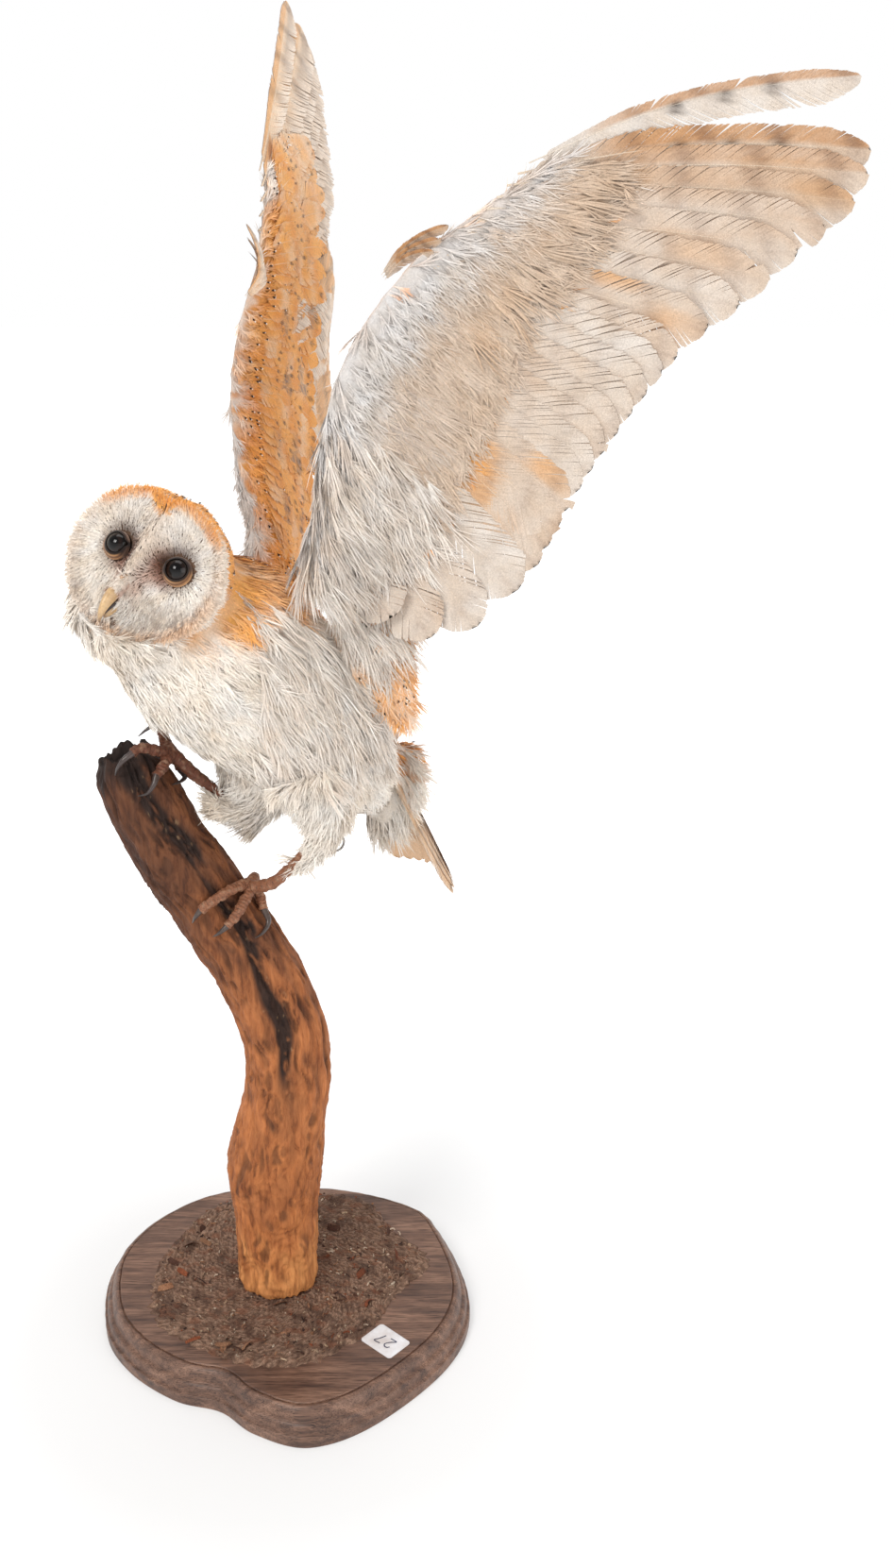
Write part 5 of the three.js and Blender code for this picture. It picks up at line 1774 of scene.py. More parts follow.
    def tone(self, y: Array, z: Array) -> Array:
        """Colour of the face at places of the dish.

        Args:
            y: distance to the owl's left.
            z: distance towards the crown.

        Returns:
            Linear colours.
        """
        form = self.form
        side = np.where(y >= 0, 1.0, -1.0)
        ex, ez = (y - side * form.eye_apart / 2) * side, z - form.eye_up
        far = np.hypot(ex, ez)
        angle = np.arctan2(ez, ex)
        fine = Ripple(9, 31)(np.stack([y, z, 0 * y], -1))
        base = tint(WHITE, CREAM, 0.2 + 0.2 * fine)
        ridge = np.exp(-((y / 7.0) ** 2)) * smooth(-16, -4, z)
        base = tint(base, WARM, 0.5 * ridge)
        rays = smooth(0.1, 1.0, np.sin(angle * 52 + 2.5 * fine)) * smooth(9, 16, far)
        base = tint(base, SMOKE, 0.1 * rays)
        # partly painted shade: the grey veil above each eye is the face's smoky tint deepened as the shade of
        # the deep eye hollow.
        veil = np.exp(-(((ex + 1.5) / 9.5) ** 2) - ((ez - 10) / 9.5) ** 2)
        base = tint(base, SMOKE, 0.4 * veil)
        halo = np.exp(-(((far - 8.0) / 3.6) ** 2))
        base = tint(base, BROWN, 0.75 * halo * (0.55 + 0.45 * np.cos(angle - 2.6)))
        corner = np.exp(-(((ex + 10.0) / 4.2) ** 2) - ((ez + 0.5) / 7.5) ** 2)
        base = tint(base, RUST * 0.8, 0.95 * corner)
        base = tint(base, DARK, 0.85 * np.exp(-(((ex + 8.5) / 3.0) ** 2) - ((ez - 1.0) / 5.0) ** 2))
        under = np.exp(-(((ex + 6.0) / 6.0) ** 2) - ((ez + 8.5) / 4.5) ** 2)
        base = tint(base, RUST, 0.62 * under)
        trail = np.exp(-(((np.abs(y) - 6.5) / 3.0) ** 2)) * smooth(-24, -16, z) * smooth(0, -8, z)
        base = tint(base, RUST, 0.4 * trail)
        heart = form.heart(y, z)
        low = smooth(14, -26, z)
        fleck = smooth(0.0, 0.7, np.sin(np.arctan2(y, z) * 58 + 3 * fine))
        whiskered = smooth(0.62, 0.8, heart) * smooth(-8, -22, z) * smooth(2, 14, y)
        base = tint(base, SMOKE, 0.45 * whiskered * fleck)
        edge = smooth(0.93, 1.0, heart + 0.02 * fine)
        top = smooth(20, 29, z) * smooth(0.97, 1.02, heart)
        base = tint(base, GOLD, edge * (0.1 + 0.35 * low * smooth(-30, 0, y)) + 0.9 * top)
        base = tint(base, DEEP_GOLD, 0.5 * top * smooth(-0.3, 0.8, fine))
        return tint(base, BROWN, smooth(0.95, 0.99, heart) * smooth(1.06, 1.02, heart) * fleck
                    * (0.12 + 0.6 * low) * (1 - top))

    def face(self, weave: Weave) -> None:
        """Grow the fine feathers of the dish, fanning away from each eye.

        Args:
            weave: the mesh that grows.
        """
        form = self.form
        rng = np.random.default_rng(5)
        gap = self.face_tuft.spacing
        y, z = np.meshgrid(np.arange(-48, 48, gap), np.arange(-46, 46, gap * 0.87))
        y = y + (np.arange(len(y)) % 2)[:, None] * gap / 2
        y, z = (v.ravel() + rng.uniform(-0.4, 0.4, v.size) * gap for v in (y, z))
        side = np.where(y >= 0, 1.0, -1.0)
        ey, ez = y - side * form.eye_apart / 2, z - form.eye_up
        far = np.hypot(ey, ez)
        share = form.reach(y, z)
        bill = (np.abs(y) < 4.0) & (z < -15) & (z > -40)
        keep = (share < 0.985) & (far > 8.2) & ~bill
        y, z, side, ey, ez, far, share = (v[keep] for v in (y, z, side, ey, ez, far, share))
        normal = form.face_normals(y, z)
        way = np.stack([0 * y, ey / far, ez / far], -1)
        centre = np.exp(-((y / 4.5) ** 2)) * smooth(-16, -6, z)
        way = way * (1 - centre)[:, None] + np.stack([0 * y, 0.2 * side, np.ones_like(z)], -1) * centre[:, None]
        crown = smooth(0.98, 1.04, form.heart(y, z)) * smooth(20, 28, z)
        way = way * (1 - crown)[:, None] + np.stack([-0.6 + 0 * y, 0.1 * y / 20, np.ones_like(z)],
                                                    -1) * crown[:, None]
        way = way @ HEAD.turn.T
        way = flattened(way, normal)
        home = form.unwrap(y, z)
        size = np.interp(far, [8, 12, 24, 40], [0.45, 0.7, 1.05, 1.1]) * np.where(share > 0.86, 0.8, 1.0)
        flat = way @ HEAD.turn * (size * self.face_tuft.length * 0.8)[:, None]
        # painted shade: the face tuft roots are darkened to 0.92, for the shade at their base.
        outer, inner = self.tone(y + flat[:, 1], z + flat[:, 2]), self.tone(y, z) * 0.92
        root = form.face_points(y, z, -0.55)
        self.face_tuft.grow(weave, root, normal, way, inner, outer, home, 51, size)
        whisker = (z < -12) & (z > -40) & (np.abs(y) > 3) & (y > -16) & (y < 36) & (rng.random(len(y)) < 0.22)
        long = Tuft(2, 9.5, 2.0, 2.0, lift=0.2, curl=-0.05, ragged=0.2, thread=0.2)
        dark = tint(outer[whisker], BROWN, 0.6)
        down = unit(way[whisker] + 0.5 * (HEAD.turn @ np.array([0.3, 0, -1.0])))
        long.grow(weave, root[whisker], normal[whisker], down, inner[whisker], dark, home[whisker], 52)
        lash = far < 11.5
        bristle = Tuft(2, 4.2, 1.2, 1.0, lift=0.3, curl=-0.1, ragged=0.15, thread=0.22)
        near = tint(outer[lash], SMOKE, 0.4)
        bristle.grow(weave, root[lash], normal[lash], way[lash], inner[lash], near, home[lash], 53)

    def bridge(self, weave: Weave) -> None:
        """Grow the short feathers that run down over the root of the bill.

        Args:
            weave: the mesh that grows.
        """
        rng = np.random.default_rng(9)
        ridge = curve_through(np.array([(33, 0, -9, 4.9), (38, 0, -13, 5.4), (43.5, 0, -18.3, 5.2),
                                        (47.0, 0, -22, 4.9)]), 60)
        step, round_it = (v.ravel() for v in np.meshgrid(np.arange(0, 50, 3),
                                                         np.radians(np.linspace(-105, 105, 21))))
        round_it = round_it + rng.uniform(-0.08, 0.08, len(step))
        run = unit(np.gradient(ridge[:, :3], axis=0))[step]
        up = np.stack([-run[:, 2], 0 * step, run[:, 0]], 1)
        out = up * np.cos(round_it)[:, None] + np.array([0, 0.86, 0]) * np.sin(round_it)[:, None]
        root = ridge[step, :3] + out * ridge[step, 3:]
        way = unit(run + out * 0.04 + rng.normal(0, 0.06, root.shape))
        tone = tint(tint(WHITE, WARM, 0.4), RUST, 0.45 * smooth(0.7, 1.3, np.abs(round_it)))
        home = self.form.unwrap(root[:, 1], root[:, 2])
        down = Tuft(4, 5.6, 2.4, 1.0, lift=0.1, curl=-0.07, ragged=0.14, thread=0.27)
        # painted shade: the roots are darkened to 0.92, for the shade at the base of the tufts.
        down.grow(weave, HEAD.out(root - out * 0.4), out @ HEAD.turn.T, way @ HEAD.turn.T, tone * 0.92, tone,
                  home, 54)

    def ruff(self, weave: Weave) -> None:
        """Grow the stiff short feathers that edge the dish.

        Args:
            weave: the mesh that grows.
        """
        form = self.form
        rng = np.random.default_rng(8)
        clocks = np.arange(0, 360, self.ruff_step)
        for row, (share, forward, lean) in enumerate(self.ruff_rows):
            clock = clocks + rng.uniform(-0.3, 0.3, 314)[:len(clocks)]
            edge = form.radius(clock) * share
            away = np.stack([0 * clock, -np.sin(np.radians(clock)), np.cos(np.radians(clock))], -1)
            y, z = edge * away[:, 1], edge * away[:, 2]
            root = HEAD.out(np.stack([np.full(len(clock), form.rim + forward - 0.6), y, z], -1))
            out = away @ HEAD.turn.T
            ahead = HEAD.turn @ np.array([1.0, 0, 0])
            normal = unit(out + ahead * (0.7 + lean))
            way = unit(out - ahead * (0.5 - lean))
            way = flattened(way, normal)
            fleck = smooth(-0.2, 0.6, np.sin(clock * 1.7) + rng.normal(0, 0.5, len(clock)))
            low = smooth(20, -30, z)
            crown = smooth(64, 36, np.abs(wrapped(clock))) * (0.35 + 0.2 * row)
            warmth = low * smooth(-36, 6, y)
            pale = tint(WHITE, GOLD, np.maximum(0.05 + 0.3 * warmth, crown))
            outer = tint(pale, BROWN, fleck * (0.1 + 0.5 * warmth) * (row < 3))
            inner = tint(CREAM, GOLD, np.maximum(0.08 + 0.3 * warmth, crown))
            self.rim_tuft.grow(weave, root, normal, way, inner, outer, form.unwrap(y, z), 60 + row, 0.9)

    def build(self, feather: bpy.types.Material, glass: bpy.types.Material, horn: bpy.types.Material) -> None:
        """Build everything that makes the face.

        Args:
            feather: material of the face feathers.
            glass: material of the eyes.
            horn: material of the bill.
        """
        self.eyes(glass)
        self.bill(horn)
        weave = Weave()
        self.lids(weave)
        self.face(weave)
        self.ruff(weave)
        self.bridge(weave)
        mount(weave.make("face_feathers"), feather, "white_plumage")


# ---------------------------------------------------------------- skin and coat


class Region(Enum):
    """Parts of the skin that carry their own kind of coat."""

    TRUNK = 0
    NECK = 1
    HEAD = 2
    LEFT_ARM = 3
    RIGHT_ARM = 4
    LEFT_THIGH = 5
    RIGHT_THIGH = 6
    RUMP = 7
    LEFT_SCAPULARS = 8
    RIGHT_SCAPULARS = 9


FLESH: dict[str, Region] = {
    "trunk": Region.TRUNK, "neck": Region.NECK, "head": Region.HEAD, "tail_coverts": Region.RUMP,
    "upper_arm_left": Region.LEFT_ARM, "forearm_left": Region.LEFT_ARM, "hand_left": Region.LEFT_ARM,
    "upper_arm_right": Region.RIGHT_ARM, "forearm_right": Region.RIGHT_ARM, "hand_right": Region.RIGHT_ARM,
    "thigh_left": Region.LEFT_THIGH, "thigh_right": Region.RIGHT_THIGH,
    "scapulars_left": Region.LEFT_SCAPULARS, "scapulars_right": Region.RIGHT_SCAPULARS,
}
DEPTHS: dict[Region, float] = {
    Region.TRUNK: 4.5, Region.NECK: 4.0, Region.HEAD: 1.0, Region.LEFT_ARM: 2.2, Region.RIGHT_ARM: 2.2,
    Region.LEFT_THIGH: 4.0, Region.RIGHT_THIGH: 4.0, Region.RUMP: 3.0, Region.LEFT_SCAPULARS: 1.6,
    Region.RIGHT_SCAPULARS: 1.6,
}


ARM_OF: dict[Region, Region] = {
    Region.LEFT_SCAPULARS: Region.LEFT_ARM, Region.RIGHT_SCAPULARS: Region.RIGHT_ARM,
}


@dataclass
class Skin:
    """One seamless skin inside the flesh nodes, with the lie of the coat over it."""

    form: HeadForm
    wings: dict[Region, Wing]
    voxel: float = 1.7
    swell: float = 0.5

    def build(self, nodes: dict[str, bpy.types.Object], finish: bpy.types.Material) -> bpy.types.Object:
        """Join, melt together and draw in the flesh nodes.

        Args:
            nodes: the frame's nodes by name.
            finish: material of the skin.

        Returns:
            The skin object.
        """
        flesh = [self.form.surface() if name == "head" else
                 (points_of(nodes[name]) + normals_of(nodes[name]) * self.swell, triangles_of(nodes[name]))
                 for name in FLESH]
        rough = mesh_object("rough_skin", *joined(flesh))
        melt = rough.modifiers.new("melt", "REMESH")
        melt.mode = "VOXEL"
        melt.voxel_size = self.voxel * MM
        mesh = bpy.data.meshes.new_from_object(rough.evaluated_get(bpy.context.evaluated_depsgraph_get()))
        bpy.data.objects.remove(rough)
        skin = linked("skin", mesh)
        self.ease(skin, 6, 0.5)
        self.region = self.regions(nodes, points_of(skin))
        self.draw_in(skin)
        self.ease(skin, 3, 0.4)
        mesh.polygons.foreach_set("use_smooth", np.ones(len(mesh.polygons), bool))
        self.points = points_of(skin)
        self.normals = normals_of(skin)
        self.way = self.lie(skin)
        self.upper = self.upperness()
        self.home = self.unwrap()
        # painted shade: the skin takes the plumage colour darkened to 0.85, for the shade deep between the
        # tufts.
        paint(skin, self.tone(self.points, self.region, self.upper) * 0.85)
        return mount(skin, finish, "white_plumage", *FLESH)

    def ease(self, skin: bpy.types.Object, rounds: int, share: float) -> None:
        """Even out the skin's points along its edges.

        Args:
            skin: the skin object.
            rounds: how many times.
            share: how far each point moves towards its neighbours' middle.
        """
        points = points_of(skin)
        edges = self.edges(skin)
        count = np.bincount(edges.ravel(), minlength=len(points))[:, None]
        for _ in range(rounds):
            total = self.with_neighbours(np.zeros_like(points), points, edges)
            points += (total / np.maximum(count, 1) - points) * share
        self.store(skin, points)

    @staticmethod
    def with_neighbours(total: Array, values: Array, edges: Array) -> Array:
        """Add to each point's total the values of the points next to it.

        Args:
            total: what each point starts from, changed in place.
            values: the value of each point.
            edges: m by 2 point numbers.

        Returns:
            The total.
        """
        np.add.at(total, edges[:, 0], values[edges[:, 1]])
        np.add.at(total, edges[:, 1], values[edges[:, 0]])
        return total

    @staticmethod
    def edges(skin: bpy.types.Object) -> Array:
        """Edges of the skin as pairs of point numbers.

        Args:
            skin: the skin object.

        Returns:
            Point numbers, m by 2.
        """
        flat = np.zeros(len(skin.data.edges) * 2, np.int32)
        skin.data.edges.foreach_get("vertices", flat)
        return flat.reshape(-1, 2)

    @staticmethod
    def store(skin: bpy.types.Object, points: Array) -> None:
        """Write moved points back to the skin."""
        skin.data.vertices.foreach_set("co", (points * MM).astype(np.float32).ravel())
        skin.data.update()

    def regions(self, nodes: dict[str, bpy.types.Object], points: Array) -> Array:
        """The region of each point, from the nearest flesh node.

        Args:
            nodes: the frame's nodes by name.
            points: n by 3 points of the model.

        Returns:
            n region numbers.
        """
        flesh = [(points_of(nodes[name]), triangles_of(nodes[name])) for name in FLESH]
        owner = np.repeat([region.value for region in FLESH.values()], [len(faces) for _, faces in flesh])
        tree = search_tree(*joined(flesh))
        return np.array([owner[tree.find_nearest(Vector(p))[2]] for p in points])

    def draw_in(self, skin: bpy.types.Object) -> None:
        """Move the skin inwards by the coat's depth, less where the body is thin.

        Args:
            skin: the skin object.
        """
        points, normals = points_of(skin), normals_of(skin)
        tree = search_tree(points, triangles_of(skin))
        depth = np.array([DEPTHS[Region(r)] for r in range(10)])[self.region]
        local = HEAD.into(points)
        on_head = self.region == Region.HEAD.value
        depth = np.where(on_head & (local[:, 0] < 18), 2.4, depth)
        for i, (p, n) in enumerate(zip(points, normals)):
            hit = tree.ray_cast(Vector(p - n * 0.05), Vector(-n), 14.0)[3]
            if hit is not None:
                depth[i] = min(depth[i], hit * 0.3)
        edges = self.edges(skin)
        count = np.bincount(edges.ravel(), minlength=len(points))
        for _ in range(5):
            total = self.with_neighbours(np.zeros(len(points)), depth, edges)
            depth = 0.4 * depth + 0.6 * total / np.maximum(count, 1)
        self.store(skin, points - normals * depth[:, None])

    def lie(self, skin: bpy.types.Object) -> Array:
        """The direction that the coat follows at each point, smoothed over the skin.

        Args:
            skin: the skin object.

        Returns:
            One unit vector per point.
        """
        way = np.zeros_like(self.points)
        back = BIRD.turn @ unit(np.array([-0.70, 0.0, -0.72]))
        local = HEAD.into(self.points)
        behind = HEAD.turn @ np.array([-1.0, 0.0, 0.0])
        for region in Region:
            mask = self.region == region.value
            if region is Region.TRUNK:
                way[mask] = back
            elif region is Region.NECK:
                spread = unit(np.stack([0 * local[mask, 0], local[mask, 1], local[mask, 2]], 1)) @ HEAD.turn.T
                way[mask] = unit(back + 0.35 * spread)
            elif region is Region.HEAD:
                way[mask] = behind
            elif region in self.wings:
                wing = self.wings[region]
                q, _ = wing.span_and_chord(self.points[mask])
                row = wing.stations[np.round(q * (wing.station_count - 1)).astype(int)]
                chord = unit(row[:, 2:4] - row[:, :2])
                way[mask] = np.concatenate([chord, np.zeros((len(chord), 1))], 1) @ wing.frame.turn.T
            elif region is Region.LEFT_THIGH:
                way[mask] = self.taper(LEFT_LEG, mask)
            elif region is Region.RIGHT_THIGH:
                way[mask] = self.taper(RIGHT_LEG, mask)
            elif region is Region.RUMP:
                way[mask] = BIRD.turn @ unit(np.array([-51.0, 0.0, -110.0]))
            else:
                way[mask] = self.wings[ARM_OF[region]].frame.turn @ unit(np.array([0.38, -0.92, 0.0]))
        edges = self.edges(skin)
        for _ in range(14):
            way = flattened(way, self.normals)
            way = self.with_neighbours(way.copy(), way, edges)
        return flattened(way, self.normals)

    @staticmethod
    def ear(local: Array) -> Array:
        """How near points of the head's frame lie to the feathers behind the ears, 0 to 1."""
        return np.exp(-(((local[:, 0] - 8) / 12) ** 2) - ((np.abs(local[:, 1]) - 44) / 10) ** 2
                      - ((local[:, 2] + 10) / 14) ** 2)

    def taper(self, leg: "Leg", mask: Array) -> Array:
        """Directions that draw the thigh feathers in towards the shank of a leg.

        Args:
            leg: the leg.
            mask: which points are on its thigh.

        Returns:
            One unit vector per point.
        """
        start, end = (np.array(row[:3]) for row in (leg.shank[0], leg.shank[-1]))
        ankle = BIRD.out(start + unit(end - start) * 16.0)
        return unit(unit(ankle - self.points[mask]) + BIRD.turn @ np.array([0.0, 0.0, -0.6]))

    def upperness(self) -> Array:
        """How far each point faces the bird's upper side, 0 to 1."""
        spine = BIRD.turn @ unit(np.array([-0.72, 0.0, 0.70]))
        facing = self.normals @ spine
        for scapulars, arm in ARM_OF.items():
            mask = (self.region == arm.value) | (self.region == scapulars.value)
            facing[mask] = (self.normals[mask] @ -self.wings[arm].below()) * 1.5
        rump = self.region == Region.RUMP.value
        facing[rump] = self.normals[rump] @ (BIRD.turn @ unit(np.array([-0.91, 0.0, 0.42])))
        thighs = (self.region == Region.LEFT_THIGH.value) | (self.region == Region.RIGHT_THIGH.value)
        facing[thighs] = -1.0
        trunk = self.region == Region.TRUNK.value
        facing[trunk] -= smooth(18, 40, np.abs(BIRD.into(self.points[trunk])[:, 1]))
        neck = self.region == Region.NECK.value
        facing[neck] -= 1.5 * smooth(76, 92, BIRD.into(self.points[neck])[:, 0])
        arms = np.isin(self.region, [Region.LEFT_ARM.value, Region.RIGHT_ARM.value])
        low = np.select([trunk, arms], [0.62, 0.55], -0.1)
        high = low + np.select([trunk, arms], [0.28, 0.5], 0.45)
        return smooth(low, high, facing)

    def unwrap(self) -> Array:
        """A place on the unwrap for each point: every region is rolled out round its own axis."""
        home = np.zeros((len(self.points), 2))
        for region in Region:
            mask = self.region == region.value
            if not mask.any():
                continue
            p = self.points[mask]
            middle = p.mean(0)
            axes = np.linalg.svd((p - middle)[::7], full_matrices=False)[2]
            local = (p - middle) @ axes.T
            long = (local[:, 0] - local[:, 0].min()) / max(np.ptp(local[:, 0]), 1e-6)
            turn = (np.arctan2(local[:, 2], local[:, 1]) / (2 * math.pi)) % 1.0
            column, row = region.value % 4, region.value // 4
            home[mask] = np.stack([(column + 0.04 + 0.92 * turn) / 4, (row + 0.04 + 0.92 * long) / 3], 1)
        return home

    def tone(self, points: Array, region: Array, upper: Array) -> Array:
        """Colour of the plumage at points of the bird.

        Args:
            points: n by 3 points of the model.
            region: n region numbers.
            upper: n shares of facing the upper side.

        Returns:
            n linear colours.
        """
        broad, fine = Ripple(34, 3)(points), Ripple(9, 4)(points)
        base = tint(WHITE, CREAM, 0.25 + 0.2 * broad)
        back = tint(GOLD, DEEP_GOLD, 0.3 + 0.3 * broad)
        back = tint(back, GREY, smooth(0.1, 0.8, broad + 0.5 * fine) * 0.6)
        local = HEAD.into(points)
        bird = BIRD.into(points)
        head = region == Region.HEAD.value
        neck = region == Region.NECK.value
        trunk = region == Region.TRUNK.value
        capped = smooth(-12, 8, local[:, 2] - 0.35 * local[:, 0] + 3 * fine)
        ear = self.ear(local)
        skull = tint(base, tint(back, GOLD, 0.35), capped)
        skull = tint(skull, BUFF, 0.5 * ear)
        skull = tint(skull, EAR_BROWN, smooth(15, 20, local[:, 0])
                     * smooth(42, 38, np.hypot(local[:, 1], local[:, 2])))
        base = np.where(head[:, None], skull, base)
        collar = smooth(8, 30, np.abs(bird[:, 1]) + 5 * fine) * smooth(44, 68, bird[:, 2]
                                                                       + 4 * broad) * smooth(92, 72, bird[:, 0])
        collar = collar * smooth(-8, 8, bird[:, 0]) * smooth(72, 58, np.abs(bird[:, 1]))
        nape = smooth(78, 58, bird[:, 0] - 0.35 * (bird[:, 2] - 90)) * smooth(80, 100, bird[:, 2])
        washed = tint(base, GOLD, np.clip(np.maximum(collar * 1.1, nape) * (0.9 + 0.2 * broad), 0, 1))
        base = np.where((neck | trunk)[:, None], washed, base)
        out = tint(base, back, np.where(head, 0.0, upper))
        for number in ARM_OF.values():
            mask = region == number.value
            if not mask.any():
                continue
            wing = self.wings[number]
            q, c = wing.span_and_chord(points[mask])
            edge = smooth(0.16, 0.02, c + 0.04 * fine[mask])
            gold = tint(GOLD, DEEP_GOLD, 0.3 + 0.3 * broad[mask])
            gold = tint(gold, GREY, smooth(0.2, 0.8, broad[mask] + 0.4 * fine[mask]) * smooth(0.3, 0.7, c)
                        * 0.7)
            gold = tint(gold, WHITE, np.maximum(edge * 0.8, 0.9 * smooth(0.84, 0.94, q)))
            pale = tint(WHITE, SMOKE, 0.12 + 0.08 * fine[mask])
            pale = tint(pale, COOL_ARM, 0.5 * smooth(0.6, 0.1, c))
            pale = tint(pale, GOLD, 0.3 * smooth(0.3, 1.0, fine[mask] * broad[mask]) * smooth(0.3, 0.8, c))
            pale = tint(pale, BUFF, 0.25 * smooth(0.62, 0.9, q) * smooth(0.3, 0.0, c))
            pale = tint(pale, SHADED_TAN_ARM, 0.85 * smooth(0.22, 0.45, c) * smooth(0.1, 0.3, q))
            pale = tint(pale, TAWNY, 0.5 * smooth(0.05, 0.0, c) * smooth(0.25, 0.45, q) * smooth(0.9, 0.8, q))
            out[mask] = tint(pale, gold, upper[mask])
        for number in ARM_OF:
            mask = region == number.value
            gold = smooth(12, 34, -bird[mask][:, 0] - 0.3 * (70 - bird[mask][:, 2]) + 9 * fine[mask]
                          + 7 * broad[mask])
            lobe = tint(tint(WHITE, WARM, 0.4 + 0.3 * fine[mask]), GOLD, 0.8 * gold)
            out[mask] = tint(lobe, back[mask], upper[mask])
        return out


@dataclass
class Coat:
    """The soft feathers that grow out of the skin."""

    skin: Skin
    breast_edge: float = 10.0
    kinds: dict[Region, Tuft] = field(default_factory=lambda: {
        Region.TRUNK: Tuft(9, 20, 9, 4.0, lift=0.17, curl=-0.1, ragged=0.1),
        Region.NECK: Tuft(9, 14, 7.5, 3.2, lift=0.24, curl=-0.12, ragged=0.1, thread=0.38),
        Region.HEAD: Tuft(7, 8.5, 5, 2.3, lift=0.2, curl=-0.1, ragged=0.09, thread=0.34),
        Region.LEFT_ARM: Tuft(9, 19, 9, 4.1, lift=0.16, curl=-0.07, ragged=0.14, thread=0.4),
        Region.RIGHT_ARM: Tuft(9, 14, 9, 4.1, lift=0.1, curl=-0.05, ragged=0.07, thread=0.46),
        Region.LEFT_THIGH: Tuft(11, 18, 10, 3.4, lift=0.22, curl=-0.08, ragged=0.16),
        Region.RIGHT_THIGH: Tuft(11, 18, 10, 3.4, lift=0.22, curl=-0.08, ragged=0.16),
        Region.RUMP: Tuft(11, 26, 11, 3.6, lift=0.14, curl=-0.06, ragged=0.12),
        Region.LEFT_SCAPULARS: Tuft(11, 24, 12, 4.4, lift=0.1, curl=-0.04, ragged=0.08, thread=0.5),
        Region.RIGHT_SCAPULARS: Tuft(11, 24, 12, 4.4, lift=0.1, curl=-0.04, ragged=0.08, thread=0.5),
    })
    pieces: dict[str, tuple[Region, ...]] = field(default_factory=lambda: {
        "breast_feathers": (Region.TRUNK,),
        "back_feathers": (Region.TRUNK,),
        "neck_feathers": (Region.NECK,),
        "crown_feathers": (Region.HEAD,),
        "left_arm_feathers": (Region.LEFT_ARM,),
        "right_arm_feathers": (Region.RIGHT_ARM,),
        "thigh_and_rump_feathers": (Region.LEFT_THIGH, Region.RIGHT_THIGH, Region.RUMP),
        "shoulder_feathers": (Region.LEFT_SCAPULARS, Region.RIGHT_SCAPULARS),
    })

    def roots(self, name: str, region: Region, spacing: float, seed: int) -> Array:
        """Numbers of skin points spread over a piece's region about a spacing apart.

        Args:
            name: piece name.
            region: where they lie.
            spacing: distance between them.
            seed: seed of the draw.

        Returns:
            Numbers of skin points.
        """
        skin = self.skin
        rng = np.random.default_rng(seed)
        chosen = np.flatnonzero(skin.region == region.value)
        if region is Region.HEAD:
            local = HEAD.into(skin.points[chosen])
            chosen = chosen[(local[:, 0] < skin.form.rim - 3.5)]
        if region is Region.TRUNK:
            front = BIRD.into(skin.points[chosen])[:, 0] > self.breast_edge
            chosen = chosen[front == (name == "breast_feathers")]
        rng.shuffle(chosen)
        cell = spacing * 0.92
        shifted = skin.points[chosen] + rng.uniform(0, cell, 3)
        return chosen[np.unique(np.floor(shifted / cell).astype(int), axis=0, return_index=True)[1]]

    def grow(self, weave: Weave, name: str, region: Region, seed: int) -> None:
        """Grow one region's feathers and their spots.

        Args:
            weave: the mesh that grows.
            name: piece name.
            region: the region.
            seed: seed of the draws.
        """
        skin, kind = self.skin, self.kinds[region]
        at = self.roots(name, region, kind.spacing, seed)
        rng = np.random.default_rng(seed + 1)
        root, normal, home, upper = skin.points[at], skin.normals[at], skin.home[at], skin.upper[at]
        way = unit(skin.way[at] + rng.normal(0, 0.1, (len(at), 3)))
        way = flattened(way, normal)
        tips = skin.tone(root + way * kind.length * 0.6, skin.region[at], upper)
        # painted shade: the roots take their plumage colour darkened to 0.92, for the shade at the base of the
        # tufts.
        inner = skin.tone(root, skin.region[at], upper) * 0.92
        size = np.where(upper > 0.6, 0.85, 1.0) * rng.uniform(0.9, 1.12, len(at))
        if region is Region.RUMP:
            size *= 1 - 0.45 * smooth(0.1, 0.6, upper)
        if region is Region.HEAD:
            size *= 1 + 0.9 * skin.ear(HEAD.into(root))
        kind.grow(weave, root, normal, way, inner, tips, home, seed + 2, size)
        chance = smooth(0.55, 0.9, upper) * 0.3
        bird, local = BIRD.into(root), HEAD.into(root)
        if region is Region.HEAD:
            chance = 0.1 * (local[:, 2] > 6)
        if region is Region.NECK:
            chance = 0.12 * (bird[:, 2] > 88)
        if region in ARM_OF:
            chance = np.full(len(at), 0.22)
        spotted = rng.random(len(at)) < chance
        if spotted.any():
            p, n, w = root[spotted], normal[spotted], way[spotted]
            reach = kind.length * size[spotted][:, None]
            tip = p + w * reach * 0.62 + n * (reach * (kind.lift * 0.62 + kind.curl * 0.38) + 0.9)
            dark, white = (np.tile(c, (len(tip), 1)) for c in (DARK, WHITE))
            spot = Tuft(3, 2.2, 1.5, 3, lift=0.05, curl=0, thread=0.4)
            spot.grow(weave, tip, n, w, dark, dark, home[spotted] + 0.0035, seed + 3)
            spot.grow(weave, tip + w * 1.9, n, w, white, white, home[spotted] - 0.0035, seed + 4, 0.45)
        if region in (Region.TRUNK, Region.LEFT_ARM, Region.LEFT_SCAPULARS):
            self.plumes(weave, region, root, normal, home, seed + 5)

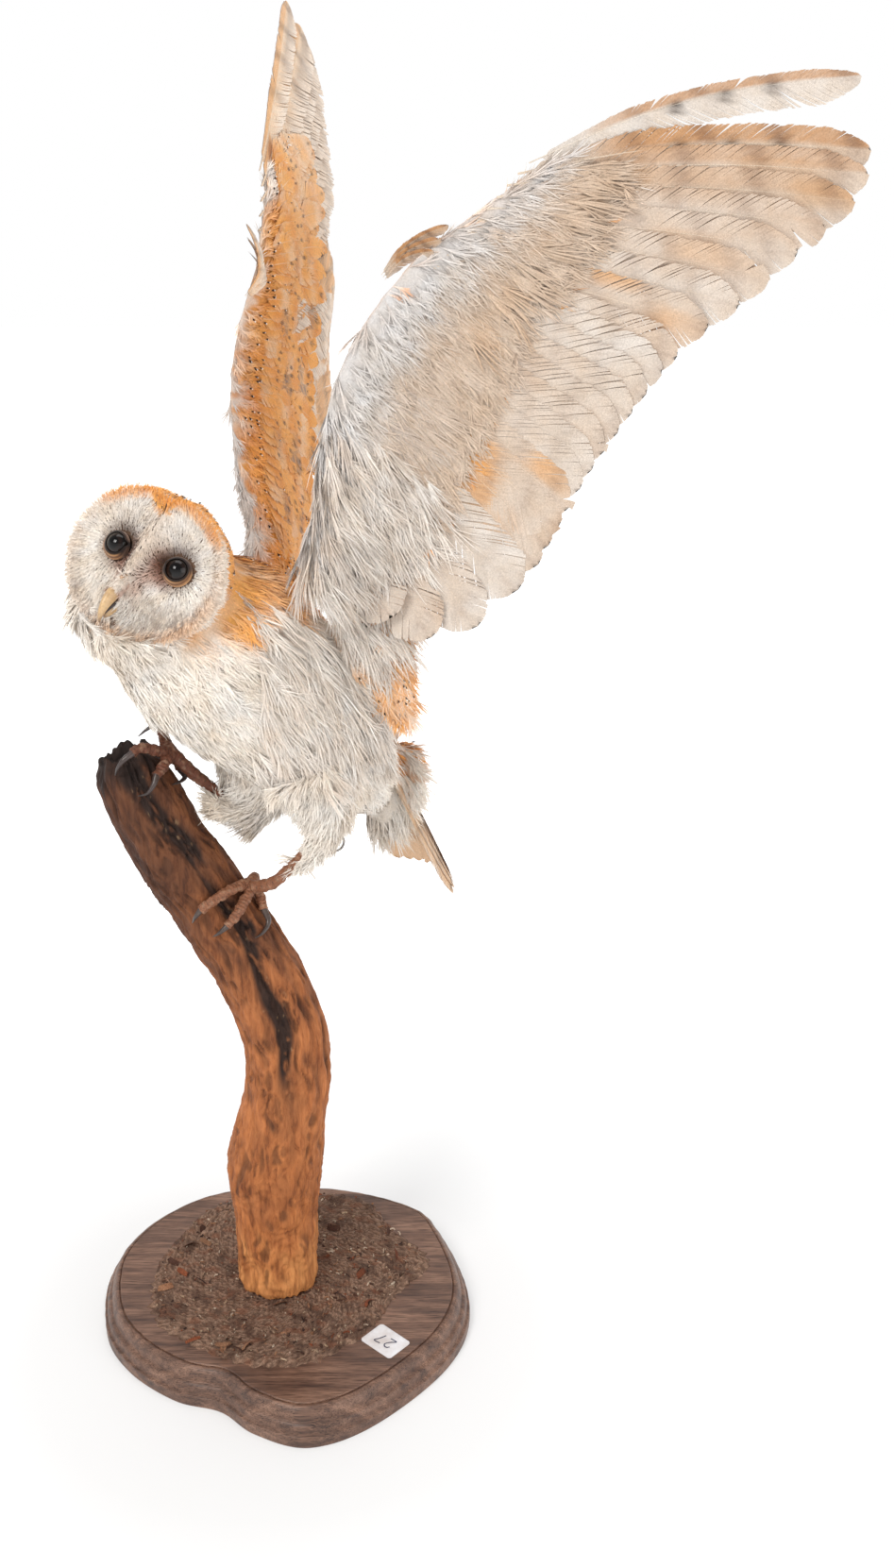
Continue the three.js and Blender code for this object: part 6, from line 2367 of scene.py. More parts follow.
    def plumes(self, weave: Weave, region: Region, root: Array, normal: Array, home: Array, seed: int) -> None:
        """Grow the long loose feathers that hang from the near armpit over the flank.

        Args:
            weave: the mesh that grows.
            region: the region that they grow from.
            root: n by 3 roots on the skin.
            normal: n by 3 outward unit vectors.
            home: n by 2 places on the unwrap.
            seed: seed of the draws.
        """
        rng = np.random.default_rng(seed)
        wing, bird = self.skin.wings[Region.LEFT_ARM], BIRD.into(root)
        far = np.linalg.norm(root - wing.frame.origin, axis=1)
        if region is Region.TRUNK:
            hanging = (bird[:, 1] > 34) & (bird[:, 0] < 44) & (bird[:, 0] > -52) & (bird[:, 2] > -30)
        else:
            hanging = (far < 78) & (normal @ wing.below() > 0.1)
        hanging &= rng.random(len(root)) < (0.4 if region is Region.TRUNK else 0.85 * smooth(80, 45, far))
        p, n = root[hanging], normal[hanging]
        w = unit(BIRD.turn @ unit(np.array([-0.42, 0.16, -0.9])) + rng.normal(0, 0.16, p.shape))
        w = unit(w - n * (w * n).sum(1, keepdims=True) * 0.85)
        cool = 0.12 if region is Region.TRUNK else 0.4
        pale = tint(tint(WHITE, WARM, rng.uniform(0.0, 0.5, len(p))), GREY, rng.uniform(0, cool, len(p)))
        plume = Tuft(15, 36 if region is Region.TRUNK else 42, 12, 8, lift=0.2, curl=-0.1, ragged=0.12,
                     thread=0.4, fan=1.1)
        # painted shade: the plume roots are darkened to 0.95, for the shade where they grow.
        plume.grow(weave, p, n, w, pale * 0.95, pale, home[hanging], seed + 1)

    def build(self, finish: bpy.types.Material) -> None:
        """Build every coat piece.

        Args:
            finish: its material.
        """
        for number, (name, regions) in enumerate(self.pieces.items()):
            weave = Weave()
            for region in regions:
                self.grow(weave, name, region, 300 + 10 * number + region.value)
            mount(weave.make(name), finish, "white_plumage")


# ---------------------------------------------------------------- tail


@dataclass
class Tail:
    """The closed fan of twelve tail feathers, arched so that its sides hang."""

    root: tuple[float, float, float] = (-68, 0, -34)
    tip: tuple[float, float, float] = (-119, 0, -144)
    feathers: int = 12
    root_width: float = 28.0
    tip_width: float = 80.0
    arch: float = 14.0

    def place(self, flat: Array, height: Array, hand: Array) -> Array:
        """Lift flat points (across, along) into the model; height is towards the underside.

        Args:
            flat: points across and along the fan, last axis 2.
            height: distance towards the underside.
            hand: not used: a tail has no hand to turn with.

        Returns:
            Points of the whole model, last axis 3.
        """
        root, along = np.array(self.root, float), np.array(self.tip, float) - np.array(self.root, float)
        share = flat[..., 1] / np.linalg.norm(along)
        width = (self.root_width + (self.tip_width - self.root_width) * share) / 2
        across = flat[..., 0] / width
        under = unit(np.array([-along[2], 0.0, along[0]]))
        droop = self.arch * np.minimum(across**2, 1.6) * (0.5 + 0.5 * share)
        at = root + along * share[..., None] + np.array([0, 1.0, 0]) * flat[..., :1]
        at = at + under * (droop + height)[..., None]
        return BIRD.out(at)

    def tone(self, face: int, shade: float) -> Callable[[Array, Array], Array]:
        """Colours of one tail feather; face is 1 for the underside and shade marks the middle pair.

        Args:
            face: 1 for the underside, -1 for the upper side.
            shade: how near it is to the middle pair.

        Returns:
            A function of (share along, share across).
        """

        def colour(share: Array, wide: Array) -> Array:
            """Colour at a place of the feather.

            Args:
                share: share along the feather.
                wide: share across it, from -1 to 1.

            Returns:
                Linear colours.
            """
            bar = smooth(0.7, 0.98, np.sin(share * 26 + 0.5 + wide)) * smooth(0.2, 0.4, share)
            mottle = 0.5 + 0.5 * np.sin(share * 280 + wide * 19) * np.sin(share * 150 - wide * 27)
            if face > 0:
                base = tint(CREAM, GOLD, 0.12 + 0.3 * smooth(0.3, 1.0, share))
                return tint(base, TAWNY, 0.35 * bar + 0.25 * smooth(0.7, 1.0, share) * mottle)
            base = tint(CREAM, GOLD, (0.45 + 0.4 * shade) * (0.6 + 0.4 * mottle))
            base = tint(base, BROWN, bar * (0.2 + 0.3 * shade))
            base = tint(base, WHITE, 0.5 * smooth(0.55, 0.95, np.abs(wide)) * (1 - 0.6 * shade))
            dot = smooth(0.94, 0.955, share) * smooth(0.985, 0.97, share) * smooth(0.4, 0.2, np.abs(wide))
            return tint(base, DARK, 0.7 * dot)

        return colour

    def build(self, finish: bpy.types.Material) -> None:
        """Build the tail feathers.

        Args:
            finish: its material.
        """
        weave = Weave()
        length = float(np.linalg.norm(np.array(self.tip) - np.array(self.root)))
        for i in range(self.feathers):
            across = -1 + (2 * i + 1) / self.feathers
            root = np.array([across * self.root_width / 2, -2.0])
            reach = length * (1 - 0.05 * across * across)
            tip = np.array([across * self.tip_width / 2, reach])
            under = 0.42 * (self.feathers / 2 - 0.5 - abs(i - self.feathers / 2 + 0.5))

            def height(share: Array, drop: float = under) -> Array:
                """Each outer feather lies a little lower than its inner neighbour."""
                return 1.0 - drop + 0 * share

            for face in (1, -1):
                batch = Vanes(**gather([Quill(root, tip, 0.0, -1.5 * across)]), lead=np.array([8.5]),
                              trail=np.array([8.5]),
                              barbs=92, seed=400 + i, blunt=0.14, shingle=0.25)
                batch.grow(weave, self.place, height, self.tone(face, 1 - 0.7 * abs(across)),
                           lambda flat, f=face: np.stack([0.5 + flat[..., 0] / 400 + 0.2 * f, 0.1
                                                          + flat[..., 1] / 200], -1),
                           0.2 * face)
        mount(weave.make("tail_quills"), finish, "flight_feather", "tail_feathers")


# ---------------------------------------------------------------- stand


@dataclass
class PerchLog:
    """The leaning, mostly barkless log with a rotten top and a worn tan foot."""

    stations: tuple[tuple[float, float, float, float], ...] = (
        (-7, 17, 30, 60), (-7, 16, 58, 60), (-7, 14, 92, 63), (-5, 12, 128, 67), (0, 10, 160, 64),
        (5, 9, 190, 62),
        (7, 8, 214, 60), (6, 7, 238, 60), (-1, 6, 264, 59), (-13, 5, 293, 57.5), (-29, 5, 321, 56),
        (-45, 5, 348, 54.5),
        (-62, 5, 375, 53), (-75, 5, 402, 52), (-84, 5, 424, 49), (-90, 5, 442, 44),
    )
    barrel_radius: float = 28.0
    rows: int = 340
    columns: int = 200

    def __post_init__(self) -> None:
        """Sample the heart line."""
        self.heart = curve_through(np.array(self.stations, float), 600)
        self.reach = reach_along(self.heart[:, :3])
        self.length = float(self.reach[-1])
        self.tangents = unit(np.gradient(self.heart[:, :3], axis=0))

    def on(self, along: Array, clock: Array, lift: Array) -> Array:
        """Points by place on the log; clock angle 0 faces the front and 90 the upper side.

        Args:
            along: distance along the log.
            clock: clock angle in degrees.
            lift: height off the bark.

        Returns:
            Points of the whole model, last axis 3.
        """
        along, clock, lift = np.broadcast_arrays(*(np.asarray(v, float) for v in (along, clock, lift)))
        inside = np.clip(along, 0, self.length)
        heart = evenly(self.heart, self.reach, inside)
        tangent = unit(evenly(self.tangents, self.reach, inside))
        front = unit(np.array([0.0, -1.0, 0.0]) + tangent * tangent[..., 1:2])
        upper = -np.cross(front, tangent)
        reach = (heart[..., 3] / 2 + lift)[..., None]
        angle = np.radians(clock)[..., None]
        return (heart[..., :3] + tangent * (along - inside)[..., None] + front * reach * np.cos(angle)
                + upper * reach * np.sin(angle))

    def barrel(self, along: Array | float, clock: Array) -> Array:
        """Places on a plain cylinder, which carry the grain of the wood."""
        angle = np.radians(clock)
        return np.stack([self.barrel_radius * np.cos(angle), self.barrel_radius * np.sin(angle), along
                         + 0 * angle], -1)

    def channel(self, along: Array, clock: Array) -> Array:
        """How deep a point lies in the rotten channel that winds down from the broken top, 0 to 1.

        Args:
            along: distances along the log.
            clock: clock angles in degrees.

        Returns:
            Depth shares.
        """
        middle = 22 + 16 * np.sin(along * 0.021 + 0.6) + 5 * np.sin(along * 0.09)
        width = 9 + 7 * smooth(330, 400, along) + 5 * np.sin(along * 0.047) ** 2
        gap = wrapped(clock - middle)
        ends = smooth(150, 215, along)
        fade = 1 - 0.75 * np.exp(-(((along - 345) / 14) ** 2))
        return np.exp(-np.abs(gap / width) ** 3) * ends * fade

    def relief(self, along: Array, clock: Array) -> tuple[Array, Array, Array]:
        """Height of the surface, its streakiness and its rot.

        Args:
            along: distances along the log.
            clock: clock angles in degrees.

        Returns:
            Lift in millimetres, streak value, and a darkening value, 0 to 1, for the rot channel and the cracks.
        """
        around = self.barrel(along, clock)
        drift = around + 2.5 * np.stack([Ripple(30, k)(around) for k in (41, 42, 43)], -1)
        long = Ripple(8, 44, 22)(drift * np.array([1, 1, 0.14]))
        fine = Ripple(2.6, 45, 26)(drift * np.array([1, 1, 0.13]))
        knot = Ripple(26, 46)(around)
        speck = Ripple(4.5, 47, 20)(around * np.array([1, 1, 0.5]))
        rot = self.channel(along, clock) * smooth(-1.3, -0.1, 0.35 * speck + 0.9 * long)
        low = smooth(190, 90, along)
        crack = smooth(0.62, 0.95, np.abs(long)) * smooth(-0.2, 0.5, knot)
        swirl = np.sin(drift[..., 2] * 0.55 + 3 * knot + 2 * np.sin(2 * np.radians(clock)))
        lift = 0.55 * long * (1 - 0.5 * low) + 0.24 * fine + 0.7 * knot - 1.5 * crack * (1 - 0.7 * low) - 0.9
        lift += 0.3 * low * swirl
        lift -= rot * (3.0 + 1.4 * fine + 1.4 * smooth(330, 400, along))
        lift += 2.8 * self.bump(along, clock, 104, -95, 15, 34) + 1.6 * self.bump(along, clock, 285, 62, 26, 30)
        lift += 1.3 * self.bump(along, clock, 40, 35, 9, 26) - 1.2 * self.bump(along, clock, 60, 40, 7, 30)
        flakes = smooth(0.1, 0.25, speck) * (self.bump(along, clock, 345, -88, 16, 22)
                                             + self.bump(along, clock, 262, -92, 8, 14))
        lift += 2.4 * flakes
        # the cracks add to the rot's darkening.
        return lift, long, np.clip(rot + 0.35 * crack, 0, 1)

    @staticmethod
    def bump(along: Array, clock: Array, at: float, facing: float, long: float, wide: float) -> Array:
        """A soft mound, 0 to 1, centred on a distance and a clock angle.

        Args:
            along: distances along the log.
            clock: clock angles in degrees.
            at: distance of its middle.
            facing: clock angle of its middle.
            long: reach along the log.
            wide: reach round it in degrees.

        Returns:
            Heights, 0 to 1.
        """
        gap = wrapped(clock - facing)
        return np.exp(-(((along - at) / long) ** 2) - (gap / wide) ** 2)

    def tone(self, along: Array, clock: Array, streak: Array, rot: Array) -> Array:
        """Colour of the wood.

        Args:
            along: distances along the log.
            clock: clock angles in degrees.
            streak: streak value from relief.
            rot: darkening value from relief, for the rot channel and the cracks.

        Returns:
            Linear colours.
        """
        around = self.barrel(along, clock)
        broad, patch = Ripple(60, 48)(around), Ripple(17, 49)(around * np.array([1, 1, 0.45]))
        foot, tan, mid = linear((232, 160, 98)), linear((192, 120, 68)), linear((158, 98, 58))
        brown, black = linear((92, 55, 35)), linear((38, 24, 19))
        base = tint(foot, tan, smooth(10, 60, along + 14 * patch))
        base = tint(base, mid, smooth(60, 260, along + 30 * broad) * (0.45 + 0.4 * smooth(-0.4, 0.8, patch)))
        dim = smooth(150, 40, np.abs(wrapped(clock - 90)) + 20 * broad)
        high = smooth(210, 320, along)
        base = tint(base, brown, high * (0.85 - 0.45 * dim) + (0.06 + 0.2 * high) * smooth(0.2, 0.9, patch))
        base = tint(base, mid, 0.7 * self.bump(along, clock, 85, 0, 26, 50) * smooth(-0.6, 0.5, patch))
        base = tint(base, brown, 0.35 * smooth(0.1, 0.9, -streak) * smooth(120, 240, along))
        # the upper log is darkened towards the top.
        base = tint(base, black, 0.42 * smooth(270, 370, along + 20 * broad))
        base = tint(base, black, np.clip(1.25 * rot, 0, 0.96))
        base = tint(base, black, 0.85 * smooth(412, 430, along + 6 * patch))
        base = tint(base, black, 0.9 * self.bump(along, clock, 148, -12, 8, 10) * smooth(-0.6, 0.1, patch))
        speck = smooth(1.25, 1.5, Ripple(5, 50, 20)(around)) * self.channel(along, clock + 8 * patch)
        base = tint(base, linear((206, 170, 130)), 0.3 * np.clip(speck, 0, 1))
        return base * (1 + 0.1 * streak)[..., None]

    def build(self, finish: bpy.types.Material) -> None:
        """Build the log with its ragged foot and its hollow broken top.

        Args:
            finish: its material.
        """
        clock = np.linspace(0, 360, self.columns, endpoint=False)[None]
        along = np.linspace(0, self.length, self.rows)[:, None]
        ring = self.barrel(0.0, clock)
        torn = 3.0 * Ripple(24, 51, 20)(ring) + 1.0 * Ripple(7, 52, 20)(ring)
        foot = 1.4 * Ripple(12, 53, 20)(ring) + 0.8 * Ripple(5, 54, 20)(ring)
        shifted = along + torn * smooth(self.length - 30, self.length, along) + foot * smooth(14, 0, along)
        lift, streak, rot = self.relief(shifted, np.broadcast_to(clock, shifted.shape))
        lift = lift - 5.0 * smooth(self.length - 16, self.length, along) ** 2 - 0.9 * smooth(5, 0, along)
        rings = self.on(shifted, clock, lift)
        tone = self.tone(shifted, np.broadcast_to(clock, shifted.shape), streak, rot)
        radius = np.interp(self.length, self.reach, self.heart[:, 3] / 2)
        inner = []
        for share, sink in ((0.84, -1.5), (0.74, 0.0), (0.62, 5.0), (0.5, 10.0), (0.34, 13.0), (0.15, 14.0)):
            rough = 1.2 * Ripple(7, 55 + int(sink), 16)(ring * share)
            inner.append(self.on(self.length - sink + torn * share**2 + rough, clock, radius * (share - 1)
                                 - 3.0 * share)[0])
        inner = np.array(inner)
        rings = np.concatenate([rings, inner])
        # dark rotten wood inside the broken top, with painted shade: it darkens with depth down to 0.45.
        dark = np.tile(linear((40, 25, 19)), (len(inner), self.columns,
                                              1)) * np.linspace(1, 0.45, len(inner))[:, None, None]
        tone = np.concatenate([tone, dark]).reshape(-1, 3)
        made = mesh_object("log", *closed_loft(rings))
        # the last colour, near black, is the floor of the hollow: painted shade.
        paint(made, np.concatenate([tone, linear((150, 98, 62))[None], linear((20, 12, 9))[None]]))
        mount(made, finish, "log_wood", "perch_log")


@dataclass
class Stand:
    """The routed plaque, its groundwork, the plain label and the wire hook."""

    thickness: float = 26.0
    moulding: float = 13.0
    centre: tuple[float, float] = (0, 10)
    outline: tuple[tuple[float, float], ...] = (
        (0, 122), (30, 124), (48, 127), (80, 119), (117, 128), (142, 133), (165, 131), (190, 120), (210, 110),
        (232, 100), (250, 93), (265, 107), (282, 121), (303, 118), (335, 119),
    )
    profile: tuple[tuple[float, float], ...] = (
        (0.0, 0.03), (0.02, 0.0), (0.27, 0.0), (0.31, 0.02), (0.325, 0.07), (0.335, 0.14), (0.38, 0.165),
        (0.45, 0.18),
        (0.52, 0.22), (0.57, 0.29), (0.60, 0.38), (0.615, 0.45), (0.63, 0.475), (0.69, 0.485), (0.77, 0.52),
        (0.86, 0.60), (0.93, 0.71), (0.965, 0.82), (0.965, 0.9), (0.935, 0.945), (0.925, 0.965), (0.93, 0.985),
        (0.985, 1.0), (1.0, 1.03), (1.0, 1.12),
    )
    label_centre: tuple[float, float] = (74.8, -50.5)
    label_half: tuple[float, float] = (10.8, 14.4)
    label_corner: float = 2.5
    label_turn: float = 48.0
    paper: Colour = (243, 244, 248)
    ink: Colour = (52, 56, 92)
    hook_place: tuple[float, float, float] = (-26.0, 8.0, -90.0)
    hook_radius: float = 5.5
    hook_wire: float = 0.8
    ground_centre: tuple[float, float] = (0, 22)
    ground: tuple[tuple[float, float], ...] = (
        (8, 105), (35, 92), (62, 104), (95, 98), (130, 106), (170, 100), (205, 104), (228, 98), (262, 98),
        (288, 96),
        (316, 88), (345, 86),
    )

    @staticmethod
    def closed(centre: Sequence[float], outline: Sequence[tuple[float, float]], count: int,
               add: float = 0.0) -> Array:
        """A smooth closed outline from angles and radii.

        Args:
            centre: middle of the outline.
            outline: angle in degrees and radius of each knot.
            count: how many samples.
            add: extra radius.

        Returns:
            count by 2 points, evenly spaced.
        """
        knots = np.array(outline, float)
        angle = np.radians(knots[:, 0])
        ring = np.stack([(knots[:, 1] + add) * np.cos(angle), (knots[:, 1] + add) * np.sin(angle)],
                        1) + np.array(centre)
        n = len(ring)
        t = np.linspace(0, n, count * 8, endpoint=False)
        low = t.astype(int)
        dense = rounded([ring[(low + k) % n] for k in (-1, 0, 1, 2)], t - low)
        loop = np.concatenate([dense, dense[:1]])
        reach = reach_along(loop)
        return evenly(loop, reach, np.linspace(0, reach[-1], count, endpoint=False))

    def plaque(self, finish: bpy.types.Material) -> None:
        """Build the moulded plaque.

        Args:
            finish: its material.
        """
        count = 420
        knots = np.array(self.profile)
        t = np.linspace(0, len(knots) - 1, 110)
        heights = np.interp(t, np.arange(len(knots)), knots[:, 0]) * self.thickness
        cuts = np.interp(t, np.arange(len(knots)), knots[:, 1])
        rings = []
        for height, cut in zip(heights, cuts):
            ring = self.closed(self.centre, self.outline, count, self.moulding * (1 - cut))
            wear = 0.16 * Ripple(14, 61)(np.concatenate([ring, np.full((count, 1), height)], 1))
            out = unit(ring - np.array(self.centre))
            rings.append(np.concatenate([ring + out * (wear * (height > 1))[:, None],
                                         np.full((count, 1), height)], 1))
        inner = [self.closed(self.centre, self.outline, count, -add) for add in (6, 40)]
        rings += [np.concatenate([ring, np.full((count, 1), self.thickness)], 1) for ring in inner]
        mount(mesh_object("plaque", *closed_loft(np.array(rings))), finish, "plaque_wood", "base_plaque")

    def groundwork(self, finish: bpy.types.Material) -> None:
        """Build the glued chips and peat round the log's foot.

        Args:
            finish: its material.
        """
        count, rows = 300, 90
        edge = self.closed(self.ground_centre, self.ground, count)
        middle = np.array(self.ground_centre, float)
        share = np.linspace(1.0, 0.02, rows)
        ring = middle + (edge - middle)[None] * share[:, None, None]
        flat = np.concatenate([ring, np.zeros((rows, count, 1))], 2)
        fray = 1.6 * Ripple(9, 71)(flat) * smooth(0.8, 1.0, share)[:, None]
        out = unit(ring - middle)
        ring = ring + out * fray[..., None]
        grain = Ripple(2.4, 72, 26)(flat) + 0.8 * Ripple(1.5, 73, 26)(flat)
        lump = Ripple(13, 74)(flat)
        slope = 1 - smooth(0.93, 1.0, share)[:, None] ** 2
        height = self.thickness + (2.4 + 0.75 * lump + 0.42 * grain) * slope + 0.05
        rings = np.concatenate([ring, height[..., None]], 2)
        base = np.concatenate([ring[:1], np.full((1, count, 1), self.thickness - 0.5)], 2)
        rings = np.concatenate([base, rings])
        tone = tint(linear((120, 92, 76)), linear((186, 150, 126)), smooth(-0.9, 1.2, grain))
        tone = tint(tone, linear((92, 66, 54)), 0.6 * smooth(0.2, 1.0, Ripple(21, 75)(flat)))
        tone = tint(tone, linear((150, 92, 64)), 0.45 * smooth(0.4, 1.2, Ripple(11, 76)(flat)))
        points, triangles = closed_loft(rings)
        weave = Weave()
        tones = loft_tones(np.concatenate([tone[:1], tone]))
        weave.add(points, triangles, tones, np.zeros((len(points), 2)))
        self.litter(weave, edge)
        mount(weave.make("peat_and_chips"), finish, "groundwork", "groundwork")

    def litter(self, weave: Weave, edge: Array) -> None:
        """Scatter curled shavings, fibres and chips over the groundwork.

        Args:
            weave: the mesh that grows.
            edge: outline of the groundwork, n by 2.
        """
        rng = np.random.default_rng(77)
        shades = [linear(c) for c in ((206, 176, 146), (150, 84, 54), (92, 60, 46), (176, 128, 96),
                                      (226, 204, 180), (70, 48, 40))]
        kinds = ((430, (2.2, 6.5), (0.5, 1.2), 5.0, (0, 1, 2, 3, 4, 5)),
                 (950, (1.5, 4.5), (0.14, 0.3), 2.2, (0, 2, 3, 5)),
                 (520, (0.7, 1.8), (0.4, 0.9), 0.5, (0, 1, 2, 3, 4)), (26, (8, 14), (2.0, 3.6), 2.4, (1, 3, 2)))
        middle = np.array(self.ground_centre, float)
        steps = 9
        one = grid_faces(steps, 2)
        for number, lengths, widths, curl, picks in kinds:
            at = edge[rng.integers(0, len(edge), number)]
            root = middle + (at - middle) * np.sqrt(rng.uniform(0.05, 0.97, number))[:, None]
            length, width = rng.uniform(*lengths, number), rng.uniform(*widths, number)
            heading, bend = rng.uniform(0, 2 * math.pi, number), rng.normal(0, curl, number) * 0.5
            t = np.linspace(-0.5, 0.5, steps)
            turn = heading[:, None] + bend[:, None] * t
            step = np.stack([np.cos(turn), np.sin(turn)], -1) * (length / steps)[:, None, None]
            path = np.cumsum(step, 1) - step.sum(1, keepdims=True) / 2
            rise = 0.5 + rng.uniform(0.1, 0.35, number)[:, None] * length[:, None] * (0.25 - t**2)
            rise = rise + 0.25 * width[:, None]
            side = np.stack([-np.sin(turn), np.cos(turn)], -1) * (width[:, None] * (1 - 1.2 * t**2) / 2)[...,
                                                                                                         None]
            tilt = rng.uniform(-0.6, 0.6, number)[:, None] * width[:, None]
            flat = root[:, None] + path
            low = self.thickness + 2.6 + rise
            points = np.stack([np.concatenate([flat - side, (low - tilt)[..., None]], -1),
                               np.concatenate([flat + side, (low + tilt)[..., None]], -1)], 2)
            shade = np.array(shades)[np.array(picks)[rng.integers(0, len(picks), number)]]
            shade = shade * rng.uniform(0.75, 1.15, (number, 1))
            colours = np.repeat(shade, steps * 2, 0)
            triangles = one[None] + np.arange(number)[:, None, None] * steps * 2
            weave.add(points.reshape(-1, 3), triangles.reshape(-1, 3), colours,
                      np.zeros((number * steps * 2, 2)))

    def label(self, finish: bpy.types.Material, ink: bpy.types.Material) -> None:
        """Build the white paper label with rounded corners and a plain number.

        Args:
            finish: material of the paper.
            ink: material of the number.
        """
        half, corner = np.array(self.label_half), self.label_corner
        turn, steps = math.radians(self.label_turn), 40
        angle = np.linspace(0, 2 * math.pi, 96, endpoint=False)
        way = np.stack([np.cos(angle), np.sin(angle)], 1)
        ring = way * corner + np.sign(way + 1e-9) * (half - corner)
        spin = np.array([[math.cos(turn), -math.sin(turn)], [math.sin(turn), math.cos(turn)]])
        centre = np.array(self.label_centre)
        rows = []
        for grow, height in ((0, 0.0), (0, 0.42), (-0.15, 0.5), (-3.0, 0.52)):
            shape = ring * (1 + grow / half.mean())
            curl = 0.3 * np.clip((shape @ np.array([0.5, 0.8])) / 14, 0, 1) ** 2
            rows.append(np.concatenate([shape @ spin.T + centre, (self.thickness + height + curl)[:, None]], 1))
        made = mesh_object("paper_label", *closed_loft(np.array(rows)))
        paint(made, linear(self.paper))
        mount(made, finish, "label", "base_label")
        two = [(-1.5, 1.6), (-0.9, 2.5), (0.3, 2.8), (1.3, 2.0), (1.2, 0.9), (0.0, -0.9), (-1.6, -2.6),
               (1.7, -2.5)]
        seven = [(-1.6, 2.5), (1.6, 2.7), (0.4, 0.2), (-0.5, -2.7)]
        strokes = [np.array(two) + np.array([-2.6, 0.0]), np.array(seven) + np.array([2.4, 0.2])]
        weave = Weave()
        for stroke in strokes:
            path = curve_through(1.6 * stroke @ turned(2, 90)[:2, :2].T, steps)
            side = np.gradient(path, axis=0)[:, ::-1] * np.array([-1, 1])
            side = unit(side) * 0.4
            flat = np.stack([path - side, path + side], 1) @ spin.T + centre
            lift = np.full((steps, 2, 1), self.thickness + 0.78)
            points = np.concatenate([flat, lift], 2).reshape(-1, 3)
            weave.add(points, grid_faces(steps, 2), np.tile(linear(self.ink), (2 * steps, 1)),
                      np.zeros((2 * steps, 2)))
        mount(weave.make("label_number"), ink, "label")

    def hook(self, finish: bpy.types.Material) -> None:
        """Build the small wire hook under the rump.

        Args:
            finish: its material.
        """
        (x, y, z), radius = self.hook_place, self.hook_radius
        path = [(x, y, z + 3), (x, y, z), (x, y, z - 8)]
        for step in range(9):
            angle = math.radians(-10 - 250 * step / 8)
            path.append((x - radius + radius * math.cos(angle), y, z - 13 + radius * math.sin(angle)))
        route = np.concatenate([BIRD.out(np.array(path, float)), np.full((len(path), 1), self.hook_wire)], 1)
        rings = sweep(curve_through(route, 90), 14)
        mount(mesh_object("hook_wire", *closed_loft(rings)), finish, "wire", "wire_hook")


# ---------------------------------------------------------------- legs and feet


@dataclass(frozen=True)
class Leg:
    """One bare shank and its four toes; toes run over the log as (along, clock, lift)."""

    name: str
    shank: tuple[tuple[float, float, float, float], ...]
    joint: tuple[float, float, float]
    toes: dict[str, tuple[tuple[tuple[float, float, float], ...], tuple[tuple[float, float, float], ...]]]
    skin: Colour
    claw: Colour


LEFT_LEG = Leg(
    "left", ((-3, 28, -92, 3), (8.6, 18, -109.4, 3.1), (16.3, 6.3, -121.9, 3.5)), (318, 74, 5),
    {
        "outer": (((322, 70, 4.5), (326.5, 41, 3.8), (327.5, 17, 3.6), (327, 5, 3.4)),
                  ((327, 5, 3.6), (324.5, -6, 4), (321, -18, 0.9))),
        "middle": (((316, 66, 4.5), (312.5, 45, 3.6), (310, 31, 3.6), (308.5, 19, 3.4)),
                   ((308.5, 19, 3.6), (307.5, 8, 3.8), (306.5, -4, 0.9))),
        "inner": (((313, 84, 5), (305, 79, 3.8), (300, 73, 3.4)),
                  ((300, 73, 3.6), (292, 66, 4), (289, 52, 2.4), (289.5, 40, 0.8))),
        "hind": (((318, 98, 5), (315, 116, 3.8), (313, 132, 3.4)),
                 ((313, 132, 3.6), (311, 144, 4), (309, 155, 0.9))),
    },
    (146, 96, 68), (70, 56, 50),
)
RIGHT_LEG = Leg(
    "right", ((20, -33, -81, 3.3), (37.5, -36, -63, 3.4), (47.4, -37.5, -53.5, 4)), (427, 92, 6),
    {
        "outer": (((433, 104, 5), (441, 98, 7), (447, 92, 12), (449, 82, 14)),
                  ((449, 82, 14), (451, 68, 15), (450, 54, 11), (447, 47, 4))),
        "middle": (((431, 74, 4.5), (437, 55, 4), (440, 40, 3.8), (439, 30, 3.6)),
                   ((439, 30, 3.8), (437, 14, 4.6), (433, 2, 3), (429, -6, 0.9))),
        "inner": (((424, 70, 4.5), (421, 58, 3.6), (419, 47, 3.4)),
                  ((419, 47, 3.6), (415, 38, 4.2), (411.5, 26, 3), (412, 13, 0.9))),
        "hind": (((419, 104, 5), (413, 107, 5), (410, 106, 4.2)),
                 ((410, 106, 4.2), (405, 100, 4.6), (405, 84, 2.6), (407, 68, 0.9))),
    },
    (112, 66, 46), (62, 48, 44),
)


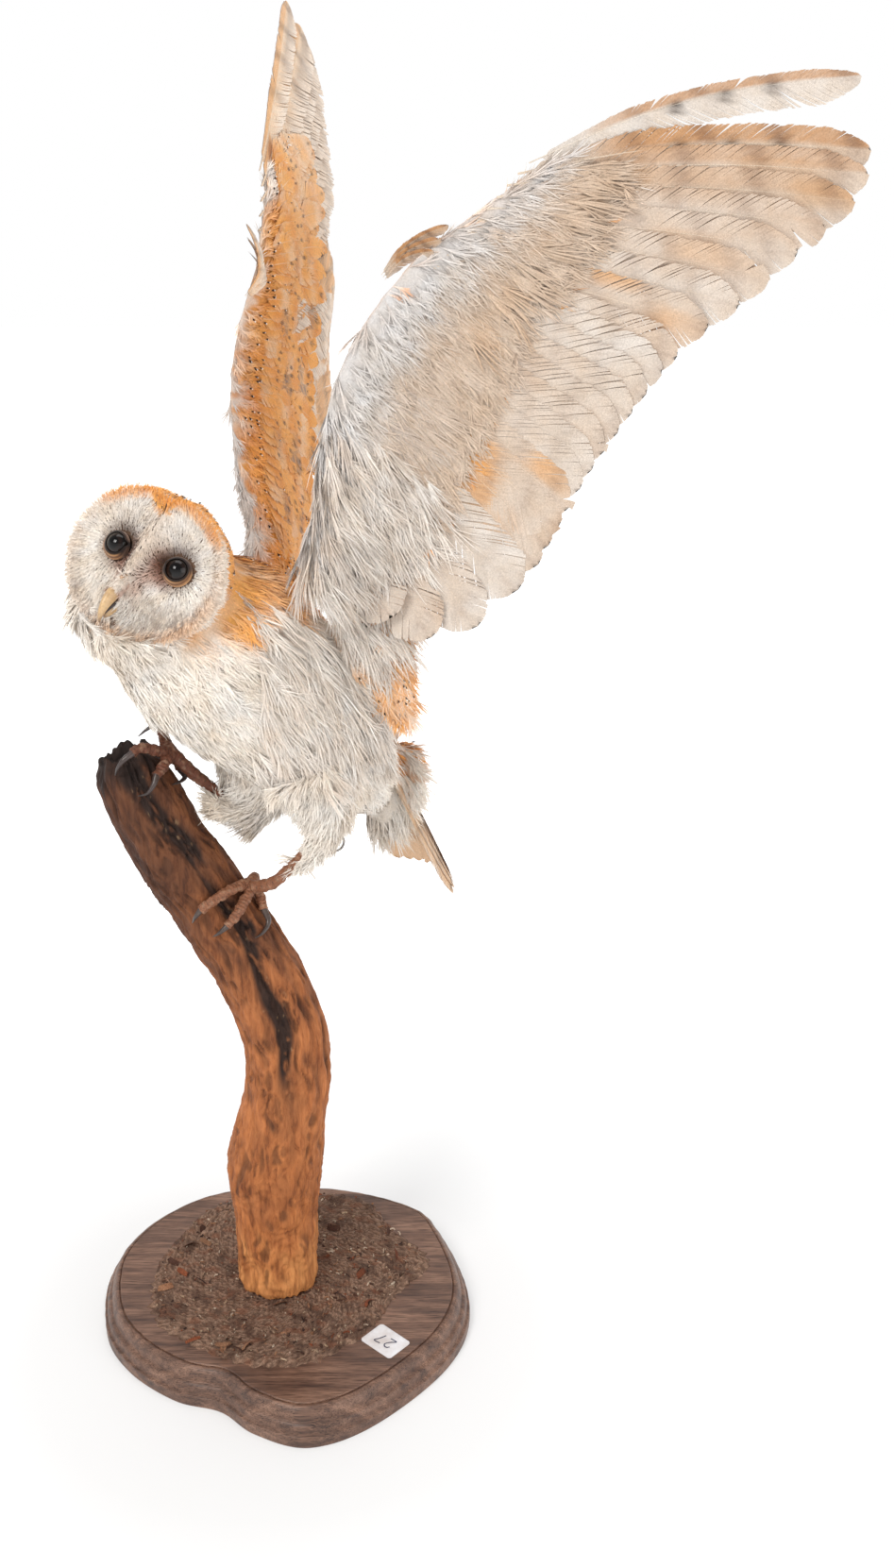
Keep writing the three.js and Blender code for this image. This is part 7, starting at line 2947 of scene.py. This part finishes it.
@dataclass
class Feet:
    """Dry scaly feet with long claws."""

    log: PerchLog

    def scaly(self, route: Array, count: int, seed: int, skin: Array) -> tuple[Array, Array, Array]:
        """A scaly tube: plates along its length, pebbles round it and slack wrinkles.

        Args:
            route: n by 4 knots with radii.
            count: rings.
            seed: seed of the wrinkles.
            skin: linear base colour.

        Returns:
            Points, triangles and colours.
        """
        sides = 30
        dense = curve_through(route, count)
        wrinkle = Ripple(5, seed, 16)

        def relief(along: Array, angle: Array) -> Array:
            """Plates and pebbles.

            Args:
                along: distance along the tube.
                angle: angle round it in radians.

            Returns:
                Extra radius in millimetres.
            """
            plate = np.abs(np.sin(along * 1.35 + 0.5 * np.sin(angle)))
            pebble = np.sin(along * 2.6 + 1.5 * np.sin(angle * 3)) * np.sin(angle * 8)
            knuckle = 0.45 * np.sin(along * 0.42 + 0.8) ** 2
            return 0.3 * plate - 0.3 + 0.16 * pebble + knuckle

        rings = sweep(dense, sides, relief)
        rings = rings + unit(rings - dense[:, None, :3]) * (0.3 * wrinkle(rings))[..., None]
        along = reach_along(dense[:, :3])[:, None]
        angle = np.linspace(0, 2 * math.pi, sides, endpoint=False)[None]
        seam = smooth(0.3, 0.0, np.abs(np.sin(along * 1.35 + 0.5 * np.sin(angle))))
        tone = tint(skin * 1.15, skin * 0.4, 0.8 * seam)
        tone = tint(tone, linear((196, 164, 134)), 0.3 * smooth(0.3, 1.2, wrinkle(rings)))
        return *closed_loft(rings), loft_tones(tone)

    def build(self, leg: Leg, flesh: bpy.types.Material, horn: bpy.types.Material) -> None:
        """Build one foot and its claws.

        Args:
            leg: which leg.
            flesh: material of the skin.
            horn: material of the claws.
        """
        skin, claw = linear(leg.skin), linear(leg.claw)
        foot, claws = Weave(), Weave()
        shank = np.array(leg.shank, float)
        ball = self.log.on(*leg.joint)
        start = shank[:1] * 2 - shank[1:2]
        knots = np.concatenate([start * 0.6 + shank[:1] * 0.4, shank])
        body = np.concatenate([BIRD.out(knots[:, :3]), ball[None]])
        radii = np.array([2.8, 3.0, 3.2, 3.9, 4.0])[:len(body)]
        parts = [self.scaly(np.concatenate([body, radii[:, None]], 1), 80, 500, skin)]
        for number, (toe, tip) in enumerate(leg.toes.values()):
            points = np.concatenate([ball[None], [self.log.on(*row) for row in toe]])
            radius = np.concatenate([[4.2], np.linspace(3.5, 2.7, len(points) - 1)])
            parts.append(self.scaly(np.concatenate([points, radius[:, None]], 1), 70, 510 + number, skin))
            pad = np.array([self.log.on(*row) for row in tip])
            before = points[-1] * 0.8 + points[-2] * 0.2
            path = np.concatenate([before[None], pad])
            width = np.interp(np.linspace(0, 1, len(path)), [0, 0.25, 0.6, 1], [2.5, 2.3, 1.5, 0.25])
            dense = curve_through(np.concatenate([path, width[:, None]], 1), 48)
            dense[:, 3] = np.maximum(dense[:, 3], 0.15)
            horn_points, horn_faces = closed_loft(sweep(dense, 18, lambda s, a: 0.05 * np.sin(a * 7 + s)))
            share = np.concatenate([np.repeat(np.linspace(0, 1, 48), 18), [0, 1]])
            tone = tint(claw * 1.5, claw * 0.6, share)
            claws.add(horn_points, horn_faces, tone, np.zeros((len(horn_points), 2)))
        for points, faces, tone in parts:
            foot.add(points, faces, tone, np.zeros((len(points), 2)))
        nodes = [f"{kind}_{leg.name}" for kind in leg.toes]
        for weave, name, finish, slot, replaced in (
                (foot, f"foot_{leg.name}", flesh, "foot_skin", [f"shank_{leg.name}"]
                 + [f"toe_{n}" for n in nodes]),
                (claws, f"claws_{leg.name}", horn, "claw", [f"claw_{n}" for n in nodes])):
            mount(weave.make(name), finish, slot, *replaced)


# ---------------------------------------------------------------- stage


@dataclass(frozen=True)
class Lamp:
    """One soft square light: place, aim and side in metres, power in watts, and colour."""

    name: str
    at: tuple[float, float, float]
    aim: tuple[float, float, float]
    size: float
    power: float
    colour: Colour = (1.0, 1.0, 1.0)


@dataclass
class Studio:
    """A white floor and soft lights, and the camera, in metres."""

    floor_half: float = 30.0
    floor_grey: float = 0.55
    eye: tuple[float, float, float] = (0.118, -0.860, 0.722)
    tilt: float = 70.8
    lens: float = 32.51
    lamps: tuple[Lamp, ...] = (
        Lamp("key", (-0.9, -1.5, 2.0), (0.08, 0, 0.5), 0.9, 31, (1.0, 0.975, 0.945)),
        Lamp("fill", (1.7, -1.1, 0.9), (0.1, 0, 0.5), 1.4, 10, (1.0, 0.99, 0.98)),
        Lamp("top", (0.2, 0.5, 2.2), (0.1, 0, 0.4), 1.4, 16),
        Lamp("catchlight", (-0.5, -1.2, 1.5), (-0.05, -0.04, 0.57), 0.16, 1.6),
    )

    def floor(self) -> None:
        """Lay the near-white floor, which glows more with distance so that it has no horizon."""
        mesh = bpy.data.meshes.new("studio_floor")
        half = self.floor_half
        mesh.from_pydata([(-half, -half, 0), (half, -half, 0), (half, half, 0), (-half, half, 0)], [],
                         [(0, 1, 2, 3)])
        floor = linked("studio_floor", mesh)
        n = Nodes("studio_white")
        away = n.add("VectorMath", operation="LENGTH",
                     Vector=n.add("TexCoord").outputs["Object"]).outputs["Value"]
        glow = n.add("MapRange", Value=away, From__Min=0.18, From__Max=0.8, To__Min=0.4, To__Max=1.0)
        n.plug((1.0, 1.0, 1.0, 1.0), n.shader.inputs["Emission Color"])
        n.plug(glow.outputs["Result"], n.shader.inputs["Emission Strength"])
        floor.data.materials.append(n.finish((self.floor_grey,) * 3, 1.0, None, Specular__IOR__Level=0.0))

    @staticmethod
    def light(lamp: Lamp) -> None:
        """Place one soft area light.

        Args:
            lamp: the light's place, aim, size, power and colour.
        """
        data = bpy.data.lights.new(lamp.name, "AREA")
        data.energy, data.size, data.color = lamp.power, lamp.size, lamp.colour
        made = linked(lamp.name, data)
        made.location = lamp.at
        made.rotation_euler = (Vector(lamp.aim) - Vector(lamp.at)).to_track_quat("-Z", "Y").to_euler()

    def lights(self) -> None:
        """Place all lights and the surround, which is white near the horizon and dimmer overhead."""
        for lamp in self.lamps:
            self.light(lamp)
        world = bpy.data.worlds.new("surround")
        bpy.context.scene.world = world
        world.use_nodes = True
        tree = world.node_tree
        sky, place, split, ramp = tree.nodes["Background"], *(tree.nodes.new(f"ShaderNode{kind}") for kind in (
            "TexCoord", "SeparateXYZ", "MapRange"))
        tree.links.new(place.outputs["Generated"], split.inputs[0])
        tree.links.new(split.outputs["Z"], ramp.inputs["Value"])
        for name, value in (("From Min", 0.2), ("From Max", 0.4), ("To Min", 1.0), ("To Max", 0.42)):
            ramp.inputs[name].default_value = value
        tree.links.new(ramp.outputs["Result"], sky.inputs["Strength"])
        sky.inputs["Color"].default_value = (1, 1, 1, 1)
        bpy.context.scene.view_settings.view_transform = "Standard"

    def camera(self) -> None:
        """Place the camera."""
        data = bpy.data.cameras.new("camera")
        data.lens = self.lens
        data.clip_start, data.clip_end = 0.01, 50.0
        camera = linked("camera", data)
        camera.location = self.eye
        camera.rotation_euler = (math.radians(self.tilt), 0.0, 0.0)
        bpy.context.scene.camera = camera

    def build(self) -> None:
        """Build the whole stage."""
        self.floor()
        self.lights()
        self.camera()


def main() -> None:
    """Build the owl, its stand and the stage."""
    logging.basicConfig(level=logging.INFO, format="%(name)s %(message)s")
    for leftover in list(bpy.data.objects):
        bpy.data.objects.remove(leftover)
    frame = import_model()
    nodes = frame["nodes"]
    feather = Plumage("soft_plumage", contrast=0.14).make()
    flight = Plumage("flight_plumage", 0.7, 0.15, 1200.0, 0.16).make()
    horn = Toned("bill_horn", 0.38, 900.0, 0.15, 0.0001, 0.2, 0.5).make()
    claw = Toned("claw_horn", 0.4, 900.0, 0.3, 0.0001, 0.2, 0.5).make()
    scale = Toned("foot_scales", 0.62, 1100.0, 0.35, 0.0003).make()
    wings = {}
    for region, pose in ((Region.LEFT_ARM, LEFT_POSE), (Region.RIGHT_ARM, RIGHT_POSE)):
        wing = Wing(pose)
        wings[region] = wing
        arm = [nodes[f"{part}_{pose.name}"] for part in ("upper_arm", "forearm", "hand")]
        WingDress(wing, Contour(wing, arm), flight).build()
    head = Head()
    skin = Skin(head.form, wings)
    skin.build(nodes, feather)
    Coat(skin).build(feather)
    head.build(feather, EyeGlass("eye_glass").make(), horn)
    Tail().build(flight)
    log = PerchLog()
    log.build(BarkWood("bark_wood").make())
    for leg in (LEFT_LEG, RIGHT_LEG):
        Feet(log).build(leg, scale, claw)
    stand = Stand()
    stand.plaque(WaxedWood("waxed_wood").make())
    stand.groundwork(Toned("peat", 0.95, 1500.0, 0.45, 0.0008).make())
    paper = Toned("paper", 0.75, 400.0, 0.03, 0.00005).make()
    stand.label(paper, Toned("ink", 0.6, 400.0, 0.1, 0.00005).make())
    stand.hook(DullWire("dull_wire").make())
    Studio().build()


if __name__ == "__main__":
    main()
